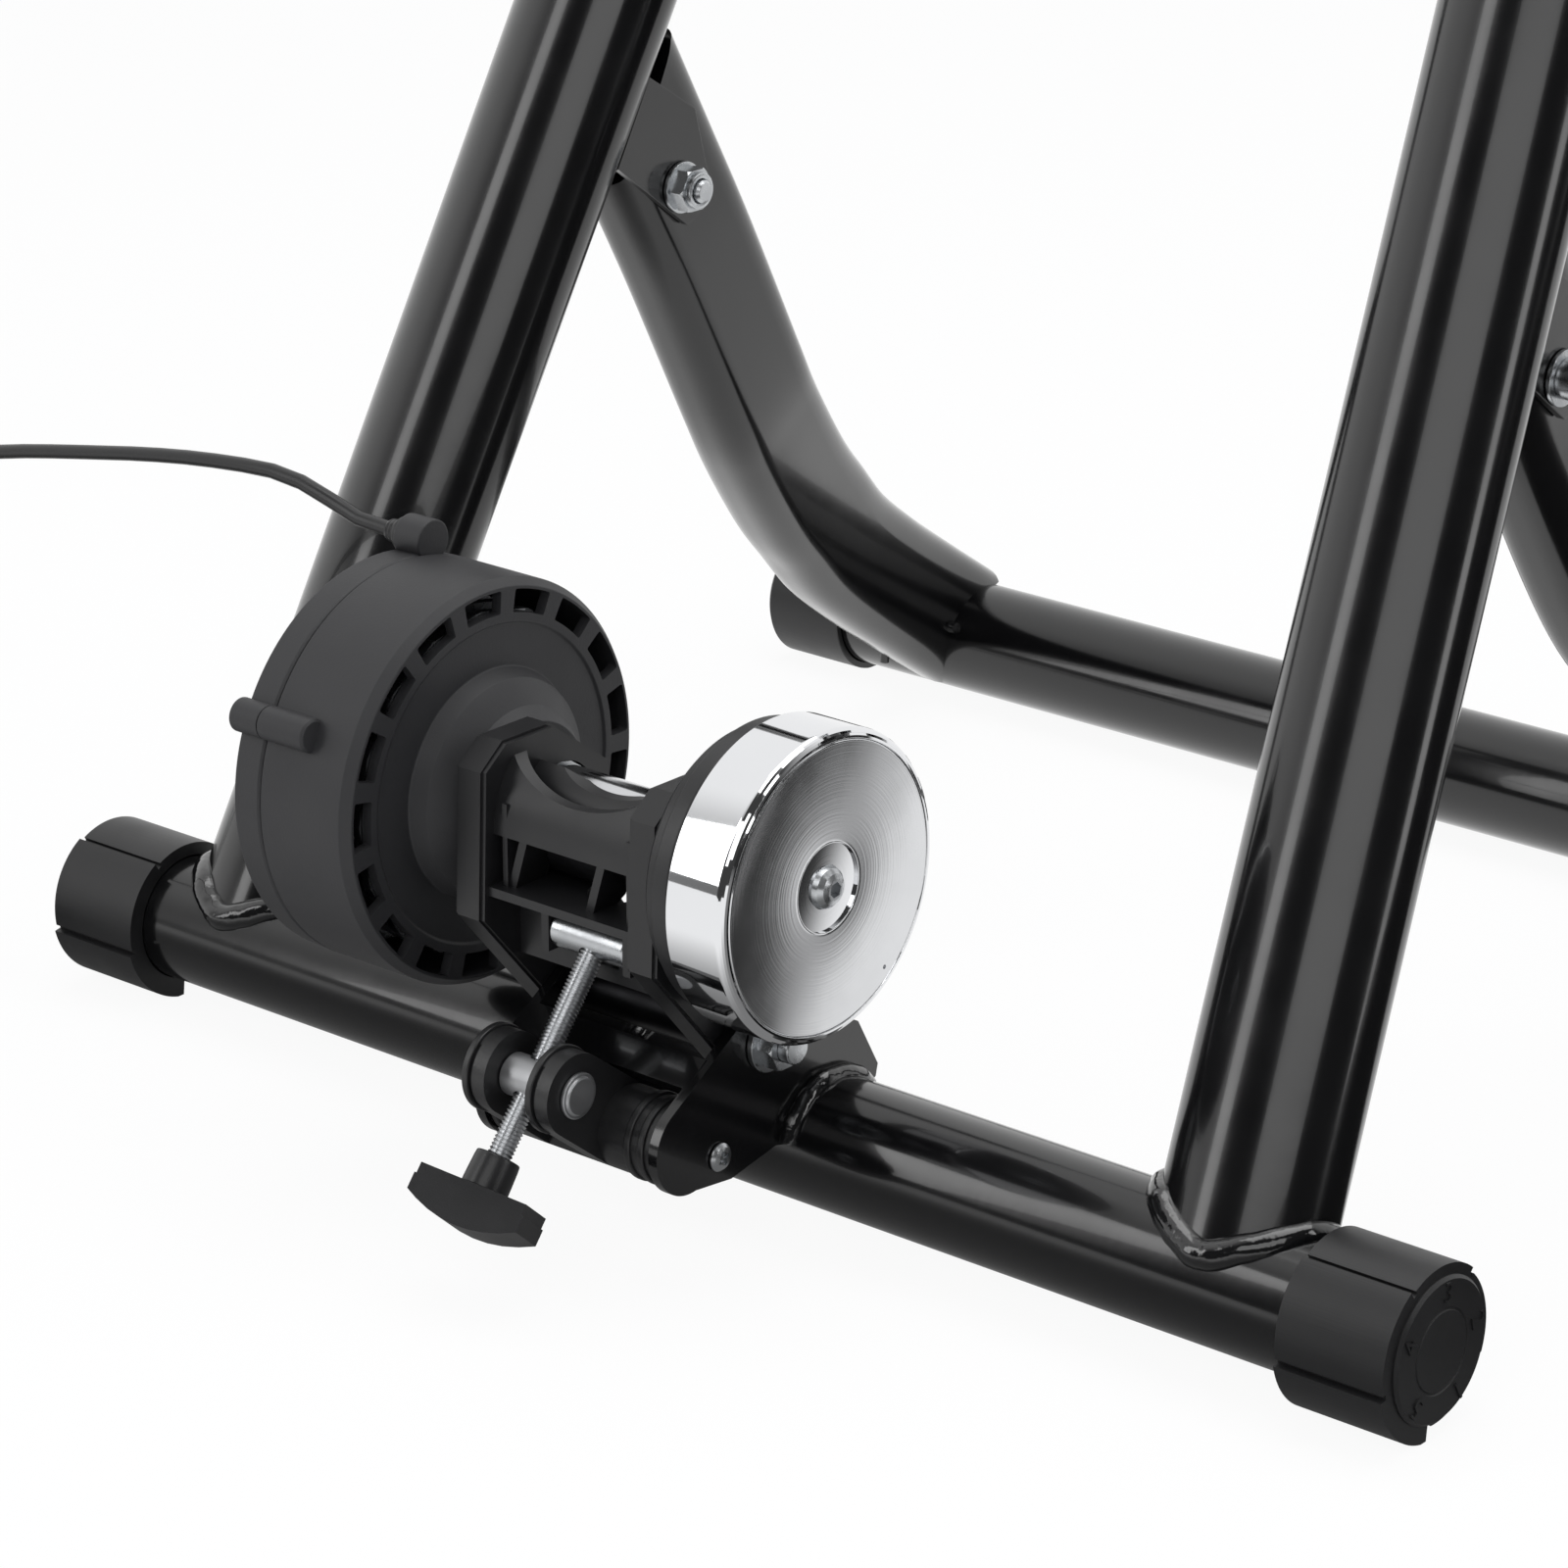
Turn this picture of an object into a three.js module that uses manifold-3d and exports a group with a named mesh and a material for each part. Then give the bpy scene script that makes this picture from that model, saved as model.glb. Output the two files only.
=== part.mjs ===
// A folding trainer stand with a magnetic resistance unit: millimetres, +Z up, +Y forward, +X to the right.
// The stand's own frame has its origin on the rear tube's axis, midway between the uprights.
import * as THREE from "three";
import { mergeVertices } from "three/addons/utils/BufferGeometryUtils.js";
import Module from "manifold-3d";

const wasm = await Module();
wasm.setup();

// Clearances and tool lengths
const gap = 0.3; // between pieces that touch
const runningGap = 0.4; // between pieces that turn or slide in each other
const overrun = 1; // how far a cutting tool runs past a face
const chamfer = 2; // on the outer edges of turned pieces
const mergeDistance = 1e-4; // corners closer than this are one

// Counts of flat sides on round pieces
const sides = {
  large: 30,
  tube: 22,
  medium: 16,
  oval: 12,
  small: 10,
  tiny: 8,
  hex: 6,
  legSteps: 10,
  corner: 2,
  fillet: 3,
};

// The frame
const wheelbase = 408.5;
const rearTube = { radius: 21.6, wall: 2, overallHalf: 279.5 };
const frontTube = { radius: 21.6, wall: 2, overallHalf: 307 };
const rearCap = {
  length: 39.5,
  end: 6,
  floorDepth: 28,
  grooveWidth: 1.8,
  grooveDepth: 1.4,
  bevel: 1.6,
  faceRadius: 23,
};
const lobes = { start: 264, radii: [24, 25.2, 26.4, 27.6, 28.8], arcSteps: 4 };
const frontCap = { radius: 24.4, floorDepth: 24, length: 37, end: 5, bevel: 1.6 };
const axle = { y: 197, z: 379 };
const upright = { inFromEnd: 74.3, leanIn: 30.1, topY: 185.5, width: 59, depth: 42, wall: 2, past: 26 };
const uprightBaseX = rearTube.overallHalf - upright.inFromEnd;
const uprightTopX = uprightBaseX - upright.leanIn; // at the axle's height
const leg = {
  outFromUpright: 3.4,
  inFromEnd: 76,
  width: 30,
  depth: 50,
  corner: 7,
  wall: 2,
  above: 43.4,
  straight: 34,
  startDeg: 29.4,
  aheadOfBolt: 6.6,
};
const foldPivot = { y: 168, z: 239 };
const legX = uprightTopX + leg.outFromUpright;
const legFrontX = frontTube.overallHalf - leg.inFromEnd;
const foldPlate = { thickness: 3, side: 0.5, boss: 21, web: 3, roundFromDeg: 25, roundToDeg: -76 };
// Places on the fold plate's outline, in shares of its boss, and the web's height in shares of the leg's end
const foldPlateShares = { rear: 2, rearUp: 0.95, front: 0.38, frontUp: 1.24, round: 0.7, web: 0.95 };
const foldBolt = {
  radius: 4,
  head: 6.5,
  headLength: 7,
  nut: 8.2,
  nutLength: 7,
  washer: 9,
  washerThickness: 1.6,
  end: 4,
};

// The resistance unit: places in the stand's frame, then sizes
const roller = { y: -38, z: 104, radius: 13.2, from: -27.4, to: 30.4 };
const tilt = { y: -29, z: 43 };
const shaft = { radius: 6, left: -95, right: 75.2, screwHole: 3.4, screwHoleDepth: 20 };
const bearing = { radius: 14, width: 8 };
const flange = { leftOuter: -40, leftInner: -28, rightInner: 31, rightOuter: 43 };
const flywheel = { radius: 49.3, back: 57, front: 80.5, fillet: 3.2, recess: 14, recessDepth: 5 };
const guard = {
  from: 43.3,
  step: 49,
  groove: 50.2,
  to: 56,
  innerRadius: 43,
  grooveRadius: 41,
  outerRadius: 46.5,
};
const drum = {
  radius: 66,
  face: -58,
  parting: -94.5,
  rim: -106,
  outer: -112,
  wall: 3,
  hub: 33,
  hubFace: -50,
  mouth: 24,
};

// The adjuster and its bracket
const rodX = 5;
const barrel = { y: -57.9, z: 74, radius: 6.3, from: -10, to: 20 };
const trunnion = { y: -88, z: 36.8, radius: 6.8, pinHead: 7.4, pinHeadLength: 2, pin: 5 };
const rod = { radius: 4, past: 9, intoKnob: 9 };
const rodGroove = { depth: 0.5, clearance: 0.2, clipShare: 1.7 }; // the clip's radius is a share of the rod's
const knob = {
  start: 25.9,
  hub: 7.6,
  hubLength: 11,
  width: 39,
  depth: 18,
  thickness: 14,
  turnDeg: 15,
  crown: 5,
};
const arm = { hubY: -65, hubZ: 19, ear: 13.2, earOut: 17.4, earThickness: 8.6, hub: 13.5 };
const bracket = {
  leftOuter: -27.6,
  leftInner: -24,
  rightInner: 44.5,
  rightOuter: 48,
  boss: 15.4,
  bossFromDeg: -81,
  tiltBoss: 14,
  tiltBossToDeg: 60,
  web: 3.5,
};
const pivotBolt = {
  radius: 5,
  head: 8.5,
  headLength: 6,
  sleeve: 9,
  nut: 8.2,
  nutLength: 8,
  washer: 10,
  washerThickness: 2,
  end: 4,
};

// The axle clamps
const clamp = { sleeve: 15, standIn: 1.6, standOut: 7.4, spindle: 10 };
const clampInner = uprightTopX - upright.width / 2 - clamp.standIn;
const clampOuter = uprightTopX + upright.width / 2 + clamp.standOut;
const axleCup = { face: 72, length: 16, radius: 14, bore: 9.5, boreDepth: 8 };

// The control cable, its coil on the floor and the handlebar lever at its end
const cable = { diameter: 5, steps: 36, sides: 8 };
const coil = { x: -385, y: -95, inner: 21, pitch: 5.7, turns: 3, loopSteps: 24, tubeSides: 5 };
const cableBends = [
  [-142, -22.3, 205.5],
  [-158, -22.3, 209.2],
  [-172, -22.3, 209.3],
  [-202, -22.3, 206.6],
  [-226, -22.3, 203.2],
  [-251, -22.3, 198.8],
  [-277, -22.3, 194],
  [-302, -22.3, 188.6],
  [-330, -23, 179],
  [-355, -23, 163],
  [-379, -22, 142],
  [-398, -20, 117],
  [-412, -18, 89],
  [-420, -18, 62],
  [-424, -22, 38],
  [-424.5, -32, 19],
  [-424, -46, 7.5],
  [-423.4, -60, 3.2],
  [-423.1, -75, 2.5],
];

const degree = Math.PI / 180;
const lean = Math.asin((rearCap.floorDepth - frontCap.floorDepth) / wheelbase);

// Shapes and solids

// Makes a closed geometry into a solid that can be joined and cut, with its faces pointing out.
function solid(geometry) {
  const bare = geometry.index ? geometry.toNonIndexed() : geometry.clone();
  bare.deleteAttribute("normal");
  bare.deleteAttribute("uv");
  const merged = mergeVertices(bare, mergeDistance);
  const corners = merged.index.array;
  const kept = [];
  for (let i = 0; i < corners.length; i += 3) {
    const [a, b, c] = [corners[i], corners[i + 1], corners[i + 2]];
    if (a !== b && b !== c && c !== a) kept.push(a, b, c);
  }
  const build = (order) =>
    new wasm.Manifold(
      new wasm.Mesh({
        numProp: 3,
        vertProperties: merged.attributes.position.array,
        triVerts: new Uint32Array(order),
      }),
    );
  const made = build(kept);
  return made.volume() < 0 ? build(kept.reverse()) : made;
}

const profileToX = new THREE.Matrix4().makeRotationZ(-Math.PI / 2);
const sideways = new THREE.Matrix4().makeBasis(
  new THREE.Vector3(0, 1, 0),
  new THREE.Vector3(0, 0, 1),
  new THREE.Vector3(1, 0, 0),
);

// A solid turned about the X axis; each corner is [x, radius].
function turned(corners, count = sides.medium) {
  const points = corners.map(([x, radius]) => new THREE.Vector2(radius, x));
  const geometry = new THREE.LatheGeometry(points, count);
  return solid(geometry.applyMatrix4(profileToX));
}

// A round bar along X whose axis passes through (y, z).
function bar(radius, from, to, y = 0, z = 0, count = sides.small) {
  const corners = [
    [from, 0],
    [from, radius],
    [to, radius],
    [to, 0],
  ];
  return turned(corners, count).translate(0, y, z);
}

// A ring about X with a square section.
function ring(inner, outer, from, to, count = sides.medium) {
  const corners = [
    [from, inner],
    [from, outer],
    [to, outer],
    [to, inner],
    [from, inner],
  ];
  return turned(corners, count);
}

// A plate: an outline in the YZ plane, carried along X from one face to the other.
function plate(outline, from, to, curveSegments = sides.tiny) {
  const depth = to - from;
  const geometry = new THREE.ExtrudeGeometry(outline, { depth, bevelEnabled: false, curveSegments });
  return solid(geometry.applyMatrix4(sideways)).translate(from, 0, 0);
}

function block([x0, x1], [y0, y1], [z0, z1]) {
  const geometry = new THREE.BoxGeometry(x1 - x0, y1 - y0, z1 - z0);
  return solid(geometry).translate((x0 + x1) / 2, (y0 + y1) / 2, (z0 + z1) / 2);
}

// A six-sided bar along X.
function hexBar(radius, from, to) {
  return bar(radius, from, to, 0, 0, sides.hex);
}

function outlineOf(points) {
  return new THREE.Shape(points.map(([y, z]) => new THREE.Vector2(y, z)));
}

// The outline round two circles that straight edges join; the first circle lies behind the second.
function linkOutline([y0, z0, r0], [y1, z1, r1]) {
  const along = Math.atan2(z1 - z0, y1 - y0);
  const spread = Math.acos((r0 - r1) / Math.hypot(y1 - y0, z1 - z0));
  const shape = new THREE.Shape();
  shape.absarc(y0, z0, r0, along + spread, along - spread + 2 * Math.PI, false);
  shape.absarc(y1, z1, r1, along - spread, along + spread, false);
  return shape;
}

// A rectangle with round corners, centred on the origin.
function roundedRectangle(width, height, radius) {
  const [w, h] = [width / 2, height / 2];
  const shape = new THREE.Shape();
  shape.moveTo(-w + radius, -h);
  shape.lineTo(w - radius, -h);
  shape.absarc(w - radius, -h + radius, radius, -Math.PI / 2, 0, false);
  shape.lineTo(w, h - radius);
  shape.absarc(w - radius, h - radius, radius, 0, Math.PI / 2, false);
  shape.lineTo(-w + radius, h);
  shape.absarc(-w + radius, h - radius, radius, Math.PI / 2, Math.PI, false);
  shape.lineTo(-w, -h + radius);
  shape.absarc(-w + radius, -h + radius, radius, Math.PI, 1.5 * Math.PI, false);
  return shape;
}

function joined(first, ...others) {
  return others.reduce((whole, other) => whole.add(other), first);
}

function cutBy(whole, ...tools) {
  return tools.reduce((left, tool) => left.subtract(tool), whole);
}

function mirrored(body, side) {
  return side < 0 ? body.mirror([1, 0, 0]) : body;
}

function finish(color, roughness, metalness) {
  return new THREE.MeshStandardMaterial({ color, roughness, metalness });
}

const enamel = () => finish(0x0b0b0c, 0.18, 0.1);
const moulding = () => finish(0x1e1e20, 0.6, 0);
const drumPlastic = () => finish(0x2b2c2f, 0.7, 0);
const chrome = () => finish(0xd9dadc, 0.08, 1);
const polishedSteel = () => finish(0xc8c9cb, 0.15, 1);
const zinc = () => finish(0xb4b6b8, 0.35, 1);
const blackSteel = () => finish(0x151516, 0.45, 0.6);
const castMetal = () => finish(0x141415, 0.5, 0.3);

function addMesh(group, name, body, material) {
  const shell = body.getMesh();
  const geometry = new THREE.BufferGeometry();
  geometry.setAttribute("position", new THREE.BufferAttribute(shell.vertProperties, 3));
  geometry.setIndex(new THREE.BufferAttribute(shell.triVerts, 1));
  geometry.computeVertexNormals();
  const mesh = new THREE.Mesh(geometry, material);
  mesh.name = name;
  group.add(mesh);
  return mesh;
}

function subGroup(parent, name, x, y, z) {
  const group = new THREE.Group();
  group.name = name;
  group.position.set(x, y, z);
  parent.add(group);
  return group;
}

const sideName = (side) => (side < 0 ? "left" : "right");

const part = new THREE.Group();
part.name = "trainer_stand";
const stand = subGroup(part, "stand", 0, 0, 0);
stand.rotation.x = -lean;

// Cross tubes and their caps

const rearTubeHalf = rearTube.overallHalf - rearCap.end - gap;
const frontTubeHalf = frontTube.overallHalf - frontCap.end - gap;

function crossTube({ radius, wall }, half) {
  return ring(radius - wall, radius, -half, half, sides.tube);
}

// The stepped lobes of a levelling cap: five arcs of growing radius, each a fifth of the circle.
function lobeOutline(radii) {
  const sector = (2 * Math.PI) / radii.length;
  const points = [];
  radii.forEach((radius, index) => {
    for (let step = 0; step <= lobes.arcSteps; step += 1) {
      const angle = lobes.start * degree + sector * (index + step / lobes.arcSteps);
      points.push([radius * Math.cos(angle), radius * Math.sin(angle)]);
    }
  });
  return outlineOf(points);
}

// A cap open towards -X, whose outer face is at x = 0 and whose axis is the X axis.
function levellingCap() {
  const { length, end, bevel, faceRadius, grooveWidth, grooveDepth } = rearCap;
  const body = plate(lobeOutline(lobes.radii), -length, -bevel);
  const face = bar(faceRadius, -bevel - overrun, 0, 0, 0, sides.tube);
  const bore = bar(rearTube.radius + runningGap, -length - overrun, -end, 0, 0, sides.tube);
  const grooves = lobes.radii.map((radius, index) => {
    const angle = lobes.start + (360 * index) / lobes.radii.length;
    const foot = lobes.radii[(index + lobes.radii.length - 1) % lobes.radii.length];
    const depth = Math.min(radius, foot) - grooveDepth;
    const half = grooveWidth / 2;
    const tool = block([-length - overrun, overrun], [depth, radius + foot], [-half, half]);
    return tool.rotate([angle, 0, 0]);
  });
  const floor = block([-length - overrun, overrun], [-length, length], [-2 * length, -rearCap.floorDepth]);
  return cutBy(joined(body, face), bore, ...grooves, floor.rotate([lean / degree, 0, 0]));
}

function frontEndCap() {
  const { radius, length, end, bevel, floorDepth } = frontCap;
  const corners = [
    [-length, frontTube.radius + gap],
    [-length, radius],
    [-bevel, radius],
    [0, radius - bevel],
    [0, 0],
    [-end, 0],
    [-end, frontTube.radius + gap],
    [-length, frontTube.radius + gap],
  ];
  const floor = block([-length - overrun, overrun], [-length, length], [-2 * length, -floorDepth]);
  return cutBy(turned(corners, sides.tube), floor.rotate([lean / degree, 0, 0]));
}

addMesh(stand, "rear_tube", crossTube(rearTube, rearTubeHalf), enamel());
for (const side of [-1, 1]) {
  const place = subGroup(stand, `rear_${sideName(side)}_cap_place`, side * rearTube.overallHalf, 0, 0);
  // The left cap is the right one's mirror image, so both rest on the same lobe.
  addMesh(place, `${sideName(side)}_levelling_cap`, mirrored(levellingCap(), side), moulding());
}

// The folding front frame, in a group at the fold bolts' axis
const front = subGroup(stand, "front_frame", 0, foldPivot.y, foldPivot.z);
const frontAxis = { y: wheelbase - foldPivot.y, z: -foldPivot.z };
const frontTubeSolid = crossTube(frontTube, frontTubeHalf).translate(0, frontAxis.y, frontAxis.z);
addMesh(front, "front_tube", frontTubeSolid, enamel());
for (const side of [-1, 1]) {
  const name = `front_${sideName(side)}_cap`;
  const place = subGroup(front, `${name}_place`, side * frontTube.overallHalf, frontAxis.y, frontAxis.z);
  addMesh(place, name, mirrored(frontEndCap(), side), moulding());
}

// Uprights

const uprightFoot = new THREE.Vector3(uprightBaseX, 0, 0);
const uprightHead = new THREE.Vector3(uprightTopX, upright.topY, axle.z);
const uprightUp = uprightHead.clone().sub(uprightFoot).normalize();
const uprightAcross = new THREE.Vector3(1, 0, 0).addScaledVector(uprightUp, -uprightUp.x).normalize();
const uprightForward = uprightUp.clone().cross(uprightAcross);
const uprightLength = uprightHead.distanceTo(uprightFoot);

// An oval bar along the right upright, grown by an amount all round.
function uprightBar(grown, from, to) {
  const outline = new THREE.Shape();
  outline.absellipse(0, 0, upright.width / 2 + grown, upright.depth / 2 + grown, 0, 2 * Math.PI, false, 0);
  const geometry = new THREE.ExtrudeGeometry(outline, {
    depth: to - from,
    bevelEnabled: false,
    curveSegments: sides.oval,
  });
  geometry.translate(0, 0, from);
  geometry.applyMatrix4(new THREE.Matrix4().makeBasis(uprightAcross, uprightForward, uprightUp));
  return solid(geometry).translate(uprightBaseX, 0, 0);
}

const uprightTop = uprightLength + upright.past;

// The tube's top is closed by a welded lid as thick as its wall.
function uprightTube() {
  const hollow = uprightBar(-upright.wall, -overrun, uprightTop - upright.wall);
  const shell = uprightBar(0, 0, uprightTop).subtract(hollow);
  const saddle = bar(rearTube.radius + gap, -rearTubeHalf, rearTubeHalf, 0, 0, sides.tube);
  const reach = 2 * upright.depth;
  const below = block([0, 2 * uprightBaseX], [-reach, reach], [-upright.depth, 0]);
  const sleeve = bar(clamp.sleeve + gap, 0, 2 * clampOuter, axle.y, axle.z, sides.medium);
  return cutBy(shell, saddle, below, sleeve);
}

// Curved front legs

const legStart = leg.startDeg * degree;
const legDown = new THREE.Vector2(Math.sin(legStart), -Math.cos(legStart));
const legAhead = new THREE.Vector2(Math.cos(legStart), Math.sin(legStart)).multiplyScalar(leg.aheadOfBolt);

// Places of the leg's centre line below its straight stretch: shares of the way from the fold bolt to the
// front tube's axis, forward and down. The leg swings outwards from a share of the way down.
const legSwingShare = 0.218;
const legRunShares = [
  [0.25, 0.372],
  [0.312, 0.448],
  [0.457, 0.594],
  [0.536, 0.661],
  [0.636, 0.745],
  [0.757, 0.828],
  [0.869, 0.9],
  [1, 0.985],
];

function legPath() {
  const points = [-leg.above, -leg.above / 2, 0, leg.straight].map((along) => {
    const place = legAhead.clone().addScaledVector(legDown, along);
    return new THREE.Vector3(legX, place.x, place.y);
  });
  const bend = legFrontX - legX;
  for (const [forward, down] of legRunShares) {
    const x = legX + bend * THREE.MathUtils.smoothstep(down, legSwingShare, 1);
    points.push(new THREE.Vector3(x, frontAxis.y * forward, frontAxis.z * down));
  }
  return new THREE.CatmullRomCurve3(points, false, "centripetal");
}

function legBar(grown) {
  const outline = roundedRectangle(leg.width + 2 * grown, leg.depth + 2 * grown, leg.corner + grown);
  const geometry = new THREE.ExtrudeGeometry(outline, {
    steps: sides.legSteps,
    extrudePath: legPath(),
    curveSegments: sides.corner,
    bevelEnabled: false,
  });
  return solid(geometry);
}

// The plane of the upright's front, as a slab that starts at a distance ahead of it, seen from the fold bolt.
const uprightLean = Math.atan2(upright.topY, axle.z);
const uprightFrontOffset =
  (foldPivot.y - (foldPivot.z * upright.topY) / axle.z) * Math.cos(uprightLean) - upright.depth / 2;

function behindUprightFront(ahead) {
  const size = leg.depth * 2;
  const slab = block([0, 2 * legFrontX], [-size, -uprightFrontOffset + ahead], [-size, size]);
  return slab.rotate([-uprightLean / degree, 0, 0]);
}

function frontLeg() {
  const stopClearance = foldPlate.web + 2 * gap;
  const tube = legBar(0).subtract(legBar(-leg.wall));
  const bore = bar(foldBolt.radius + gap, 0, 2 * legX);
  const seat = bar(frontTube.radius + gap, 0, frontTube.overallHalf, frontAxis.y, frontAxis.z, sides.tube);
  const wide = frontTube.overallHalf;
  const past = block([0, wide], [frontAxis.y, frontAxis.y + wide], [-wide, 0]);
  return cutBy(tube, bore, seat, past, behindUprightFront(stopClearance));
}

// Fold brackets: two ears and a stop web, bent from one sheet and welded to the upright's front
function foldBracket() {
  const halfInside = leg.width / 2 + foldPlate.side;
  const [inner, outer] = [legX - halfInside, legX + halfInside];
  const toe = leg.depth / 2 - 2 * foldPlate.thickness;
  const { boss, roundFromDeg, roundToDeg } = foldPlate;
  const { rear, rearUp, front, frontUp, round, web: webShare } = foldPlateShares;
  const outline = new THREE.Shape();
  outline.moveTo(-boss * rear, boss * rearUp);
  outline.lineTo(-toe, leg.above);
  outline.lineTo(boss * front, boss * frontUp);
  outline.absarc(0, 0, boss * round, roundFromDeg * degree, roundToDeg * degree, true);
  const ears = plate(outline, inner - foldPlate.thickness, outer + foldPlate.thickness, sides.tiny);
  const inside = block([inner, outer], [-legFrontX, legFrontX], [-legFrontX, legFrontX]);
  const webTop = leg.above * webShare;
  const web = block(
    [inner - overrun, outer + overrun],
    [-uprightFrontOffset + gap, -uprightFrontOffset + gap + foldPlate.web],
    [boss, webTop],
  ).rotate([-uprightLean / degree, 0, 0]);
  const bolt = bar(foldBolt.radius + gap, 0, 2 * legX);
  const trimmedWeb = web.intersect(plate(outline, inner - overrun, outer + overrun));
  return joined(ears.subtract(inside), trimmedWeb).subtract(bolt);
}

const earOuter = legX + leg.width / 2 + foldPlate.side + foldPlate.thickness;
const earInner = legX - leg.width / 2 - foldPlate.side - foldPlate.thickness;

function foldBoltSolid() {
  const { radius, head, headLength, washer, washerThickness, nutLength, end } = foldBolt;
  const seat = earOuter + gap;
  const tip = earInner - 2 * gap - nutLength - end;
  const top = seat + washerThickness + headLength;
  const collar = bar(washer, seat, seat + washerThickness, 0, 0, sides.medium);
  const socket = hexBar(head / 2, top - headLength / 2, top + overrun);
  return joined(bar(radius, tip, seat + overrun), collar, bar(head, seat, top)).subtract(socket);
}

function foldNut() {
  const to = earInner - gap;
  const nut = joined(
    hexBar(foldBolt.nut, to - foldBolt.nutLength, to),
    bar(foldBolt.washer, to - foldBolt.washerThickness, to, 0, 0, sides.medium),
  );
  return nut.subtract(bar(foldBolt.radius + gap, to - 2 * foldBolt.nutLength, to + overrun));
}

const tube = uprightTube();
const weldClear = uprightBar(gap, 0, uprightTop);
const legSolid = frontLeg();
for (const side of [-1, 1]) {
  const name = sideName(side);
  addMesh(stand, `${name}_upright`, mirrored(tube, side), enamel());
  addMesh(front, `${name}_front_leg`, mirrored(legSolid, side), enamel());
  const place = subGroup(stand, `${name}_fold`, 0, foldPivot.y, foldPivot.z);
  const bracketSolid = foldBracket().subtract(weldClear.translate(0, -foldPivot.y, -foldPivot.z));
  addMesh(place, `${name}_fold_bracket`, mirrored(bracketSolid, side), enamel());
  addMesh(place, `${name}_fold_bolt`, mirrored(foldBoltSolid(), side), zinc());
  addMesh(place, `${name}_fold_nut`, mirrored(foldNut(), side), zinc());
}

// Axle clamps, in a group at the axle's line

const clamps = subGroup(stand, "axle_clamps", 0, axle.y, axle.z);
const cupBack = axleCup.face + axleCup.length;
const lockRing = { radius: 21, length: 8 };
const handKnob = { radius: 22, length: 24, lobesCount: 6, notch: 4, beyondSleeve: 20 };
const handKnobFrom = clampOuter + handKnob.beyondSleeve;
const leverPin = { radius: 4, out: 10 };
const lever = {
  cam: 11,
  width: 15,
  arm: 82,
  thickness: 7,
  edgeShare: 1.5, // the arm's outer edge, in shares of its thickness
  throw: 3,
  openDeg: 110,
  shoulder: 25,
  steps: 8,
};
const leverEar = { thickness: 4, rootShare: 0.7, tipShare: 0.6 }; // shares of the sleeve's radius
const plungerEnd = clampOuter + leverPin.out - lever.cam - gap;

function cup() {
  const corners = [
    [axleCup.face, axleCup.bore],
    [axleCup.face, axleCup.radius],
    [cupBack - chamfer, axleCup.radius],
    [cupBack, axleCup.radius - chamfer],
    [cupBack, 0],
    [axleCup.face + axleCup.boreDepth, 0],
    [axleCup.face + axleCup.boreDepth, axleCup.bore],
    [axleCup.face, axleCup.bore],
  ];
  return turned(corners);
}

function sleeveTube() {
  return ring(clamp.spindle + runningGap, clamp.sleeve, clampInner, clampOuter);
}

function sleeveWithEars() {
  const earInside = lever.width / 2 + runningGap;
  const earOutside = earInside + leverEar.thickness;
  const { rootShare, tipShare } = leverEar;
  const outline = linkOutline([0, 0, clamp.sleeve * rootShare], [leverPin.out, 0, clamp.sleeve * tipShare]);
  const depth = 2 * earOutside;
  const curveSegments = sides.tiny;
  const geometry = new THREE.ExtrudeGeometry(outline, { depth, bevelEnabled: false, curveSegments });
  const reach = 2 * clamp.sleeve;
  const between = block([clampOuter - overrun, 2 * clampOuter], [-earInside, earInside], [-reach, reach]);
  const fork = solid(geometry).translate(clampOuter, 0, -earOutside).rotate([90, 0, 0]).subtract(between);
  const pinBore = leverPin.radius + gap;
  const pin = new THREE.CylinderGeometry(pinBore, pinBore, 2 * depth, sides.small);
  const boreRadius = clamp.spindle + runningGap;
  const boreTo = clampOuter + lever.throw + overrun;
  const bore = bar(boreRadius, clampInner - overrun, boreTo, 0, 0, sides.medium);
  const body = joined(bar(clamp.sleeve, clampInner, clampOuter, 0, 0, sides.medium), fork);
  return cutBy(body, bore, solid(pin).translate(clampOuter + leverPin.out, 0, 0));
}

function spindleSolid() {
  return bar(clamp.spindle, cupBack + gap, handKnobFrom + handKnob.length / 2, 0, 0, sides.medium);
}

function handKnobSolid() {
  const { radius, length, lobesCount, notch } = handKnob;
  const from = handKnobFrom;
  const notches = Array.from({ length: lobesCount }, (_, index) =>
    bar(notch, from - overrun, from + length + overrun, radius + notch / 2, 0, sides.tiny).rotate([
      (360 * index) / lobesCount,
      0,
      0,
    ]),
  );
  const bore = bar(clamp.spindle + gap, from - overrun, from + length / 2 + gap, 0, 0, sides.medium);
  return cutBy(bar(radius, from, from + length, 0, 0, sides.medium), bore, ...notches);
}

function lockRingSolid() {
  const from = clampOuter + gap;
  return ring(clamp.spindle + runningGap, lockRing.radius, from, from + lockRing.length);
}

function leverPinSolid() {
  const half = lever.width / 2 + runningGap + leverEar.thickness + overrun;
  return solid(new THREE.CylinderGeometry(leverPin.radius, leverPin.radius, 2 * half, sides.small)).translate(
    clampOuter + leverPin.out,
    0,
    0,
  );
}

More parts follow.
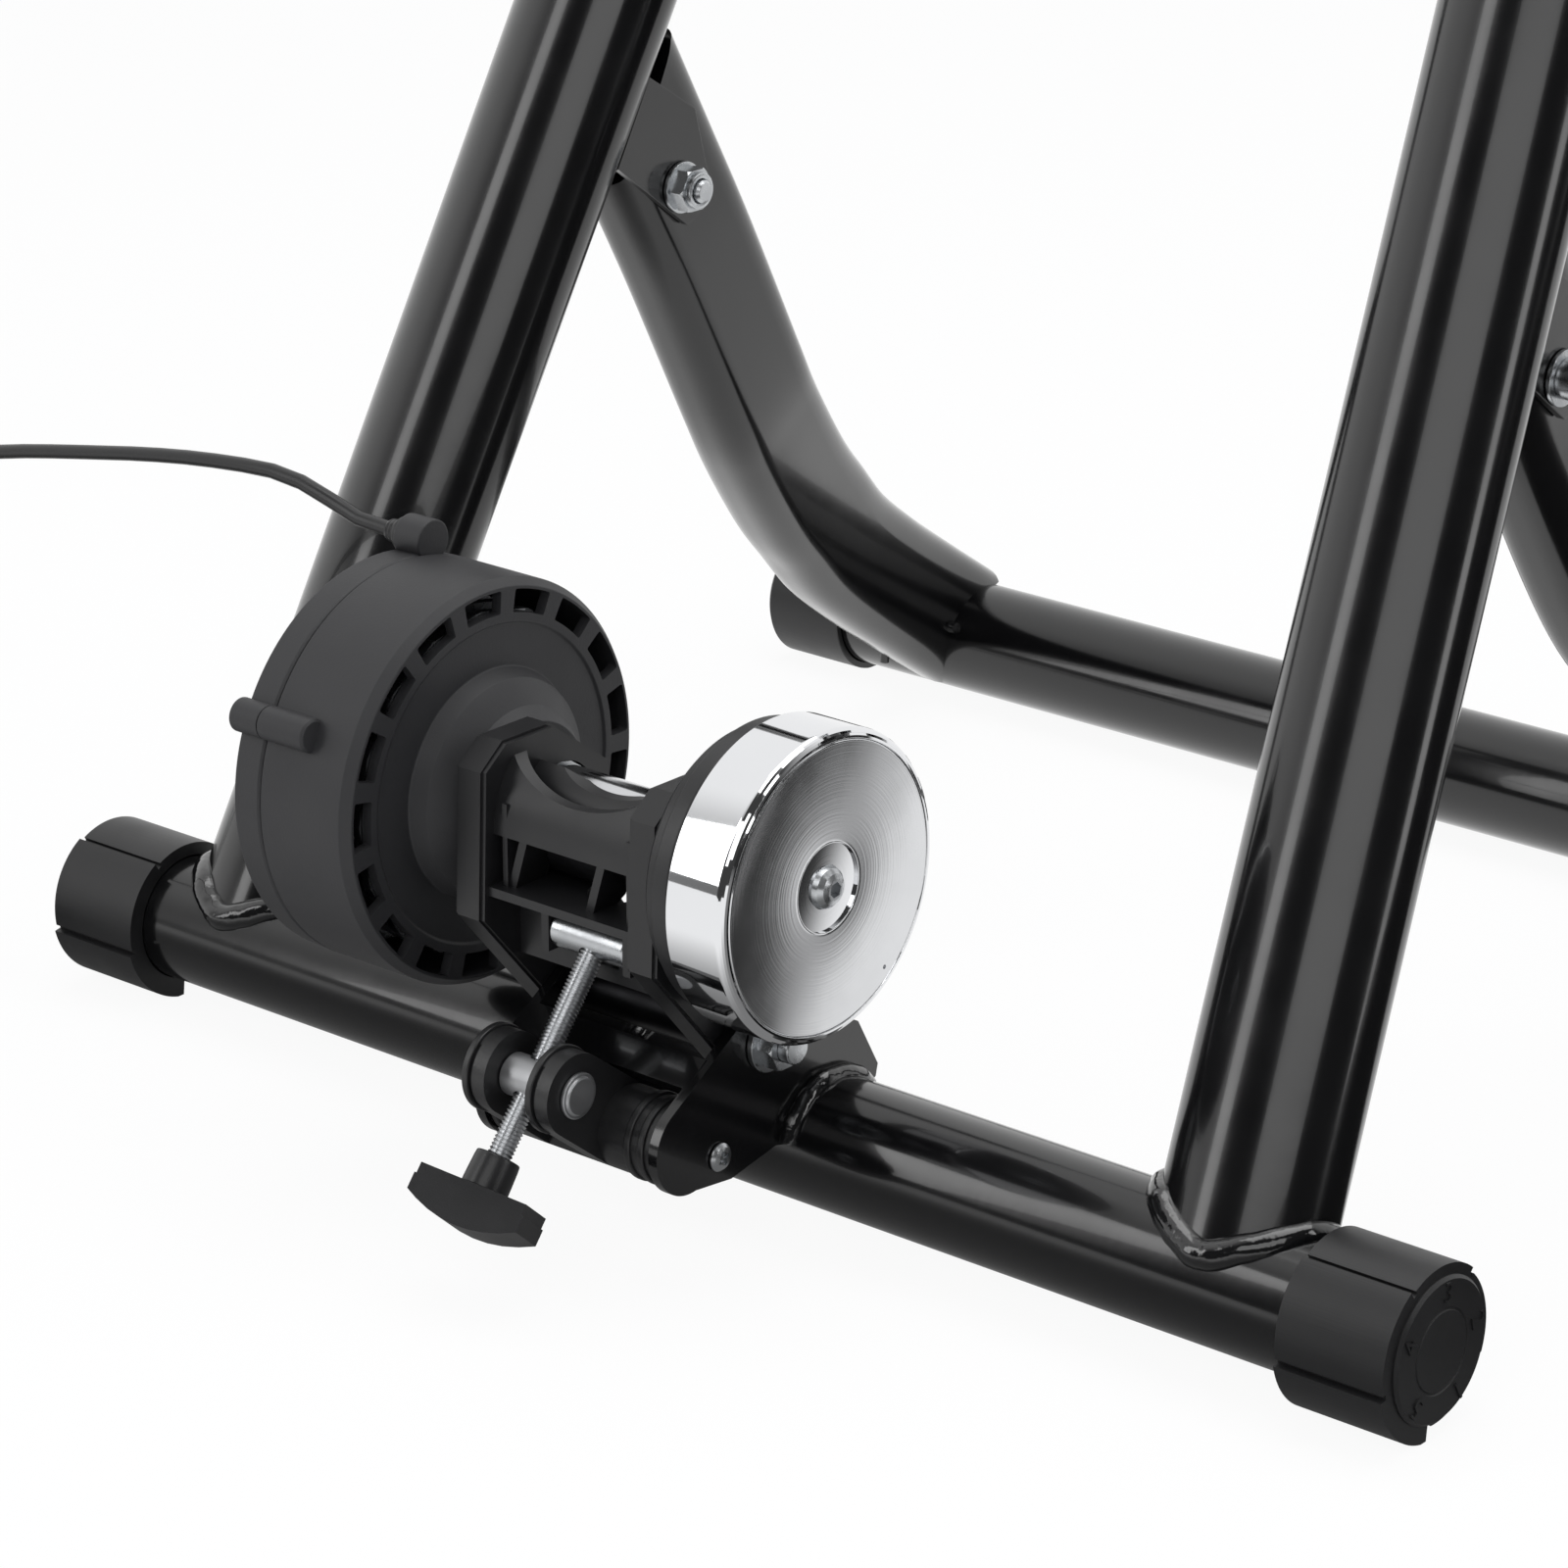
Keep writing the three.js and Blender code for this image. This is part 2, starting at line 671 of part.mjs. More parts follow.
// The cam's radius falls evenly as the lever opens, so that it lets the plunger back by its throw.
function leverOutline() {
  const { cam, arm: reach, thickness, edgeShare, throw: drop, openDeg, shoulder, steps } = lever;
  const points = [
    [thickness / 2, -reach],
    [thickness / 2, -shoulder],
  ];
  for (let step = 0; step <= steps; step += 1) {
    const share = step / steps;
    const angle = Math.PI - openDeg * degree * share;
    const radius = cam - drop * share;
    points.push([radius * Math.cos(angle), radius * Math.sin(angle)]);
  }
  points.push([cam - drop, 0], [thickness * edgeShare, -reach], [thickness, -reach - thickness / 2]);
  return outlineOf(points);
}

// The lever's cam turns about the pin; its arm lies down the upright's outer side when it is closed.
function leverSolid() {
  const { width } = lever;
  const geometry = new THREE.ExtrudeGeometry(leverOutline(), { depth: width, bevelEnabled: false });
  const body = solid(geometry).translate(0, 0, -width / 2).rotate([90, 0, 0]);
  const pinBore = leverPin.radius + gap;
  const pin = new THREE.CylinderGeometry(pinBore, pinBore, 2 * width, sides.small);
  return body.subtract(solid(pin));
}

addMesh(clamps, "left_clamp_sleeve", mirrored(sleeveTube(), -1), enamel());
addMesh(clamps, "left_clamp_cup", mirrored(cup(), -1), zinc());
addMesh(clamps, "left_clamp_spindle", mirrored(spindleSolid(), -1), zinc());
addMesh(clamps, "left_lock_ring", mirrored(lockRingSolid(), -1), moulding());
addMesh(clamps, "left_clamp_knob", mirrored(handKnobSolid(), -1), moulding());
addMesh(clamps, "right_clamp_sleeve", sleeveWithEars(), enamel());
addMesh(clamps, "right_clamp_cup", cup(), zinc());
addMesh(clamps, "right_plunger", bar(clamp.spindle, cupBack + gap, plungerEnd, 0, 0, sides.medium), zinc());
addMesh(clamps, "lever_pin", leverPinSolid(), zinc());
const leverPlace = subGroup(clamps, "lever_place", clampOuter + leverPin.out, 0, 0);
addMesh(leverPlace, "quick_release_lever", leverSolid(), blackSteel());

// The bracket that carries the unit, welded to the rear tube

const plateTab = { y: 14.8, z: 35.1, noseY: 24.6, noseZ: 17.5, toeY: 23.6, toeZ: 13.4 };
const plateHeel = { y: -25, z: 6, backY: -46, backZ: 2 };
const webRun = { from: 10.8, to: 22.4, inset: 1 }; // along the plate's slanted edge, from the arm's hub
const armScrew = { y: -52, z: 11.5, radius: 2.2, head: 4.6, headLength: 2.2, depth: 9 };

function bracketOutline() {
  const along = Math.atan2(tilt.z - arm.hubZ, tilt.y - arm.hubY);
  const shape = new THREE.Shape();
  shape.moveTo(0, 0);
  shape.lineTo(plateHeel.y, plateHeel.z);
  shape.lineTo(plateHeel.backY, plateHeel.backZ);
  const { boss, bossFromDeg, tiltBoss, tiltBossToDeg } = bracket;
  const square = Math.PI / 2;
  shape.absarc(arm.hubY, arm.hubZ, boss, bossFromDeg * degree, along + square - 2 * Math.PI, true);
  shape.absarc(tilt.y, tilt.z, tiltBoss, along + square, tiltBossToDeg * degree, true);
  shape.lineTo(plateTab.y, plateTab.z);
  shape.lineTo(plateTab.noseY, plateTab.noseZ);
  shape.lineTo(plateTab.toeY, plateTab.toeZ);
  return shape;
}

function unitBracket() {
  const outline = bracketOutline();
  const { leftOuter, leftInner, rightInner, rightOuter, web } = bracket;
  const cheeks = joined(plate(outline, leftOuter, leftInner), plate(outline, rightInner, rightOuter));
  const slope = Math.atan2(tilt.z - arm.hubZ, tilt.y - arm.hubY);
  const webTop = bracket.boss - webRun.inset;
  const across = [leftInner - overrun, rightInner + overrun];
  const crossing = block(across, [webRun.from, webRun.to], [webTop - web, webTop])
    .rotate([slope / degree, 0, 0])
    .translate(0, arm.hubY, arm.hubZ);
  const [from, to] = [leftOuter - overrun, rightOuter + overrun];
  const tubeSeat = bar(rearTube.radius + gap, from, to, 0, 0, sides.tube);
  const pivot = bar(pivotBolt.radius + gap, from, to, tilt.y, tilt.z);
  const screw = bar(armScrew.radius + gap, from, to, armScrew.y, armScrew.z);
  return cutBy(joined(cheeks, crossing), tubeSeat, pivot, screw);
}

function pivotBoltSolid() {
  const headAt = flange.leftOuter - gap;
  const tip = bracket.rightOuter + gap + pivotBolt.nutLength + pivotBolt.end;
  const head = hexBar(pivotBolt.head, headAt - pivotBolt.headLength, headAt);
  return joined(head, bar(pivotBolt.radius, headAt - overrun, tip));
}

function pivotNutSolid() {
  const from = bracket.rightOuter + gap;
  const nut = joined(
    hexBar(pivotBolt.nut, from, from + pivotBolt.nutLength),
    bar(pivotBolt.washer, from, from + pivotBolt.washerThickness, 0, 0, sides.medium),
  );
  return nut.subtract(bar(pivotBolt.radius + gap, from - overrun, from + 2 * pivotBolt.nutLength));
}

addMesh(stand, "unit_bracket", unitBracket(), enamel());
const pivotPlace = subGroup(stand, "cradle_pivot", 0, tilt.y, tilt.z);
addMesh(pivotPlace, "pivot_bolt", pivotBoltSolid(), zinc());
addMesh(pivotPlace, "pivot_nut", pivotNutSolid(), zinc());
const sleeveEnds = [bracket.leftInner + gap, flange.rightInner - gap];
const spacer = ring(pivotBolt.radius + gap, pivotBolt.sleeve, ...sleeveEnds, sides.small);
addMesh(pivotPlace, "pivot_sleeve", spacer, blackSteel());

// The forked arm that holds the adjuster's trunnion
const armHubFrom = bracket.leftInner + gap;
const armHubTo = bracket.rightInner - gap;
const earOuterLeft = rodX - arm.earOut;
const earOuterRight = rodX + arm.earOut;
const armRim = { grown: 0.9, width: 2.6, slotPast: 6 };

function adjusterArm() {
  const outline = linkOutline([trunnion.y, trunnion.z, arm.ear], [arm.hubY, arm.hubZ, arm.hub]);
  const fork = plate(outline, earOuterLeft, earOuterRight);
  const lug = linkOutline([arm.hubY, arm.hubZ, arm.hub], [armScrew.y, armScrew.z, armScrew.radius * 3]);
  const hub = plate(lug, armHubFrom, armHubTo);
  const { grown, width } = armRim;
  const rims = [earOuterLeft, rodX + arm.earOut - arm.earThickness].map((from) =>
    bar(arm.ear + grown, from, from + width, trunnion.y, trunnion.z, sides.medium),
  );
  const slotHalf = arm.earOut - arm.earThickness;
  const slot = block(
    [rodX - slotHalf, rodX + slotHalf],
    [trunnion.y - 2 * arm.ear, arm.hubY - arm.hub + armRim.slotPast],
    [-2 * arm.ear, trunnion.z + 2 * arm.ear],
  );
  const [left, right] = [earOuterLeft - overrun, earOuterRight + overrun];
  const pins = bar(trunnion.pin + gap, left, right, trunnion.y, trunnion.z);
  const screwDepths = [
    [armHubFrom - overrun, armHubFrom + armScrew.depth],
    [armHubTo - armScrew.depth, armHubTo + overrun],
  ];
  const hole = armScrew.radius + gap;
  const screws = screwDepths.map(([from, to]) => bar(hole, from, to, armScrew.y, armScrew.z));
  return cutBy(joined(fork, hub, ...rims), slot, pins, ...screws);
}

function armScrewSolid(plateFace, hubFace) {
  const outward = Math.sign(plateFace - hubFace);
  const seat = plateFace + outward * gap;
  const tip = hubFace - outward * (armScrew.depth - gap);
  const [from, to] = [Math.min(seat, tip), Math.max(seat, tip)];
  const headEnd = seat + outward * armScrew.headLength;
  const shank = bar(armScrew.radius, from - overrun * (outward < 0), to + overrun * (outward > 0));
  const head = bar(armScrew.head, Math.min(seat, headEnd), Math.max(seat, headEnd));
  return joined(shank, head);
}

addMesh(stand, "adjuster_arm", adjusterArm(), castMetal());
const screwPlace = subGroup(stand, "arm_screws", 0, armScrew.y, armScrew.z);
addMesh(screwPlace, "right_arm_screw", armScrewSolid(bracket.rightOuter, armHubTo), zinc());
addMesh(screwPlace, "left_arm_screw", armScrewSolid(bracket.leftOuter, armHubFrom), zinc());

// The adjuster, in a group at the trunnion whose +Z runs along the rod towards the barrel nut

const rodRun = Math.hypot(barrel.y - trunnion.y, barrel.z - trunnion.z);
const rodSwing = Math.atan2(barrel.y - trunnion.y, barrel.z - trunnion.z);
const adjuster = subGroup(stand, "adjuster", rodX, trunnion.y, trunnion.z);
adjuster.rotation.x = -rodSwing;

// A round bar along the group's Z axis.
function pole(radius, from, to, count = sides.small) {
  return bar(radius, from, to, 0, 0, count).rotate([0, -90, 0]);
}

// The cross barrel with the pins pressed into its ends.
function trunnionSolid() {
  const half = arm.earOut - arm.earThickness - gap;
  const outer = arm.earOut + gap;
  const headEnd = outer + trunnion.pinHeadLength;
  const body = bar(trunnion.radius, -half, half, 0, 0, sides.medium);
  const pins = bar(trunnion.pin, -outer - overrun, outer + overrun);
  const heads = [
    [-headEnd, -outer],
    [outer, headEnd],
  ].map(([from, to]) => bar(trunnion.pinHead, from, to, 0, 0, sides.medium));
  const reach = 2 * trunnion.radius;
  return joined(body, pins, ...heads).subtract(pole(rod.radius + gap, -reach, reach));
}

function barrelSolid() {
  const [from, to] = [barrel.from - rodX, barrel.to - rodX];
  const body = bar(barrel.radius, from, to, 0, 0, sides.medium).translate(0, 0, rodRun);
  return body.subtract(pole(rod.radius + gap, 0, 2 * rodRun));
}

const rodTop = rodRun + rod.past;
const clipAt = rodRun + barrel.radius + gap;

function rodSolid() {
  const floor = rod.radius - rodGroove.depth;
  const groove = ring(floor, rod.radius + overrun, clipAt - gap, clipAt + overrun + gap, sides.small);
  return pole(rod.radius, -knob.start - rod.intoKnob, rodTop).subtract(groove.rotate([0, -90, 0]));
}

function rodClipSolid() {
  const inner = rod.radius - rodGroove.depth + rodGroove.clearance;
  const outer = rod.radius * rodGroove.clipShare;
  return ring(inner, outer, clipAt, clipAt + overrun, sides.small).rotate([0, -90, 0]);
}

function knobSolid() {
  const { start, hub, hubLength, width, depth, thickness, turnDeg, crown } = knob;
  const barTop = -start - hubLength;
  const half = width / 2;
  const outline = new THREE.Shape();
  outline.moveTo(-half, barTop);
  outline.lineTo(half, barTop);
  outline.lineTo(half, barTop - thickness + crown);
  outline.quadraticCurveTo(0, barTop - thickness - crown, -half, barTop - thickness + crown);
  const geometry = new THREE.ExtrudeGeometry(outline, { depth, bevelEnabled: false, curveSegments: 8 });
  geometry.translate(0, 0, -depth / 2);
  geometry.rotateX(Math.PI / 2);
  const hubBody = pole(hub, barTop - overrun, -start, sides.medium);
  const bore = pole(rod.radius + gap, -start - rod.intoKnob - gap, 0);
  return joined(solid(geometry), hubBody).subtract(bore).rotate([0, 0, turnDeg]);
}

addMesh(adjuster, "trunnion", trunnionSolid(), polishedSteel());
addMesh(adjuster, "barrel_nut", barrelSolid(), zinc());
addMesh(adjuster, "adjuster_rod", rodSolid(), polishedSteel());
addMesh(adjuster, "rod_clip", rodClipSolid(), blackSteel());
addMesh(adjuster, "adjuster_knob", knobSolid(), moulding());

// The resistance unit, in a group on the roller's axis

const unit = subGroup(stand, "resistance_unit", 0, roller.y, roller.z);
const pivotAt = { y: tilt.y - roller.y, z: tilt.z - roller.z };
const barrelAt = { y: barrel.y - roller.y, z: barrel.z - roller.z };
const barrelClearance = 0.6;

const flangeEdge = {
  toe: -36,
  low: -28,
  rear: -34,
  high: 20,
  topRear: -25,
  top: 27,
  topFront: -4,
  front: 21,
  frontHigh: 9,
};
const pivotLug = { radius: 12.5, toDeg: -144 };
const rearWall = { outer: 31, thickness: 3.5, from: 118, to: 181, scallop: 55, low: 14, middleX: 1.5 };
const trough = { inner: 17, thickness: 3, from: 118, to: 282 };
const crossRib = { y: -27, z: -17, depth: 14, thickness: 3 };
const slantRib = { thickness: 3, tops: [-17, 15], lean: 6, depth: 12 };
const seat = { front: -4, bottom: -43, top: -19, cheek: 3 };

function flangeOutline() {
  const { toe, rear, low, high, top, topRear, topFront, front: fore, frontHigh } = flangeEdge;
  const shape = new THREE.Shape();
  shape.moveTo(toe, low);
  shape.lineTo(rear, high);
  shape.lineTo(topRear, top);
  shape.lineTo(topFront, top);
  shape.lineTo(fore, frontHigh);
  shape.lineTo(pivotAt.y + pivotLug.radius, pivotAt.z);
  shape.absarc(pivotAt.y, pivotAt.z, pivotLug.radius, 0, pivotLug.toDeg * degree, true);
  return shape;
}

// Part of a tube wall about an axis along X, between two angles from +Y towards +Z.
function arcWall(outer, thickness, fromDeg, toDeg, from, to) {
  const shape = new THREE.Shape();
  shape.absarc(0, 0, outer, fromDeg * degree, toDeg * degree, false);
  shape.absarc(0, 0, outer - thickness, toDeg * degree, fromDeg * degree, true);
  return plate(shape, from, to);
}

function cradleSolid() {
  const outline = flangeOutline();
  const [inLeft, inRight] = [flange.leftInner - overrun, flange.rightInner + overrun];
  const cheeks = joined(
    plate(outline, flange.leftOuter, flange.leftInner),
    plate(outline, flange.rightInner, flange.rightOuter),
  );
  const shell = arcWall(rearWall.outer, rearWall.thickness, rearWall.from, rearWall.to, inLeft, inRight);
  const panOuter = trough.inner + trough.thickness;
  const pan = arcWall(panOuter, trough.thickness, trough.from, trough.to, inLeft, inRight);
  const ledge = block(
    [inLeft, inRight],
    [crossRib.y - crossRib.depth / 2, crossRib.y + crossRib.depth],
    [crossRib.z - crossRib.thickness, crossRib.z],
  );
  const ribs = slantRib.tops.map((x) => {
    const y = -rearWall.outer + rearWall.thickness / 2;
    const upper = new THREE.Vector3(x, y, 0);
    const lower = new THREE.Vector3(x + slantRib.lean, crossRib.y - crossRib.depth / 4, crossRib.z - overrun);
    return strut(upper, lower, slantRib.thickness, slantRib.depth);
  });
  const seatBlock = block([inLeft, inRight], [barrelAt.y, seat.front], [seat.bottom, seat.top]);
  const [cheekRear, cheekLow] = [barrelAt.y - barrel.radius, barrelAt.z - barrel.radius];
  const seatCheeks = [barrel.from - gap - seat.cheek, barrel.to + gap].map((x) =>
    block([x, x + seat.cheek], [cheekRear, seat.front], [cheekLow, seat.top]),
  );
  const across = rearWall.scallop;
  const cylinder = new THREE.CylinderGeometry(across, across, 2 * flywheel.radius, sides.large);
  const scallop = solid(cylinder).translate(rearWall.middleX, -flywheel.radius, rearWall.low + across);
  const seatRadius = barrel.radius + barrelClearance;
  const seatBore = bar(seatRadius, barrel.from - gap, barrel.to + gap, barrelAt.y, barrelAt.z, sides.medium);
  const rodPath = rodCut();
  const [from, to] = [flange.leftOuter - overrun, flange.rightOuter + overrun];
  const bearings = bar(bearing.radius + gap, from, to, 0, 0, sides.tube);
  const pivot = bar(pivotBolt.radius + runningGap, from, to, pivotAt.y, pivotAt.z);
  const inside = joined(shell, pan, ledge, ...ribs, seatBlock, ...seatCheeks);
  return cutBy(joined(cheeks, cutBy(inside, scallop)), seatBore, rodPath, bearings, pivot);
}

// A flat bar between two points, thin along X and deep across.
function strut(upper, lower, thickness, depth) {
  const along = lower.clone().sub(upper);
  const geometry = new THREE.BoxGeometry(thickness, depth, along.length());
  const down = new THREE.Vector3(0, 0, -1);
  const turn = new THREE.Quaternion().setFromUnitVectors(down, along.clone().normalize());
  const middle = upper.clone().add(lower).multiplyScalar(1 / 2);
  geometry.applyQuaternion(turn);
  geometry.translate(middle.x, middle.y + depth / 2, middle.z);
  return solid(geometry);
}

const rodEndRoom = 2.6; // round the clip, for its swing as the cradle tilts

// The way that the rod's end and its clip take through the cradle.
function rodCut() {
  const wide = rod.radius * rodGroove.clipShare + rodEndRoom;
  return pole(wide, rodRun - barrel.radius, rodTop + 3 * rod.radius, sides.small)
    .rotate([-rodSwing / degree, 0, 0])
    .translate(rodX, trunnion.y - roller.y, trunnion.z - roller.z);
}

function bearingSolid(outerFace, inward) {
  const from = outerFace + inward * overrun;
  const to = from + inward * bearing.width;
  return ring(shaft.radius + gap, bearing.radius, Math.min(from, to), Math.max(from, to));
}

function flywheelSolid() {
  const { radius, back, front: face, fillet, recess, recessDepth } = flywheel;
  const bore = shaft.radius + gap;
  const corners = [
    [back, bore],
    [back, radius - fillet / 2],
    [back + fillet / 2, radius],
    [face - fillet, radius],
  ];
  for (let step = 1; step <= sides.fillet; step += 1) {
    const angle = (step * Math.PI) / (2 * sides.fillet);
    corners.push([face - fillet + fillet * Math.sin(angle), radius - fillet + fillet * Math.cos(angle)]);
  }
  corners.push([face, recess], [face - recessDepth, recess], [face - recessDepth, bore], [back, bore]);
  return turned(corners, sides.large);
}

const flywheelWasher = { radius: 11.5, thickness: 2 };
const flywheelScrew = { head: 7, headLength: 4.6, shank: 3, socket: 2.4, socketDepth: 2.5 };
// The button head's profile: shares of its length, and of its radius there
const buttonShares = [
  [0.35, 1],
  [0.8, 0.8],
  [1, 0.45],
];
const washerFrom = flywheel.front - flywheel.recessDepth + gap;
const screwSeat = washerFrom + flywheelWasher.thickness + gap;

function flywheelScrewSolid() {
  const { head, headLength, shank, socket, socketDepth } = flywheelScrew;
  const tip = screwSeat - shaft.screwHoleDepth + 2 * overrun;
  const corners = [
    [tip, 0],
    [tip, shank],
    [screwSeat, shank],
    [screwSeat, head],
    ...buttonShares.map(([along, out]) => [screwSeat + headLength * along, head * out]),
    [screwSeat + headLength, 0],
  ];
  const top = screwSeat + headLength;
  return turned(corners).subtract(hexBar(socket, top - socketDepth, top + overrun));
}

function shaftSolid() {
  const hole = bar(shaft.screwHole, shaft.right - shaft.screwHoleDepth, shaft.right + overrun);
  return bar(shaft.radius, shaft.left, shaft.right, 0, 0, sides.medium).subtract(hole);
}

function rollerSolid() {
  return ring(shaft.radius + gap, roller.radius, roller.from, roller.to, sides.tube);
}

function guardSolid() {
  const { from, step, groove, to, innerRadius, grooveRadius, outerRadius } = guard;
  const bore = shaft.radius + 2 * runningGap;
  const corners = [
    [from, bore],
    [from, innerRadius - chamfer],
    [from + chamfer, innerRadius],
    [step, innerRadius],
    [step, grooveRadius],
    [groove, grooveRadius],
    [groove, outerRadius],
    [to, outerRadius],
    [to, bore],
    [from, bore],
  ];
  return turned(corners, sides.large);
}

addMesh(unit, "cradle", cradleSolid(), moulding());
addMesh(unit, "left_bearing", bearingSolid(flange.leftInner, -1), polishedSteel());
addMesh(unit, "right_bearing", bearingSolid(flange.rightInner, 1), polishedSteel());
addMesh(unit, "flywheel_guard", guardSolid(), moulding());
addMesh(unit, "roller", rollerSolid(), polishedSteel());
addMesh(unit, "roller_shaft", shaftSolid(), polishedSteel());
addMesh(unit, "flywheel", flywheelSolid(), chrome());
addMesh(
  unit,
  "flywheel_washer",
  ring(flywheelScrew.shank + gap, flywheelWasher.radius, washerFrom, washerFrom + flywheelWasher.thickness),
  zinc(),
);
addMesh(unit, "flywheel_screw", flywheelScrewSolid(), zinc());

// The drum with its magnets

const vent = { inFromRim: 3.5, height: 7.5, widthDeg: 15, count: 17, firstDeg: 93 };
const drumBoss = { radius: 5.5, out: 1, from: -75, degs: [155, 335], screw: 2 };
const drumBossAt = drum.radius + drumBoss.out;
const gland = { y: 14, out: 2.5, radius: 4.5, boss: 7, from: -99, to: -113.7, bore: 1.6, collar: 3 };
const glandZ = drum.radius + gland.out;
const drumEdge = 2.4; // the bevel round the drum's inner face
// The dish of the drum's cover, in shares of its radius
const coverShares = { dish: 0.78, slope: 0.93, inside: 0.76 };

function alongRim(body, deg) {
  const angle = deg * degree;
  return body.translate(0, drumBossAt * Math.cos(angle), drumBossAt * Math.sin(angle));
}

function ventTool(deg) {
  const shape = new THREE.Shape();
  const [from, to] = [(deg - vent.widthDeg / 2) * degree, (deg + vent.widthDeg / 2) * degree];
  const outer = drum.radius - vent.inFromRim;
  shape.absarc(0, 0, outer, from, to, false);
  shape.absarc(0, 0, outer - vent.height, to, from, true);
  return plate(shape, drum.face - drum.wall - overrun, drum.face + overrun, 1);
}

function drumHousing() {
  const { radius, face, parting, wall, hub, hubFace, mouth } = drum;
  const mouthFace = flange.leftOuter - gap;
  const corners = [
    [mouthFace, shaft.radius + 2 * runningGap],
    [mouthFace, mouth],
    [hubFace, hub],
    [hubFace - drumEdge, hub + drumEdge],
    [face, hub + 2 * drumEdge],
    [face, radius - drumEdge],
    [face - drumEdge, radius],
    [parting, radius],
    [parting, radius - wall],
    [face - wall, radius - wall],
    [face - wall, shaft.radius * 2],
    [face, shaft.radius + 2 * runningGap],
    [mouthFace, shaft.radius + 2 * runningGap],
  ];
  const shell = turned(corners, sides.large);
  const bosses = drumBoss.degs.map((deg) => alongRim(bar(drumBoss.radius, parting, drumBoss.from), deg));
  const cavity = bar(radius - wall, parting - overrun, face - wall, 0, 0, sides.large);
  const hole = bar(drumBoss.screw + gap, parting - overrun, drumBoss.from - 2 * overrun);
  const holes = drumBoss.degs.map((deg) => alongRim(hole, deg));
  const pitchDeg = 360 / vent.count;
  const vents = Array.from({ length: vent.count }, (_, index) => ventTool(vent.firstDeg + pitchDeg * index));
  const outside = joined(...bosses).subtract(cavity);
  return cutBy(joined(shell, outside), ...holes, ...vents);
}

const carrierStub = { radius: 8, to: -99 };

function drumCover() {
  const { radius, parting, rim, outer, wall } = drum;
  const start = parting - gap;
  const corners = [
    [outer, 0],
    [outer, radius * coverShares.dish],
    [(outer + rim) / 2, radius * coverShares.slope],
    [rim, radius - overrun / 2],
    [start, radius],
    [start, radius - wall],
    [rim + wall / 2, radius - wall],
    [outer + wall, radius * coverShares.inside],
    [outer + wall, carrierStub.radius],
    [carrierStub.to, carrierStub.radius],
    [carrierStub.to, 0],
  ];
  const shell = turned(corners, sides.large);
  const bosses = drumBoss.degs.map((deg) => alongRim(bar(drumBoss.radius, rim, start), deg));
  const glandBoss = bar(gland.boss, rim, start, gland.y, glandZ);
  const cavity = bar(radius - wall, rim + wall / 2, start + overrun, 0, 0, sides.large);
  const hole = bar(drumBoss.screw + gap, 2 * outer, start + overrun);
  const headSeat = bar(2 * drumBoss.screw + gap, 2 * outer, rim);
  const holes = drumBoss.degs.flatMap((deg) => [alongRim(hole, deg), alongRim(headSeat, deg)]);
  const glandHole = bar(gland.radius + gap, 2 * outer, gland.from, gland.y, glandZ);
  const glandSeat = bar(gland.radius + overrun + gap, 2 * outer, rim, gland.y, glandZ);
  const outside = joined(...bosses, glandBoss).subtract(cavity);
  return cutBy(joined(shell, outside), ...holes, glandHole, glandSeat);
}

function drumScrew(deg) {
  const head = bar(drumBoss.screw * 2, drum.rim - gap - drumBoss.screw, drum.rim - gap);
  const shank = bar(drumBoss.screw, drum.rim - gap - overrun, drumBoss.from - 4 * overrun);
  return alongRim(joined(head, shank), deg);
}

function glandSolid() {
  const { radius, from, to, bore, collar } = gland;
  const collarFrom = drum.rim - gap;
  const tip = from - gap;
  const corners = [
    [to, bore],
    [to, radius - overrun],
    [collarFrom - collar, radius + overrun],
    [collarFrom, radius + overrun],
    [collarFrom, radius],
    [tip, radius],
    [tip, bore],
    [to, bore],
  ];
  return turned(corners, sides.small).translate(0, gland.y, glandZ);
}

const magnet = { count: 8, inner: 32, inFromPlate: 6, height: 6, width: 14, plate: 3, plateInner: 24 };
const ringInFromDrum = 10; // the magnets' plates and the rotor stand this far inside the drum's outer radius
const ringOuter = drum.radius - ringInFromDrum;
const rotor = { thickness: 4, hub: 16 };
const airGap = 2;

// A steel ring with magnets standing on it towards the rotor; inward is +1 where the rotor lies at higher x.
function magnetRing(back, inward) {
  const face = back + inward * magnet.plate;
  const tip = face + inward * magnet.height;
  const disc = ring(magnet.plateInner, ringOuter, Math.min(back, face), Math.max(back, face));
  const half = magnet.width / 2;
  const root = face - inward * overrun;
  const one = block(
    [Math.min(root, tip), Math.max(root, tip)],
    [magnet.inner, ringOuter - magnet.inFromPlate],
    [-half, half],
  );
  const stepDeg = 360 / magnet.count;
  const blocks = Array.from({ length: magnet.count }, (_, index) => one.rotate([stepDeg * index, 0, 0]));
  return joined(disc, ...blocks);
}

const fixedRingBack = drum.face - drum.wall - gap;
const rotorTo = fixedRingBack - magnet.plate - magnet.height - airGap;
const rotorFrom = rotorTo - rotor.thickness;
const movingRingBack = rotorFrom - airGap - magnet.height - magnet.plate;
const carrier = { thickness: 5, beyondPlate: 2, hubLength: 7, hubWall: 3 };
const carrierRadius = ringOuter + carrier.beyondPlate;

function rotorSolid() {
  const bore = shaft.radius + gap;
  const corners = [
    [rotorFrom, bore],
    [rotorFrom, ringOuter],
    [rotorTo, ringOuter],
    [rotorTo, rotor.hub],
    [rotorTo + magnet.height, rotor.hub],
    [rotorTo + magnet.height, bore],
    [rotorFrom, bore],
  ];
  return turned(corners);
}

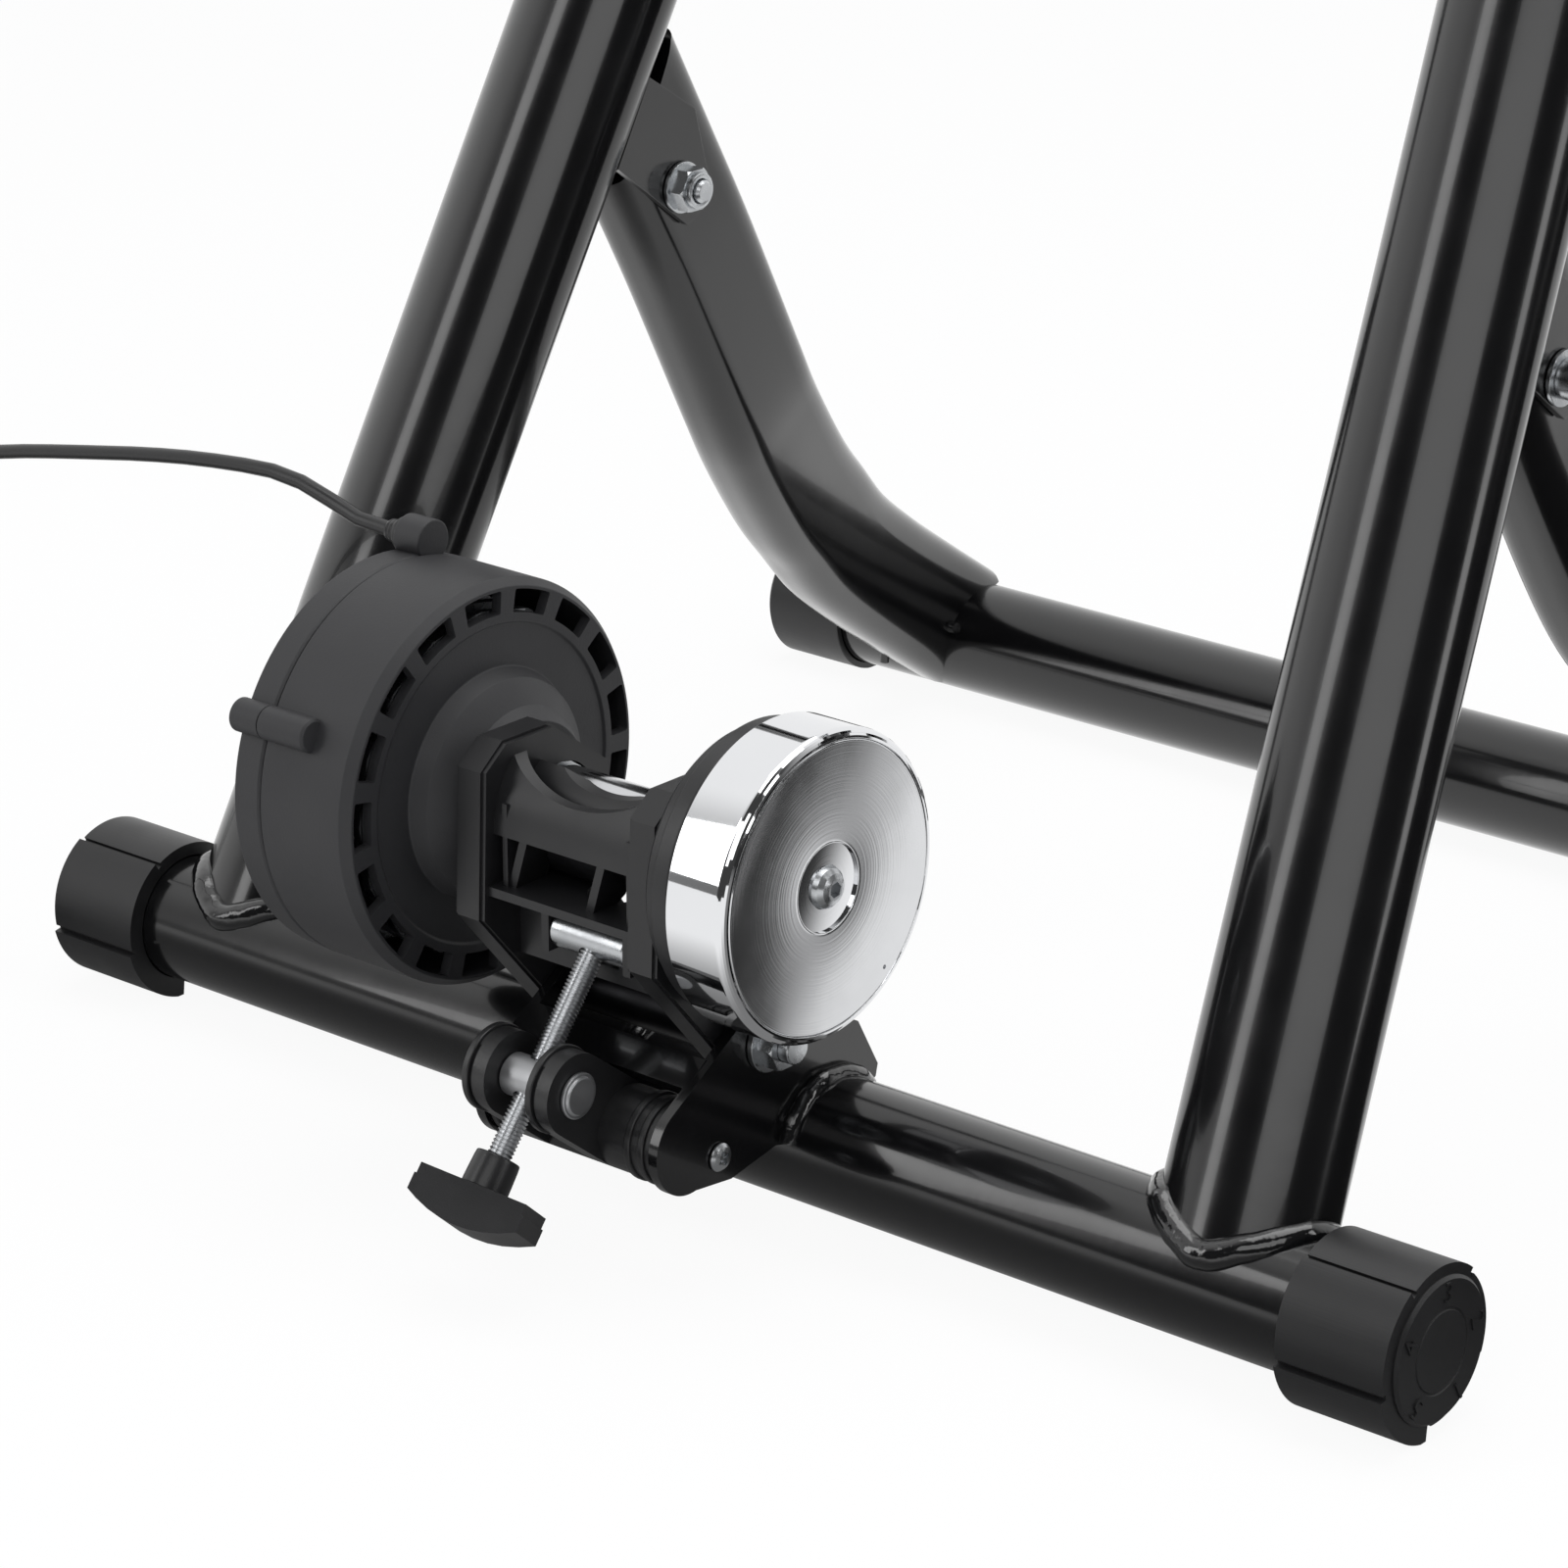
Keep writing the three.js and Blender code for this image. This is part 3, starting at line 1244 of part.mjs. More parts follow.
function carrierSolid() {
  const to = movingRingBack;
  const from = to - carrier.thickness;
  const bore = carrierStub.radius + runningGap;
  const hubFrom = from - carrier.hubLength;
  const corners = [
    [hubFrom, bore],
    [hubFrom, bore + carrier.hubWall],
    [from, bore + carrier.hubWall],
    [from, carrierRadius],
    [to, carrierRadius],
    [to, bore],
    [hubFrom, bore],
  ];
  return turned(corners);
}

addMesh(unit, "drum_housing", drumHousing(), drumPlastic());
addMesh(unit, "drum_cover", drumCover(), drumPlastic());
drumBoss.degs.forEach((deg, index) => {
  addMesh(unit, `drum_screw_${index + 1}`, drumScrew(deg), blackSteel());
});
addMesh(unit, "cable_gland", glandSolid(), moulding());
addMesh(unit, "fixed_magnet_ring", magnetRing(fixedRingBack, -1), zinc());
addMesh(unit, "rotor_disc", rotorSolid(), polishedSteel());
addMesh(unit, "magnet_carrier", joined(carrierSolid(), magnetRing(movingRingBack, 1)), zinc());

// Tubes that follow a line of points: cables, coils and springs

// One unbroken tube through the points, closed at both ends.
function sweptTube(points, radius, count) {
  const vertices = [];
  const faces = [];
  const up = new THREE.Vector3(0, 0, 1);
  points.forEach((point, index) => {
    const before = points[Math.max(index - 1, 0)];
    const after = points[Math.min(index + 1, points.length - 1)];
    const along = after.clone().sub(before).normalize();
    const across = along.clone().cross(up).normalize();
    const over = across.clone().cross(along);
    for (let corner = 0; corner < count; corner += 1) {
      const angle = (2 * Math.PI * (corner + 0.5)) / count;
      const offset = across.clone().multiplyScalar(Math.cos(angle)).addScaledVector(over, Math.sin(angle));
      vertices.push(point.clone().addScaledVector(offset, radius));
    }
  });
  for (let index = 0; index + 1 < points.length; index += 1) {
    for (let corner = 0; corner < count; corner += 1) {
      const next = (corner + 1) % count;
      const [a, b] = [index * count + corner, index * count + next];
      faces.push(a, b, a + count, b, b + count, a + count);
    }
  }
  const last = (points.length - 1) * count;
  for (let corner = 1; corner + 1 < count; corner += 1) {
    faces.push(0, corner + 1, corner);
    faces.push(last, last + corner, last + corner + 1);
  }
  const geometry = new THREE.BufferGeometry().setFromPoints(vertices);
  geometry.setIndex(faces);
  return solid(geometry);
}

// The least distance between two places of a tube that aren't neighbours, less its diameter.
function leastGap(points, diameter, apart) {
  let least = Infinity;
  for (let i = 0; i < points.length; i += 1) {
    for (let j = i + apart; j < points.length; j += 1) {
      least = Math.min(least, points[i].distanceTo(points[j]));
    }
  }
  return least - diameter;
}

const spring = { radius: 13.5, wire: 1.6, turns: 3, pitch: 2.2, steps: 8, wireSides: 5, from: -107.6 };

function returnSpring() {
  const points = [];
  for (let step = 0; step <= spring.turns * spring.steps; step += 1) {
    const angle = (2 * Math.PI * step) / spring.steps;
    const x = spring.from + (spring.pitch * step) / spring.steps;
    points.push(new THREE.Vector3(x, spring.radius * Math.cos(angle), spring.radius * Math.sin(angle)));
  }
  return sweptTube(points, spring.wire / 2, spring.wireSides);
}

addMesh(unit, "return_spring", returnSpring(), polishedSteel());

// The control cable on the floor's side, in the part's frame: z = 0 is the floor and y = 0 the rear axis

stand.position.z = rearCap.floorDepth;
part.updateMatrixWorld(true);
const cableExit = new THREE.Vector3(gland.to - gap, gland.y, glandZ).applyMatrix4(unit.matrixWorld);
const cableRadius = cable.diameter / 2;
const coilOuter = coil.inner + coil.pitch * coil.turns;
const coilLayer = coil.pitch;

// The coil's centre line starts at its left and runs anticlockwise: in on the floor, up a layer, out again.
function coilPoints() {
  const perTurn = coil.loopSteps;
  const inward = coil.turns * perTurn;
  const climb = perTurn / 2;
  const points = [];
  for (let step = 0; step <= 2 * inward + climb; step += 1) {
    const angle = Math.PI + (2 * Math.PI * step) / perTurn;
    const rise = Math.min(Math.max((step - inward) / climb, 0), 1);
    const turnsIn = Math.min(step, inward) / perTurn;
    const turnsOut = Math.max(step - inward - climb, 0) / perTurn;
    const dip = (Math.min(rise, 1 - rise) * climb) / perTurn;
    const radius = coilOuter - coil.pitch * (turnsIn - turnsOut + dip);
    const z = cableRadius + coilLayer * rise;
    points.push(new THREE.Vector3(coil.x + radius * Math.cos(angle), coil.y + radius * Math.sin(angle), z));
  }
  const [first, last] = [points[0], points[points.length - 1]];
  const lead = new THREE.Vector3(0, cable.diameter, 0);
  return [first.clone().add(lead), ...points, last.clone().add(lead)];
}

// The free stretch: out of the drum to the left, over in a low arch, down and along the floor to the coil.
function cableRoute(end) {
  const lead = cableExit.clone().setX(cableExit.x - 2 * cable.diameter);
  const points = [cableExit, lead, ...cableBends.map(([x, y, z]) => new THREE.Vector3(x, y, z)), end];
  const curve = new THREE.CatmullRomCurve3(points, false, "centripetal");
  return curve.getSpacedPoints(cable.steps);
}

const wound = coilPoints();
const cableEnd = wound[0].clone().add(new THREE.Vector3(0, gap, 0));
const freeRun = cableRoute(cableEnd);
const looseGap = leastGap(wound, cable.diameter, coil.loopSteps / 2);
console.log(`least gap between the coil's turns: ${looseGap.toFixed(2)} mm`);
console.log(`cable length: ${(lengthOf(freeRun) + lengthOf(wound)).toFixed(0)} mm`);

function lengthOf(points) {
  return points.slice(1).reduce((sum, point, index) => sum + point.distanceTo(points[index]), 0);
}

const cord = subGroup(part, "control_cable", 0, 0, 0);
addMesh(cord, "cable_run", sweptTube(freeRun, cableRadius, cable.sides), moulding());
addMesh(cord, "cable_coil", sweptTube(wound, cableRadius, coil.tubeSides), moulding());

// The handlebar lever unit lies beside the coil, its cable snout towards it

const snout = { radius: 2.9, length: 20, bore: 1.2, boreDepth: 8 };
const remote = {
  width: 18,
  length: 36,
  height: 18,
  corner: 4,
  band: 12.7,
  bandWall: 3.2,
  bandHeight: 14,
  slit: 3,
};
const thumb = { disc: 8.64, thickness: 6, length: 30, tip: 4.5, pin: 3 };
const coilEnd = wound[wound.length - 1];
const remotePlace = subGroup(cord, "remote", coilEnd.x, coilEnd.y + gap, 0);

// An upright solid: an outline in the XY plane, raised from one height to another.
function raised(outline, from, to) {
  const depth = to - from;
  const curveSegments = 2 * sides.corner;
  const geometry = new THREE.ExtrudeGeometry(outline, { depth, bevelEnabled: false, curveSegments });
  return solid(geometry).translate(0, 0, from);
}

function remoteBase() {
  const { width, length, height, corner, band, bandWall, bandHeight, slit } = remote;
  const middleY = snout.length + length / 2;
  const box = raised(roundedRectangle(width, length, corner), 0, height).translate(0, middleY, 0);
  const forward = (body) => body.rotate([0, 0, 90]).translate(0, 0, coilEnd.z);
  const snoutBar = forward(bar(snout.radius, 0, snout.length + corner));
  const snoutBore = forward(bar(snout.bore, -overrun, snout.boreDepth, 0, 0, sides.tiny));
  const outer = new THREE.CylinderGeometry(band + bandWall, band + bandWall, bandHeight, sides.tube);
  const inner = new THREE.CylinderGeometry(band, band, 2 * bandHeight, sides.tube);
  const bandX = width / 2 + band + bandWall / 2;
  const hoop = solid(outer).subtract(solid(inner)).rotate([90, 0, 0]);
  const loop = hoop.translate(bandX, middleY, bandHeight / 2);
  const slitX = [bandX + band - overrun, bandX + 2 * band];
  const cut = block(slitX, [middleY, middleY + slit], [-overrun, 2 * bandHeight]);
  const pin = bar(thumb.pin + gap, -width, -width / 2 + corner, middleY, height / 2);
  return cutBy(joined(box, snoutBar, loop), snoutBore, cut, pin);
}

function remoteLever() {
  const face = -gap;
  const outline = linkOutline([0, 0, thumb.disc], [thumb.length, 0, thumb.tip]);
  const paddle = plate(outline, face - thumb.thickness, face);
  const pin = bar(thumb.pin, face - overrun, remote.corner - gap);
  return joined(paddle, pin);
}

addMesh(remotePlace, "remote_base", remoteBase(), moulding());
const thumbY = snout.length + remote.length / 2;
const leverAt = subGroup(remotePlace, "remote_lever_place", -remote.width / 2, thumbY, remote.height / 2);
addMesh(leverAt, "remote_lever", remoteLever(), moulding());

// The part's origin: on the floor, at the middle of everything but the cable and its lever unit
part.updateMatrixWorld(true);
const extent = new THREE.Box3().setFromObject(stand, true);
const middle = extent.getCenter(new THREE.Vector3());
for (const group of [stand, cord]) {
  group.position.x -= middle.x;
  group.position.y -= middle.y;
  group.position.z -= extent.min.z;
}

export default part;
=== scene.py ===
"""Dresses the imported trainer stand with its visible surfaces, on a pale floor in soft studio light."""

import logging
import math
from dataclasses import dataclass
from enum import Enum
from typing import Optional, Sequence

import bmesh
import bpy
from mathutils import Matrix, Vector


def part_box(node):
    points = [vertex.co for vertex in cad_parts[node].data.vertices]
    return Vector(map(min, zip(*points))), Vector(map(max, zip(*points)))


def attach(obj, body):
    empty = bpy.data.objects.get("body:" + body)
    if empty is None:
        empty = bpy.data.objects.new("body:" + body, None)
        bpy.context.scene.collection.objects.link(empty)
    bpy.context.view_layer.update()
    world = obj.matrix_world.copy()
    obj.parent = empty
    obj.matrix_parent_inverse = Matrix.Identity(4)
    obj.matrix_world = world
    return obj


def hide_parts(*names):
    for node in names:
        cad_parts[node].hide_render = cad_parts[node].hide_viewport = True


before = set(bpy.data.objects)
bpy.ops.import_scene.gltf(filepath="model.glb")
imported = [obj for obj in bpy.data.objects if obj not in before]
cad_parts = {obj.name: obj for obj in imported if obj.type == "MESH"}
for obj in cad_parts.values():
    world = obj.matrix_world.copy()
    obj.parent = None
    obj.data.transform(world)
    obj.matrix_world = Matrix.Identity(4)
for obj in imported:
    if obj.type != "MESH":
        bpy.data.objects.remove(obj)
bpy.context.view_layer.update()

LOG = logging.getLogger("trainer_stand")
MM = 0.001
Point2 = tuple[float, float]
Point3 = tuple[float, float, float]
Tree = bpy.types.NodeTree
Socket = bpy.types.NodeSocket


@dataclass(frozen=True)
class Layout:
    """The sizes and places that several sub-assemblies share, in mm in the stand's own frame."""

    tube: float = 21.6  # the cross tubes' radius
    tube_wall: float = 2.0
    wheelbase: float = 408.5  # from the rear tube to the front tube
    rear_height: float = 28.0  # the rear tube's axis above the floor
    front_height: float = 24.0
    foot_x: float = 205.2  # where an upright's line meets the rear tube's axis
    top: Point3 = (175.1, 185.5, 379.0)  # an upright's line at the clamps' height
    oval: Point2 = (59.0, 42.0)  # an upright's width and depth
    fold: Point2 = (168.0, 239.0)  # the fold bolts
    leg_x: float = 178.5
    tilt: Point2 = (-29.0, 43.0)  # the cradle's pivot bolt
    roller: Point2 = (-38.0, 104.0)
    gland: Point2 = (14.0, 68.5)  # the cable's exit, seen from the roller's axis
    trunnion: Point2 = (-88.0, 36.8)
    barrel: Point2 = (-57.9, 74.0)
    rod_x: float = 5.0  # the adjuster's plane

    @property
    def floor_lean(self) -> float:
        """Returns: how far the stand leans on its unlike caps, in radians."""
        return math.asin((self.rear_height - self.front_height) / self.wheelbase)

    @property
    def upright_lean(self) -> float:
        """Returns: how far an upright leans forward, in degrees."""
        return math.degrees(math.atan2(self.top[1], self.top[2]))

    @property
    def fold_gap(self) -> float:
        """Returns: the distance from the fold bolts' axis to the front faces of the uprights."""
        ahead = self.fold[0] - self.fold[1] * self.top[1] / self.top[2]
        return ahead * math.cos(math.radians(self.upright_lean)) - self.oval[1] / 2


LAYOUT = Layout()
LEAN = LAYOUT.floor_lean


def stand_matrix() -> Matrix:
    """Returns: the stand's own frame in millimetres, seen from the part's frame in metres."""
    low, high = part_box("rear_tube")
    return Matrix.Translation((low + high) / 2) @ Matrix.Rotation(-LEAN, 4, "X") @ Matrix.Scale(MM, 4)


STAND = stand_matrix()
FLOOR = Matrix.Translation((0.0, STAND.translation.y, 0.0)) @ Matrix.Scale(MM, 4)


class Body(Enum):
    """The moving bodies that pieces ride on."""

    STAND = "stand"
    LEFT_CAP = "left_levelling_cap"
    RIGHT_CAP = "right_levelling_cap"
    FRONT = "front_frame"
    CRADLE = "cradle"
    ROTOR = "rotor"
    TRUNNION = "trunnion"
    BARREL = "barrel_nut"
    SCREW = "adjuster_screw"
    LEFT_CUP = "left_cup"
    LEFT_SPINDLE = "left_spindle"
    LOCK_RING = "left_lock_ring"
    LEVER = "quick_release_lever"
    RIGHT_CUP = "right_cup"
    REMOTE_LEVER = "remote_lever"


class Side(Enum):
    """The stand's two sides, as the sign of X."""

    LEFT = -1
    RIGHT = 1

    @property
    def label(self) -> str:
        """Returns: the side's name in the names of pieces."""
        return self.name.lower()


# Shapes


@dataclass
class Shape:
    """Corners in millimetres, and the faces between them."""

    points: list[Vector]
    faces: list[tuple[int, ...]]

    def placed(self, matrix: Matrix) -> "Shape":
        """Args: matrix: where the shape goes. Returns: the shape there."""
        moved = [matrix @ p for p in self.points]
        if matrix.determinant() < 0:
            return Shape(moved, [tuple(reversed(f)) for f in self.faces])
        return Shape(moved, list(self.faces))

    def moved(self, x: float = 0.0, y: float = 0.0, z: float = 0.0) -> "Shape":
        """Args: x, y, z: the way it moves, in mm. Returns: the moved shape."""
        return self.placed(Matrix.Translation((x, y, z)))

    def turned(self, degrees: float, axis: str = "X") -> "Shape":
        """Args: degrees: the angle; axis: X, Y or Z. Returns: the turned shape."""
        return self.placed(Matrix.Rotation(math.radians(degrees), 4, axis))

    def upright(self) -> "Shape":
        """Returns: the shape with its X axis turned up to Z."""
        return self.turned(-90, "Y")

    def mirrored(self, way: int) -> "Shape":
        """Args: way: 1, or -1 to mirror it in X. Returns: the shape that way round."""
        return self.placed(Matrix.Scale(way, 4, (1, 0, 0)))

    def on(self, side: Side) -> "Shape":
        """Args: side: the side it is for. Returns: the shape, mirrored for the left."""
        return self if side is Side.RIGHT else self.mirrored(side.value)

    def __add__(self, other: "Shape") -> "Shape":
        """Args: other: a shape that lies beside this one. Returns: both as one."""
        shift = len(self.points)
        faces = [tuple(i + shift for i in f) for f in other.faces]
        return Shape(self.points + other.points, self.faces + faces)


def full_turn(count: int) -> list[float]:
    """Args: count: how many. Returns: evenly spaced angles round a full turn, in radians."""
    return [2 * math.pi * k / count for k in range(count)]


def rounded(corners: Sequence[Point2], radius: float, closed: bool = False, steps: int = 3) -> list[Point2]:
    """Rounds the corners of a line in a plane.

    Args:
        corners: the line's corners.
        radius: the size of the rounding, in mm.
        closed: whether the last corner joins the first.
        steps: how many stretches make each rounding.

    Returns:
        The rounded line.
    """
    count = len(corners)
    made: list[Point2] = []
    for i, corner in enumerate(corners):
        if not closed and i in (0, count - 1):
            made.append(corner)
            continue
        here = Vector(corner)
        before = Vector(corners[i - 1]) - here
        after = Vector(corners[(i + 1) % count]) - here
        if before.length < 1e-6 or after.length < 1e-6:
            continue
        turn = math.pi - before.angle(after)
        if turn < 0.2:
            made.append(corner)
            continue
        cut = min(radius * math.tan(turn / 2), 0.45 * before.length, 0.45 * after.length)
        start = here + before.normalized() * cut
        end = here + after.normalized() * cut
        for step in range(steps + 1):
            t = step / steps
            p = start * (1 - t) ** 2 + here * 2 * t * (1 - t) + end * t * t
            made.append((p.x, p.y))
    return made


def lathe(profile: Sequence[Point2], edge: float = 0.4, steps: int = 96, closed: bool = False) -> Shape:
    """A solid turned about X.

    Args:
        profile: its outline as (x, radius), from axis to axis, or closed on itself.
        edge: the rounding of its edges, in mm.
        steps: how many flats make a turn.
        closed: whether the outline closes on itself.

    Returns:
        The solid.
    """
    line = rounded(profile, edge, closed) if edge else list(profile)
    points: list[Vector] = []
    rings: list[list[int]] = []
    for x, r in line:
        if r < 1e-6:
            rings.append([len(points)])
            points.append(Vector((x, 0, 0)))
            continue
        rings.append(list(range(len(points), len(points) + steps)))
        points += [Vector((x, r * math.cos(a), r * math.sin(a))) for a in full_turn(steps)]
    pairs = list(zip(rings, rings[1:])) + ([(rings[-1], rings[0])] if closed else [])
    faces: list[tuple[int, ...]] = []
    for one, two in pairs:
        for k in range(steps):
            n = (k + 1) % steps
            corners = (one[k % len(one)], two[k % len(two)], two[n % len(two)], one[n % len(one)])
            face = tuple(dict.fromkeys(corners))
            if len(face) > 2:
                faces.append(face)
    return Shape(points, faces)


def rod(radius: float, x0: float, x1: float, edge: float = 0.4, steps: int = 48) -> Shape:
    """Args: radius, x0, x1: its size in mm; edge: rounding; steps: flats. Returns: a round bar along X."""
    return lathe([(x0, 0), (x0, radius), (x1, radius), (x1, 0)], edge, steps)


def collar(inner: float, outer: float, x0: float, x1: float, edge: float = 0.4, steps: int = 64) -> Shape:
    """Args: inner, outer, x0, x1: its size in mm; edge: rounding; steps: flats. Returns: a ring about X."""
    return lathe([(x0, inner), (x0, outer), (x1, outer), (x1, inner)], edge, steps, closed=True)


def prism(low: list[Vector], high: list[Vector]) -> Shape:
    """Args: low, high: two outlines with as many corners. Returns: the solid between them."""
    n = len(low)
    faces = [(k, (k + 1) % n, n + (k + 1) % n, n + k) for k in range(n)]
    return Shape([*low, *high], faces + [tuple(reversed(range(n))), tuple(range(n, 2 * n))])


def extruded(outline: Sequence[Point2], x0: float, x1: float) -> Shape:
    """Args: outline: corners as (y, z); x0, x1: its two faces. Returns: a plate across X."""
    return prism(*([Vector((x, y, z)) for y, z in outline] for x in (x0, x1)))


def plate(outline: Sequence[Point2], low: float, high: float) -> Shape:
    """Args: outline: corners as (x, z); low, high: its two faces. Returns: a plate across Y."""
    return prism(*([Vector((x, y, z)) for x, z in outline] for y in (low, high)))


def slab(outline: Sequence[Point2], low: float, high: float) -> Shape:
    """Args: outline: corners as (x, y); low, high: its two faces. Returns: a plate across Z."""
    return prism(*([Vector((x, y, z)) for x, y in outline] for z in (low, high)))


def block(low: Point3, high: Point3) -> Shape:
    """Args: low, high: opposite corners. Returns: a box."""
    (x0, y0, z0), (x1, y1, z1) = low, high
    return extruded([(y0, z0), (y1, z0), (y1, z1), (y0, z1)], x0, x1)


def arc(centre: Point2, radius: float, start: float, end: float, steps: int = 24) -> list[Point2]:
    """Args: centre, radius: the circle; start, end: degrees; steps: stretches.
    Returns: points along the arc.
    """
    turns = [math.radians(start + (end - start) * k / steps) for k in range(steps + 1)]
    return [(centre[0] + radius * math.cos(a), centre[1] + radius * math.sin(a)) for a in turns]


def link(one: Point3, two: Point3, steps: int = 24) -> list[Point2]:
    """Args: one, two: circles as (y, z, radius). Returns: the outline round both, with straight sides."""
    along = math.atan2(two[1] - one[1], two[0] - one[0])
    spread = math.acos((one[2] - two[2]) / math.hypot(two[0] - one[0], two[1] - one[1]))
    a, b = math.degrees(along + spread), math.degrees(along - spread)
    return arc(one[:2], one[2], a, b + 360, steps) + arc(two[:2], two[2], b, a, steps)


def catmull(points: Sequence[Vector], count: int) -> list[Vector]:
    """Args: points: places on a curve; count: stretches wanted.
    Returns: evenly spaced places on a smooth curve.
    """
    ends = [points[0] * 2 - points[1], *points, points[-1] * 2 - points[-2]]
    dense: list[Vector] = []
    fine = 24
    for p0, p1, p2, p3 in zip(ends, ends[1:], ends[2:], ends[3:]):
        t1 = (p1 - p0).length ** 0.5
        t2 = t1 + (p2 - p1).length ** 0.5
        t3 = t2 + (p3 - p2).length ** 0.5
        for k in range(fine):
            t = t1 + (t2 - t1) * k / fine
            a1 = p0.lerp(p1, t / t1)
            a2 = p1.lerp(p2, (t - t1) / (t2 - t1))
            a3 = p2.lerp(p3, (t - t2) / (t3 - t2))
            b1 = a1.lerp(a2, t / t2)
            b2 = a2.lerp(a3, (t - t1) / (t3 - t1))
            dense.append(b1.lerp(b2, (t - t1) / (t2 - t1)))
    dense.append(points[-1].copy())
    lengths = [0.0]
    for a, b in zip(dense, dense[1:]):
        lengths.append(lengths[-1] + (b - a).length)
    made: list[Vector] = []
    i = 0
    for k in range(count + 1):
        want = lengths[-1] * k / count
        while i < len(dense) - 2 and lengths[i + 1] < want:
            i += 1
        share = (want - lengths[i]) / max(lengths[i + 1] - lengths[i], 1e-9)
        made.append(dense[i].lerp(dense[i + 1], min(max(share, 0), 1)))
    return made


def swept(path: Sequence[Vector], section: Sequence[Point2], first: Vector, closed: bool = False) -> Shape:
    """A section carried along a path without twisting.

    Args:
        path: the places that it follows.
        section: its outline, as places across the path.
        first: the direction of the outline's first axis at the start.
        closed: whether the path closes on itself.

    Returns:
        The solid.
    """
    n, m = len(path), len(section)
    across = first.normalized()
    points: list[Vector] = []
    for i, p in enumerate(path):
        if closed:
            along = (path[(i + 1) % n] - path[i - 1]).normalized()
        else:
            along = (path[min(i + 1, n - 1)] - path[max(i - 1, 0)]).normalized()
        across = (across - along * across.dot(along)).normalized()
        over = along.cross(across)
        points += [p + across * u + over * v for u, v in section]
    faces: list[tuple[int, ...]] = []
    for i in range(n if closed else n - 1):
        j = (i + 1) % n
        faces += [(i * m + k, i * m + (k + 1) % m, j * m + (k + 1) % m, j * m + k) for k in range(m)]
    if not closed:
        faces += [tuple(reversed(range(m))), tuple(range((n - 1) * m, n * m))]
    return Shape(points, faces)


def linked(name: str, data: bpy.types.ID) -> bpy.types.Object:
    """Args: name: its name; data: what it shows. Returns: a new object in the scene."""
    obj = bpy.data.objects.new(name, data)
    bpy.context.scene.collection.objects.link(obj)
    return obj


def read_shape(mesh: bpy.types.Mesh) -> Shape:
    """Args: mesh: what to read. Returns: its shape."""
    return Shape([v.co.copy() for v in mesh.vertices], [tuple(p.vertices) for p in mesh.polygons])


def temporary(shape: Shape, name: str = "shape") -> bpy.types.Object:
    """Args: shape: what it holds; name: its name.
    Returns: an object with its doubles merged and faces outwards.
    """
    mesh = bpy.data.meshes.new(name)
    mesh.from_pydata([tuple(p) for p in shape.points], [], shape.faces)
    work = bmesh.new()
    work.from_mesh(mesh)
    bmesh.ops.remove_doubles(work, verts=work.verts, dist=1e-5)
    bmesh.ops.recalc_face_normals(work, faces=work.faces)
    work.to_mesh(mesh)
    work.free()
    return linked(name, mesh)


def settled(obj: bpy.types.Object) -> bpy.types.Mesh:
    """Args: obj: an object with modifiers.
    Returns: its finished mesh; the object is left without modifiers.
    """
    graph = bpy.context.evaluated_depsgraph_get()
    mesh = bpy.data.meshes.new_from_object(
        obj.evaluated_get(graph), preserve_all_data_layers=True, depsgraph=graph
    )
    obj.modifiers.clear()
    return mesh


def dropped(*objects: bpy.types.Object) -> None:
    """Args: objects: helpers to delete, with their meshes."""
    for obj in objects:
        mesh = obj.data
        bpy.data.objects.remove(obj)
        if mesh is not None and mesh.users == 0:
            bpy.data.meshes.remove(mesh)


class Cut(Enum):
    """How one solid changes another."""

    AWAY = "DIFFERENCE"
    JOIN = "UNION"
    KEEP = "INTERSECT"


def carved(body: Shape, *steps: tuple[Cut, Shape]) -> Shape:
    """Args: body: the solid; steps: what is joined or cut, in turn. Returns: the resulting solid."""
    base = temporary(body)
    tools = []
    for how, shape in steps:
        tool = temporary(shape, "tool")
        tools.append(tool)
        change = base.modifiers.new("carve", "BOOLEAN")
        change.operation = how.value
        change.solver = "EXACT"
        change.object = tool
    mesh = settled(base)
    made = read_shape(mesh)
    dropped(base, *tools)
    bpy.data.meshes.remove(mesh)
    return made


# Node trees


def add_node(
    tree: Tree, kind: str, inputs: Optional[dict] = None, **settings: object
) -> bpy.types.Node:
    """Adds a node.

    Args:
        tree: the tree that gets it.
        kind: the node's type.
        inputs: values or sockets, by input name or number.
        settings: the node's own settings.

    Returns:
        The node.
    """
    node = tree.nodes.new(kind)
    for name, value in settings.items():
        setattr(node, name, value)
    for key, value in (inputs or {}).items():
        socket = node.inputs[key]
        if isinstance(value, Socket):
            tree.links.new(value, socket)
        else:
            socket.default_value = value
    return node


def calc(tree: Tree, operation: str, *values: object) -> Socket:
    """Args: tree: the tree; operation: of a math node; values: numbers or sockets. Returns: the result."""
    return add_node(tree, "ShaderNodeMath", dict(enumerate(values)), operation=operation).outputs[0]


def calc3(tree: Tree, operation: str, *values: object) -> bpy.types.Node:
    """Args: tree: the tree; operation: of a vector math node; values: its inputs. Returns: the node."""
    return add_node(tree, "ShaderNodeVectorMath", dict(enumerate(values)), operation=operation)


def ramp(
    tree: Tree, value: Socket, given: Point2, wanted: Point2, smooth: bool = True
) -> Socket:
    """Args: tree, value: what changes; given, wanted: ranges from and to; smooth: or straight.
    Returns: the result.
    """
    inputs = {
        "Value": value,
        "From Min": given[0],
        "From Max": given[1],
        "To Min": wanted[0],
        "To Max": wanted[1],
    }
    kind = "SMOOTHSTEP" if smooth else "LINEAR"
    return add_node(tree, "ShaderNodeMapRange", inputs, interpolation_type=kind).outputs["Result"]


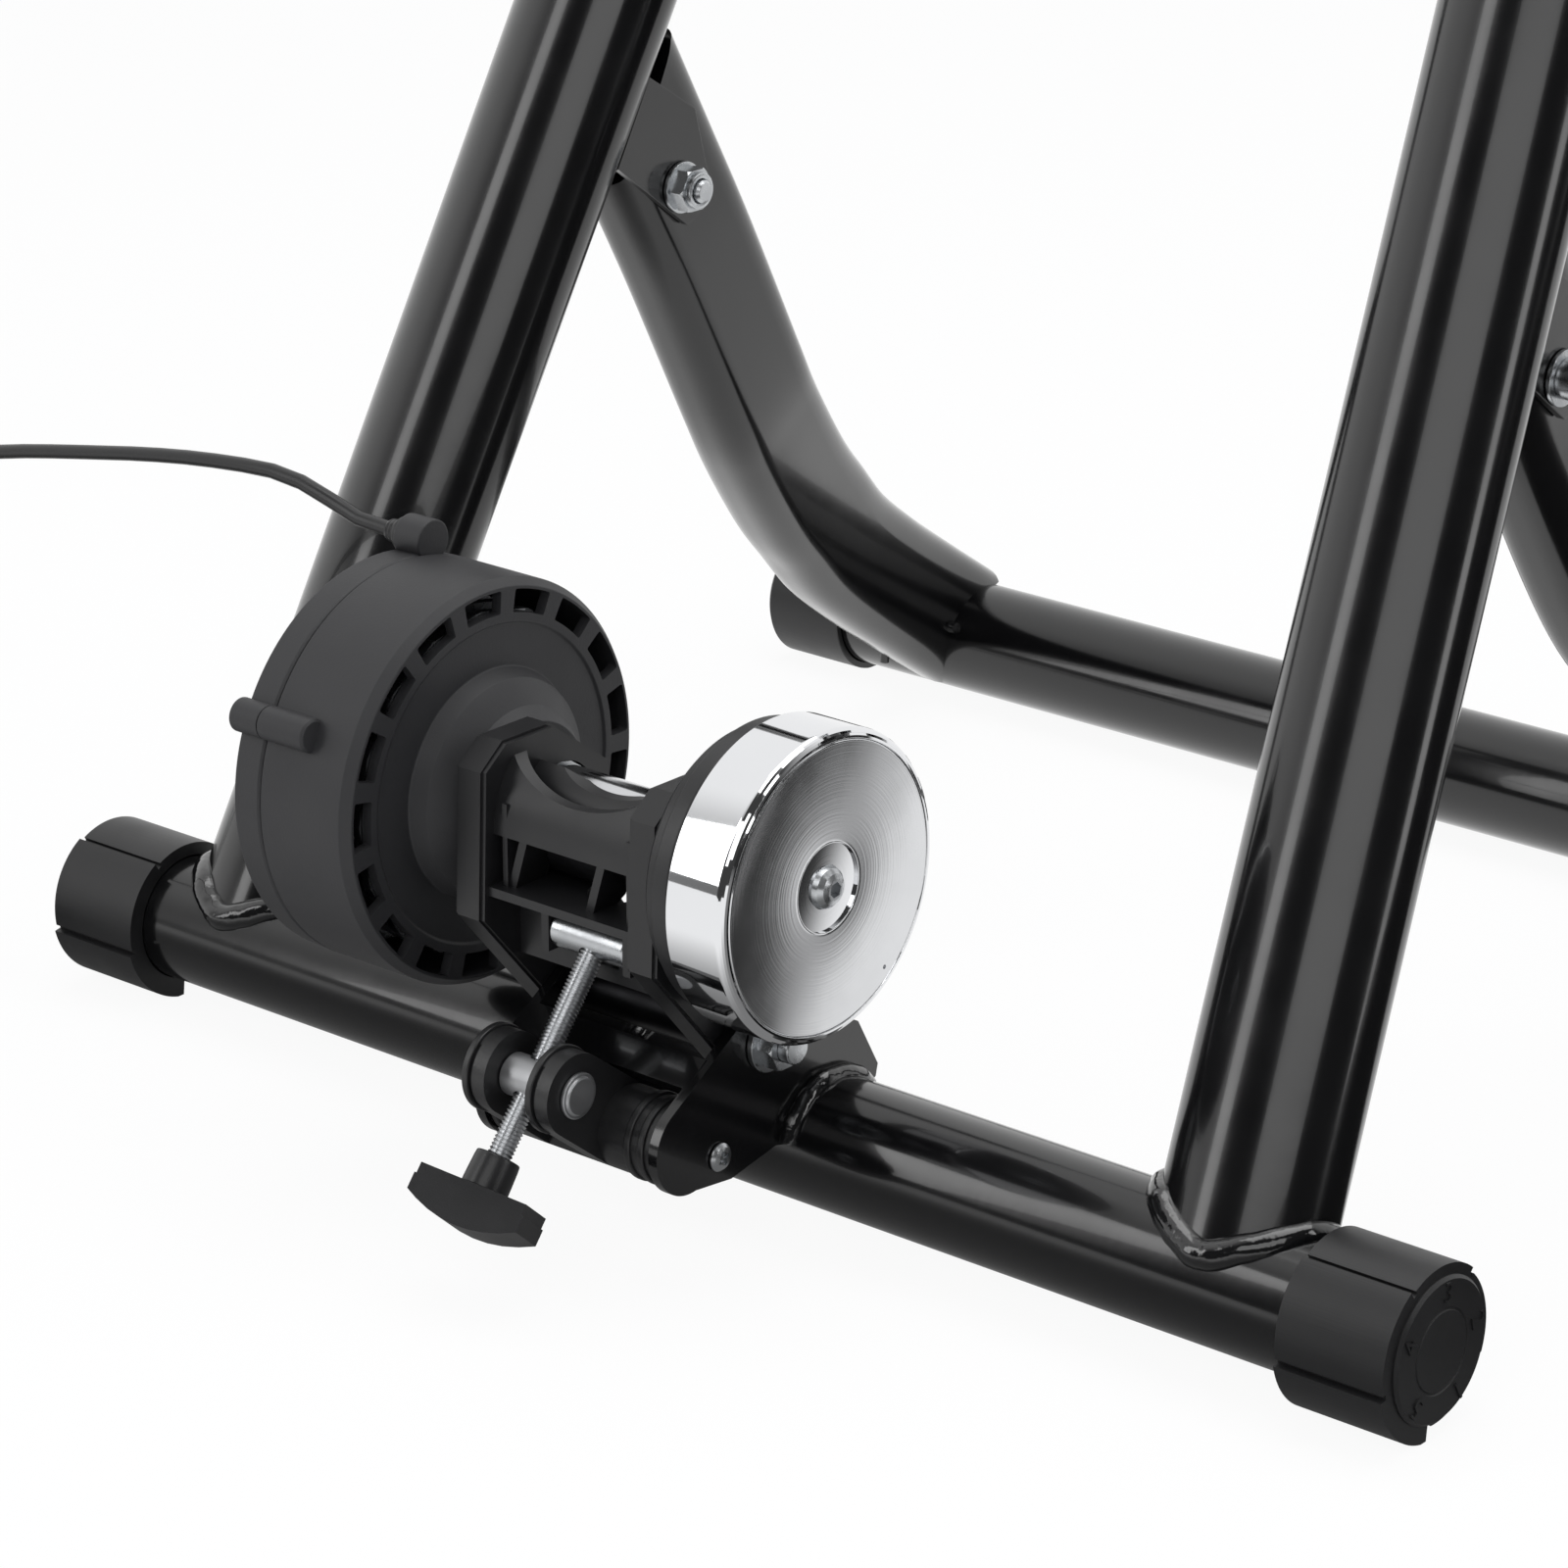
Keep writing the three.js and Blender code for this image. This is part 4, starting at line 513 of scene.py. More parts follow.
def new_group(
    name: str, sizes: dict[str, float], counts: Optional[dict[str, int]] = None
) -> tuple[Tree, bpy.types.Node]:
    """Starts a tree that changes a piece's geometry.

    Args:
        name: the tree's name.
        sizes: its inputs that are lengths or angles, with what they are at first.
        counts: its inputs that are whole numbers.

    Returns:
        The tree, and the node that holds its inputs.
    """
    tree = bpy.data.node_groups.new(name, "GeometryNodeTree")
    face = tree.interface
    face.new_socket("Geometry", in_out="INPUT", socket_type="NodeSocketGeometry")
    for kind, values in (("NodeSocketInt", counts or {}), ("NodeSocketFloat", sizes)):
        for label, value in values.items():
            face.new_socket(label, in_out="INPUT", socket_type=kind).default_value = value
    face.new_socket("Material", in_out="INPUT", socket_type="NodeSocketMaterial")
    face.new_socket("Geometry", in_out="OUTPUT", socket_type="NodeSocketGeometry")
    return tree, add_node(tree, "NodeGroupInput")


def close_group(
    tree: Tree, given: bpy.types.Node, made: Socket
) -> Tree:
    """Args: tree, given: as new_group gave them; made: the geometry.
    Returns: the tree with its painted output.
    """
    real = add_node(tree, "GeometryNodeRealizeInstances", {"Geometry": made})
    painted = add_node(
        tree, "GeometryNodeSetMaterial", {"Geometry": real.outputs[0], "Material": given.outputs["Material"]}
    )
    add_node(tree, "NodeGroupOutput", {0: painted.outputs[0]})
    return tree


def linear(hex_colour: int) -> tuple[float, float, float, float]:
    """Args: hex_colour: sRGB as 0xRRGGBB. Returns: the linear colour with alpha 1."""
    channels = [((hex_colour >> shift) & 255) / 255 for shift in (16, 8, 0)]
    made = [c / 12.92 if c <= 0.04045 else ((c + 0.055) / 1.055) ** 2.4 for c in channels]
    return (made[0], made[1], made[2], 1.0)


class Grain(Enum):
    """What a surface's fine relief is."""

    PEEL = "orange peel of a sprayed and baked coat"
    SPARK = "spark-eroded grain of a mould"
    TURNED = "rings that a turning tool leaves about the axle"
    DRAWN = "fine lines along the stock"
    CAST = "pits of sand casting"
    LINES = "lengthwise lines of a moulding tool"


@dataclass(frozen=True)
class Finish:
    """A surface: its colours, gloss and fine relief."""

    name: str
    slot: str
    colour: int
    second: int
    roughness: float
    spread: float
    metallic: float
    grain: Grain
    pitch: float  # the relief's real spacing, in mm
    depth: float  # the relief's bump distance, in mm
    coat: float = 0.0
    coat_roughness: float = 0.03
    anisotropic: float = 0.0
    blotch: float = 25.0  # the size of the colour's slow changes, in mm

    def material(self, centre: Optional[Vector] = None) -> bpy.types.Material:
        """Args: centre: a place on the axle that rings are turned about. Returns: the material, made once."""
        label = self.name
        if centre is not None:
            label += f"_{round(centre.y / MM)}_{round(centre.z / MM)}"
        known = bpy.data.materials.get(label)
        if known:
            return known
        made = bpy.data.materials.new(label)
        made.use_nodes = True
        tree = made.node_tree
        tree.nodes.clear()
        place = add_node(tree, "ShaderNodeTexCoord").outputs["Object"]
        slow = add_node(
            tree, "ShaderNodeTexNoise", {"Vector": place, "Scale": 1000 / self.blotch, "Detail": 4.0}
        ).outputs["Fac"]
        tint = add_node(
            tree, "ShaderNodeMix", {0: slow, 6: linear(self.colour), 7: linear(self.second)}, data_type="RGBA"
        ).outputs[2]
        between = (self.roughness - self.spread, self.roughness + self.spread)
        gloss = ramp(tree, slow, (0.3, 0.7), between, smooth=False)
        bump = add_node(
            tree,
            "ShaderNodeBump",
            {"Height": self.relief(tree, place, centre), "Strength": 1.0, "Distance": self.depth * MM},
        ).outputs["Normal"]
        shader = add_node(
            tree,
            "ShaderNodeBsdfPrincipled",
            {
                "Base Color": tint,
                "Roughness": gloss,
                "Metallic": self.metallic,
                "Normal": bump,
                "Coat Weight": self.coat,
                "Coat Roughness": self.coat_roughness,
                "Anisotropic": self.anisotropic,
            },
        )
        if self.anisotropic:
            tangent = add_node(tree, "ShaderNodeTangent", direction_type="RADIAL", axis="X")
            tree.links.new(tangent.outputs[0], shader.inputs["Tangent"])
        add_node(tree, "ShaderNodeOutputMaterial", {"Surface": shader.outputs[0]})
        return made

    def relief(
        self, tree: Tree, place: Socket, centre: Optional[Vector]
    ) -> Socket:
        """Args: tree, place: the material's tree and place; centre: the axle.
        Returns: the relief's height.
        """
        scale = 1000 / self.pitch
        if self.grain in (Grain.PEEL, Grain.CAST, Grain.SPARK):
            detail = {Grain.PEEL: 1.0, Grain.CAST: 4.0, Grain.SPARK: 6.0}[self.grain]
            fine = add_node(tree, "ShaderNodeTexNoise", {"Vector": place, "Scale": scale, "Detail": detail})
            return fine.outputs["Fac"]
        if self.grain is Grain.TURNED:
            at = centre or Vector((0, 0, 0))
            moved = calc3(tree, "SUBTRACT", place, tuple(at)).outputs[0]
            flat = calc3(tree, "MULTIPLY", moved, (0.0, 1.0, 1.0)).outputs[0]
            out = calc3(tree, "LENGTH", flat).outputs["Value"]
            run = add_node(tree, "ShaderNodeSeparateXYZ", {0: place}).outputs["X"]
            both = add_node(tree, "ShaderNodeCombineXYZ", {"X": run, "Y": out}).outputs[0]
            rings = add_node(tree, "ShaderNodeTexNoise", {"Vector": both, "Scale": scale, "Detail": 3.0})
            return rings.outputs["Fac"]
        stretch = (0.02, 1.0, 1.0) if self.grain is Grain.DRAWN else (0.01, 1.0, 1.0)
        pulled = calc3(tree, "MULTIPLY", place, stretch).outputs[0]
        lines = add_node(tree, "ShaderNodeTexNoise", {"Vector": pulled, "Scale": scale, "Detail": 4.0})
        return lines.outputs["Fac"]


# Stove enamel on steel tube: black, wet-looking, with a faint orange peel.
ENAMEL = Finish(
    "stove_enamel", "black_enamel", 0x0A0A0B, 0x0D0D0E, 0.17, 0.03, 0.0,
    Grain.PEEL, 4.0, 0.012, coat=0.3,
)
# Enamel over weld metal is thicker and just as glossy.
WELD_ENAMEL = Finish(
    "enamel_on_weld", "black_enamel", 0x0B0B0C, 0x121213, 0.12, 0.03, 0.0,
    Grain.PEEL, 1.6, 0.12, coat=0.6,
)
# Injection-moulded nylon: soft sheen over a fine spark-eroded grain.
NYLON = Finish("moulded_nylon", "black_moulding", 0x151516, 0x1B1B1D, 0.38, 0.05, 0.0, Grain.SPARK, 0.5, 0.03)
# The caps' soft PVC shows the lines that the mould's tool left along them.
CAP_PVC = Finish(
    "moulded_pvc_cap", "black_moulding", 0x161617, 0x1D1D1E, 0.44, 0.05, 0.0,
    Grain.LINES, 0.45, 0.035,
)
# The drum's ABS is greyer and more matt, from a coarser etched mould.
DRUM_ABS = Finish(
    "etched_abs_drum", "drum_plastic", 0x232325, 0x2A2A2C, 0.55, 0.05, 0.0,
    Grain.SPARK, 0.9, 0.06,
)
# Bright chrome over turned steel: mirror with nearly no relief.
CHROME = Finish(
    "bright_chrome", "flywheel_chrome", 0xE9EAEC, 0xE3E4E6, 0.045, 0.01, 1.0,
    Grain.TURNED, 0.8, 0.0012,
)
# The flywheel's turned face: rings about the axle spread the light into two bright fans.
TURNED_FACE = Finish(
    "turned_chrome_face", "flywheel_chrome", 0xE0E1E3, 0xD6D7D9, 0.08, 0.02, 1.0,
    Grain.TURNED, 0.7, 0.006, anisotropic=0.4,
)
# The roller: ground and polished steel.
ROLLER_STEEL = Finish(
    "ground_steel", "polished_steel", 0xD5D6D8, 0xC9CACC, 0.12, 0.03, 1.0,
    Grain.TURNED, 0.5, 0.002,
)
# Bright zinc plate: paler and a little cloudy.
ZINC = Finish("zinc_plate", "zinc", 0xC9CBCD, 0xB4B7BA, 0.28, 0.06, 1.0, Grain.PEEL, 1.2, 0.02, blotch=6.0)
# Rolled thread: bright and slightly brushed.
THREAD_STEEL = Finish(
    "rolled_steel", "polished_steel", 0xDCDDDF, 0xCFD1D3, 0.3, 0.04, 1.0,
    Grain.PEEL, 0.8, 0.004, blotch=5.0,
)
# Turned pin heads, darker than plate because they are left oiled.
PIN_STEEL = Finish(
    "oiled_steel", "polished_steel", 0xC4C5C7, 0xAEAFB1, 0.46, 0.05, 1.0,
    Grain.TURNED, 0.6, 0.03, blotch=8.0,
)
# Blackened steel of small screws and the lever.
BLACK_OXIDE = Finish(
    "black_oxide", "black_steel", 0x1B1B1D, 0x242426, 0.38, 0.06, 0.85,
    Grain.PEEL, 1.0, 0.02, blotch=8.0,
)
# Painted casting of the forked arm: slightly pitted under its paint.
CASTING = Finish(
    "painted_casting", "cast_black", 0x141415, 0x1B1B1C, 0.4, 0.05, 0.0,
    Grain.CAST, 1.1, 0.05, coat=0.15, coat_roughness=0.3,
)
# Bearing races and the rotor disc: plain turned metal inside the drum.
BARE_METAL = Finish(
    "bare_turned_metal", "polished_steel", 0xB9BBBD, 0xA9ABAD, 0.3, 0.04, 1.0,
    Grain.TURNED, 0.6, 0.006,
)
# PVC sheath of the brake cable: black with a soft shine.
SHEATH = Finish("cable_sheath", "black_moulding", 0x101011, 0x171718, 0.34, 0.05, 0.0, Grain.PEEL, 1.5, 0.02)


def bead_tree() -> Tree:
    """Returns: the node tree that lays a lumpy bead of metal along a line, in metres."""
    known = bpy.data.node_groups.get("weld_bead")
    if known:
        return known
    sizes = {"Bead Radius": 0.0032, "Ripple Pitch": 0.007, "Lump Height": 0.0028}
    tree, given = new_group("weld_bead", sizes)
    line = add_node(tree, "GeometryNodeMeshToCurve", {0: given.outputs["Geometry"]})
    even = add_node(
        tree, "GeometryNodeResampleCurve", {"Curve": line.outputs[0], "Length": 0.0009}, mode="LENGTH"
    )
    ring = add_node(
        tree, "GeometryNodeCurvePrimitiveCircle", {"Resolution": 14, "Radius": given.outputs["Bead Radius"]}
    )
    tube = add_node(
        tree,
        "GeometryNodeCurveToMesh",
        {"Curve": even.outputs[0], "Profile Curve": ring.outputs[0], "Fill Caps": True},
    )
    where = add_node(tree, "GeometryNodeInputPosition")
    out = add_node(tree, "GeometryNodeInputNormal")
    scale = calc(tree, "DIVIDE", 0.5, given.outputs["Ripple Pitch"])
    rough = add_node(tree, "ShaderNodeTexNoise", {"Vector": where.outputs[0], "Scale": scale, "Detail": 2.0})
    centred = calc(tree, "SUBTRACT", rough.outputs["Fac"], 0.5)
    height = calc(tree, "MULTIPLY", centred, given.outputs["Lump Height"])
    shift = add_node(tree, "ShaderNodeVectorMath", {0: out.outputs[0], "Scale": height}, operation="SCALE")
    lumpy = add_node(
        tree, "GeometryNodeSetPosition", {"Geometry": tube.outputs[0], "Offset": shift.outputs[0]}
    )
    smooth = add_node(tree, "GeometryNodeSetShadeSmooth", {"Geometry": lumpy.outputs[0]})
    return close_group(tree, given, smooth.outputs[0])


def ring_tree() -> Tree:
    """Returns: the node tree that repeats one piece round the X axis."""
    known = bpy.data.node_groups.get("round_the_axle")
    if known:
        return known
    tree, given = new_group("round_the_axle", {"Step": 1.0, "Start": 0.0}, {"Count": 6})
    places = add_node(tree, "GeometryNodePoints", {"Count": given.outputs["Count"]})
    number = add_node(tree, "GeometryNodeInputIndex")
    angle = calc(tree, "MULTIPLY_ADD", number.outputs[0], given.outputs["Step"], given.outputs["Start"])
    turn = add_node(tree, "ShaderNodeCombineXYZ", {"X": angle})
    copies = add_node(
        tree,
        "GeometryNodeInstanceOnPoints",
        {"Points": places.outputs[0], "Instance": given.outputs["Geometry"], "Rotation": turn.outputs[0]},
    )
    return close_group(tree, given, copies.outputs[0])


def thread_tree() -> Tree:
    """Returns: the node tree that winds a screw's ridge about the Z axis, in mm."""
    known = bpy.data.node_groups.get("screw_thread")
    if known:
        return known
    sizes = {"Ridge Radius": 3.6, "Length": 80.0, "Pitch": 1.25, "Ridge Height": 0.75}
    tree, given = new_group("screw_thread", sizes)
    turns = calc(tree, "DIVIDE", given.outputs["Length"], given.outputs["Pitch"])
    coil = add_node(
        tree,
        "GeometryNodeCurveSpiral",
        {
            "Resolution": 30,
            "Rotations": turns,
            "Start Radius": given.outputs["Ridge Radius"],
            "End Radius": given.outputs["Ridge Radius"],
            "Height": given.outputs["Length"],
        },
    )
    section = add_node(
        tree, "GeometryNodeCurvePrimitiveCircle", {"Resolution": 4, "Radius": given.outputs["Ridge Height"]}
    )
    level = add_node(tree, "GeometryNodeSetCurveNormal", {"Curve": coil.outputs[0]}, mode="Z_UP")
    ridge = add_node(
        tree,
        "GeometryNodeCurveToMesh",
        {"Curve": level.outputs[0], "Profile Curve": section.outputs[0], "Fill Caps": True},
    )
    joined = add_node(tree, "GeometryNodeJoinGeometry")
    tree.links.new(ridge.outputs[0], joined.inputs[0])
    tree.links.new(given.outputs["Geometry"], joined.inputs[0])
    return close_group(tree, given, joined.outputs[0])


def run_tree(obj: bpy.types.Object, tree: Tree, values: dict[str, object]) -> bpy.types.Mesh:
    """Args: obj: what the tree works on; tree: the tree; values: its inputs by name.
    Returns: the finished mesh.
    """
    change = obj.modifiers.new("nodes", "NODES")
    change.node_group = tree
    for item in tree.interface.items_tree:
        if item.item_type == "SOCKET" and item.in_out == "INPUT" and item.name in values:
            change[item.identifier] = values[item.name]
    return settled(obj)


def repeated(shape: Shape, count: int, start: float, step: Optional[float] = None) -> Shape:
    """Args: shape: one piece; count: how many; start, step: degrees about X. Returns: all of them."""
    source = temporary(shape)
    values = {"Count": count, "Step": math.radians(step or 360 / count), "Start": math.radians(start)}
    mesh = run_tree(source, ring_tree(), values)
    made = read_shape(mesh)
    dropped(source)
    bpy.data.meshes.remove(mesh)
    return made


@dataclass(frozen=True)
class Dress:
    """What a piece rides on, looks like and stands for."""

    body: Body
    finish: Finish
    replaces: tuple[str, ...] = ()
    bevel: float = 0.0  # the rounding of the edges, in mm
    sharp: float = 32.0  # the angle from which an edge is rounded or sharp, in degrees
    place: Optional[Matrix] = None
    centre: Optional[Vector] = None
    own_slot: Optional[str] = None

    @property
    def slot(self) -> str:
        """Returns: the slot that recolours the piece, its own or else its finish's."""
        return self.own_slot or self.finish.slot


def make_piece(name: str, shape: Shape, dress: Dress) -> bpy.types.Object:
    """Makes a finished piece.

    Args:
        name: the piece's name.
        shape: its form, in mm.
        dress: its body, finish and the nodes that it stands for.

    Returns:
        The piece.
    """
    obj = temporary(shape, name)
    mesh = obj.data
    mesh.transform(STAND if dress.place is None else dress.place)
    mesh.shade_smooth()
    if dress.bevel:
        edge = obj.modifiers.new("edge", "BEVEL")
        edge.width = dress.bevel * MM
        edge.segments = 2
        edge.limit_method = "ANGLE"
        edge.angle_limit = math.radians(dress.sharp)
        edge.use_clamp_overlap = True
    else:
        mesh.set_sharp_from_angle(angle=math.radians(dress.sharp))
    even = obj.modifiers.new("normals", "WEIGHTED_NORMAL")
    even.keep_sharp = True
    finished = settled(obj)
    finished.name = name
    obj.data = finished
    bpy.data.meshes.remove(mesh)
    finished.materials.clear()
    finished.materials.append(dress.finish.material(dress.centre))
    return ridden(obj, dress)


def ridden(obj: bpy.types.Object, dress: Dress) -> bpy.types.Object:
    """Args: obj: a finished piece; dress: where it belongs. Returns: the piece, riding on its body."""
    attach(obj, dress.body.value)
    if dress.replaces:
        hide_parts(*dress.replaces)
    dress.slot
    faces = len(obj.data.polygons) if obj.type == "MESH" else 0
    LOG.info("%s: %d faces on %s", obj.name, faces, dress.body.value)
    return obj


@dataclass(frozen=True)
class Thread:
    """A screw's ridge: where it starts along Z, its length, pitch, radius and height, in mm."""

    start: float
    length: float
    pitch: float
    radius: float
    height: float


def make_screw(name: str, core: Shape, thread: Thread, dress: Dress) -> None:
    """Makes a threaded bar.

    Args:
        name: the piece's name.
        core: its plain core, along Z.
        thread: the ridge round it.
        dress: its body, finish, nodes and place.
    """
    obj = temporary(core, name)
    plain = obj.data
    plain.transform(Matrix.Translation((0, 0, -thread.start)))
    values = {
        "Ridge Radius": thread.radius,
        "Length": thread.length,
        "Pitch": thread.pitch,
        "Ridge Height": thread.height,
        "Material": dress.finish.material(),
    }
    mesh = run_tree(obj, thread_tree(), values)
    mesh.transform(dress.place @ Matrix.Translation((0, 0, thread.start)))
    mesh.shade_smooth()
    mesh.set_sharp_from_angle(angle=math.radians(50))
    obj.data = mesh
    bpy.data.meshes.remove(plain)
    ridden(obj, dress)


def make_bead(
    name: str, path: Sequence[Vector], body: Body, radius: float = 2.4, closed: bool = False
) -> None:
    """Makes a weld bead.

    Args:
        name: its name.
        path: its middle line, in mm in the stand's frame.
        body: the body that it rides on.
        radius: its radius, in mm.
        closed: whether the line is a loop.
    """
    mesh = bpy.data.meshes.new(name)
    n = len(path)
    edges = [(i, (i + 1) % n) for i in range(n if closed else n - 1)]
    mesh.from_pydata([tuple(STAND @ p) for p in path], edges, [])
    obj = linked(name, mesh)
    values = {"Bead Radius": radius * MM, "Material": WELD_ENAMEL.material()}
    obj.data = run_tree(obj, bead_tree(), values)
    obj.data.name = name
    bpy.data.meshes.remove(mesh)
    ridden(obj, Dress(body, WELD_ENAMEL))


@dataclass
class Frame:
    """The rear tube, the two oval uprights and what is welded to them."""

    tube: float = LAYOUT.tube
    wall: float = LAYOUT.tube_wall
    half: float = 273.2
    top: Point3 = LAYOUT.top
    width: float = LAYOUT.oval[0]
    depth: float = LAYOUT.oval[1]
    past: float = 26.0  # how far an upright runs on above the clamps' height
    sunk: float = 1.2  # how far its foot sinks into the tube
    seam: float = 1.0  # how far a weld's middle lies inside both surfaces
    weld: float = 5.0

    @property
    def base(self) -> Vector:
        """Returns: where the right upright's line meets the tube's axis."""
        return Vector((LAYOUT.foot_x, 0, 0))

    def axes(self) -> tuple[Vector, Vector, Vector, float]:
        """Returns: the right upright's across, forward and up directions, and its length to the clamps."""
        run = Vector(self.top) - self.base
        up = run.normalized()
        across = (Vector((1, 0, 0)) - up * up.x).normalized()
        return across, up.cross(across), up, run.length

    def oval(self, angle: float, grown: float, height: float) -> Vector:
        """Args: angle: round the oval; grown: outwards; height: along it.
        Returns: a place on the right upright.
        """
        across, forward, up, _ = self.axes()
        place = self.base + across * math.cos(angle) * (self.width / 2 + grown)
        return place + forward * math.sin(angle) * (self.depth / 2 + grown) + up * height

    def foot(self, angle: float, grown: float, surface: float) -> Vector:
        """Args: angle: round the oval; grown: outwards; surface: radius.
        Returns: where the upright meets the tube.
        """
        up = self.axes()[2]
        start = self.oval(angle, grown, 0.0)
        a = up.y**2 + up.z**2
        b = start.y * up.y + start.z * up.z
        c = start.y**2 + start.z**2 - surface**2
        inside = b * b - a * c
        s = (-b + math.sqrt(max(inside, 0.0))) / a
        return start + up * s

    def upright(self) -> Shape:
        """Returns: the right upright, its foot cut to the tube and its top closed by a rounded lid."""
        steps = 96
        angles = full_turn(steps)
        points = [self.foot(a, 0.0, self.tube - self.sunk) for a in angles]
        top = self.axes()[3] + self.past
        lid = ((0.0, 1.5), (0.12, 0.9), (0.45, 0.3), (1.2, 0.0))  # mm inwards, and below the top
        for inwards, below in lid:
            points += [self.oval(a, -inwards, top - below) for a in angles]
        faces: list[tuple[int, ...]] = []
        for low in range(0, len(lid) * steps, steps):
            high = low + steps
            for k in range(steps):
                n = (k + 1) % steps
                faces.append((low + k, low + n, high + n, high + k))
        faces.append(tuple(range(len(lid) * steps, len(points))))
        faces += [(0, k + 1, k) for k in range(1, steps - 1)]
        return Shape(points, faces)

    def build(self) -> None:
        """Makes the tube, the uprights and their welds."""
        tube = collar(self.tube - self.wall, self.tube, -self.half, self.half, steps=128)
        make_piece("rear_tube_enamelled", tube, Dress(Body.STAND, ENAMEL, ("rear_tube",)))
        upright = self.upright()
        ring = [self.foot(a, -self.seam, self.tube - self.seam) for a in full_turn(72)]
        for side in Side:
            dress = Dress(Body.STAND, ENAMEL, (f"{side.label}_upright",))
            make_piece(f"{side.label}_oval_upright", upright.on(side), dress)
            seam = [Vector((p.x * side.value, p.y, p.z)) for p in ring]
            make_bead(f"{side.label}_upright_weld", seam, Body.STAND, self.weld, True)


@dataclass
class FoldJoints:
    """The brackets, bolts and nuts that the front legs fold on."""

    at: Point2 = LAYOUT.fold
    leg_x: float = LAYOUT.leg_x
    inside: float = 15.5  # from the leg's middle to an ear
    plate: float = 3.0
    boss: float = 21.0
    above: float = 43.4  # from the bolt to the ears' upper corner
    bore: float = 4.3
    gap: float = 0.3  # between the ears and what bears on them

    def bracket(self, uprights: Frame) -> Shape:
        """Args: uprights: the frame that it is welded to. Returns: two ears and their stop web."""
        boss = self.boss
        outline: list[Point2] = [(-boss * 2, boss * 0.95), (-19.0, self.above), (boss * 0.38, boss * 1.24)]
        outline += arc((0, 0), boss * 0.7, 25, -76, 20)
        x0, x1 = self.leg_x - self.inside, self.leg_x + self.inside
        behind = self.gap - LAYOUT.fold_gap
        web = block((x0 - 1, behind, boss), (x1 + 1, behind + self.plate, 41.2)).turned(-LAYOUT.upright_lean)
        ends = (0.0, uprights.axes()[3] + 40)
        upright = prism(*([uprights.oval(a, self.gap, end) for a in full_turn(72)] for end in ends))
        return carved(
            extruded(outline, x0 - self.plate, x0),
            (Cut.JOIN, extruded(outline, x1, x1 + self.plate)),
            (Cut.JOIN, carved(web, (Cut.KEEP, extruded(outline, x0 - 1, x1 + 1)))),
            (Cut.AWAY, upright.moved(0, -self.at[0], -self.at[1])),
            (Cut.AWAY, rod(self.bore, 100, 260, 0)),
        )

    def build(self, uprights: Frame) -> None:
        """Args: uprights: the frame that carries the brackets."""
        outer = self.leg_x + self.inside + self.plate
        inner = self.leg_x - self.inside - self.plate
        bracket = self.bracket(uprights).moved(0, *self.at)
        bolt = fold_bolt(outer + self.gap, inner - 11.6).moved(0, *self.at)
        nut = lock_nut(inner - self.gap).moved(0, *self.at)
        for side in Side:
            name = side.label
            enamel = Dress(Body.STAND, ENAMEL, (f"{name}_fold_bracket",), bevel=0.7)
            make_piece(f"{name}_bent_fold_bracket", bracket.on(side), enamel)
            make_piece(f"{name}_socket_bolt", bolt.on(side), Dress(Body.STAND, ZINC, (f"{name}_fold_bolt",)))
            make_piece(f"{name}_locking_nut", nut.on(side), Dress(Body.STAND, ZINC, (f"{name}_fold_nut",)))


def hexagon(radius: float, x0: float, x1: float, turn: float = 0.0) -> Shape:
    """Args: radius: over corners; x0, x1: its faces; turn: degrees. Returns: a six-sided bar along X."""
    return extruded(arc((0, 0), radius, turn, turn + 300, 5), x0, x1)


def crowned_hex(radius: float, x0: float, x1: float) -> Shape:
    """Args: radius: over corners; x0, x1: its faces.
    Returns: a hexagon whose corners are turned off at both ends.
    """
    flat = radius * 0.93
    tip = (x1 - x0) * 0.14
    line = [(x0, 0), (x0, flat), (x0 + tip, radius), (x1 - tip, radius), (x1, flat), (x1, 0)]
    return carved(hexagon(radius, x0, x1), (Cut.KEEP, lathe(line, 0.0, 72)))


def fold_bolt(seat: float, tip: float) -> Shape:
    """Args: seat: the washer's face; tip: the shank's end. Returns: a socket-head bolt with its washer."""
    washer = collar(4.0, 9.0, seat, seat + 1.6, 0.35, 72)
    head = lathe(
        [(seat + 1.6, 0), (seat + 1.6, 6.5), (seat + 8.0, 6.5), (seat + 8.6, 5.9), (seat + 8.6, 0)], 0.5, 72
    )
    head = carved(head, (Cut.AWAY, hexagon(3.4, seat + 5.2, seat + 12)))
    shank = lathe([(seat + 0.4, 0), (seat + 0.4, 4.0), (tip + 1, 4.0), (tip, 3.2), (tip, 0)], 0.2, 48)
    return washer + head + shank


def lock_nut(face: float) -> Shape:
    """Args: face: where it bears. Returns: a nut with its nylon collar and washer, on the lower side of X."""
    nut = carved(crowned_hex(8.2, face - 7.4, face - 1.6), (Cut.AWAY, rod(4.2, face - 20, face + 2, 0)))
    neck = collar(4.2, 6.4, face - 9.4, face - 7.2, 0.8, 72)
    return nut + neck + collar(4.3, 9.0, face - 1.6, face, 0.35, 72)


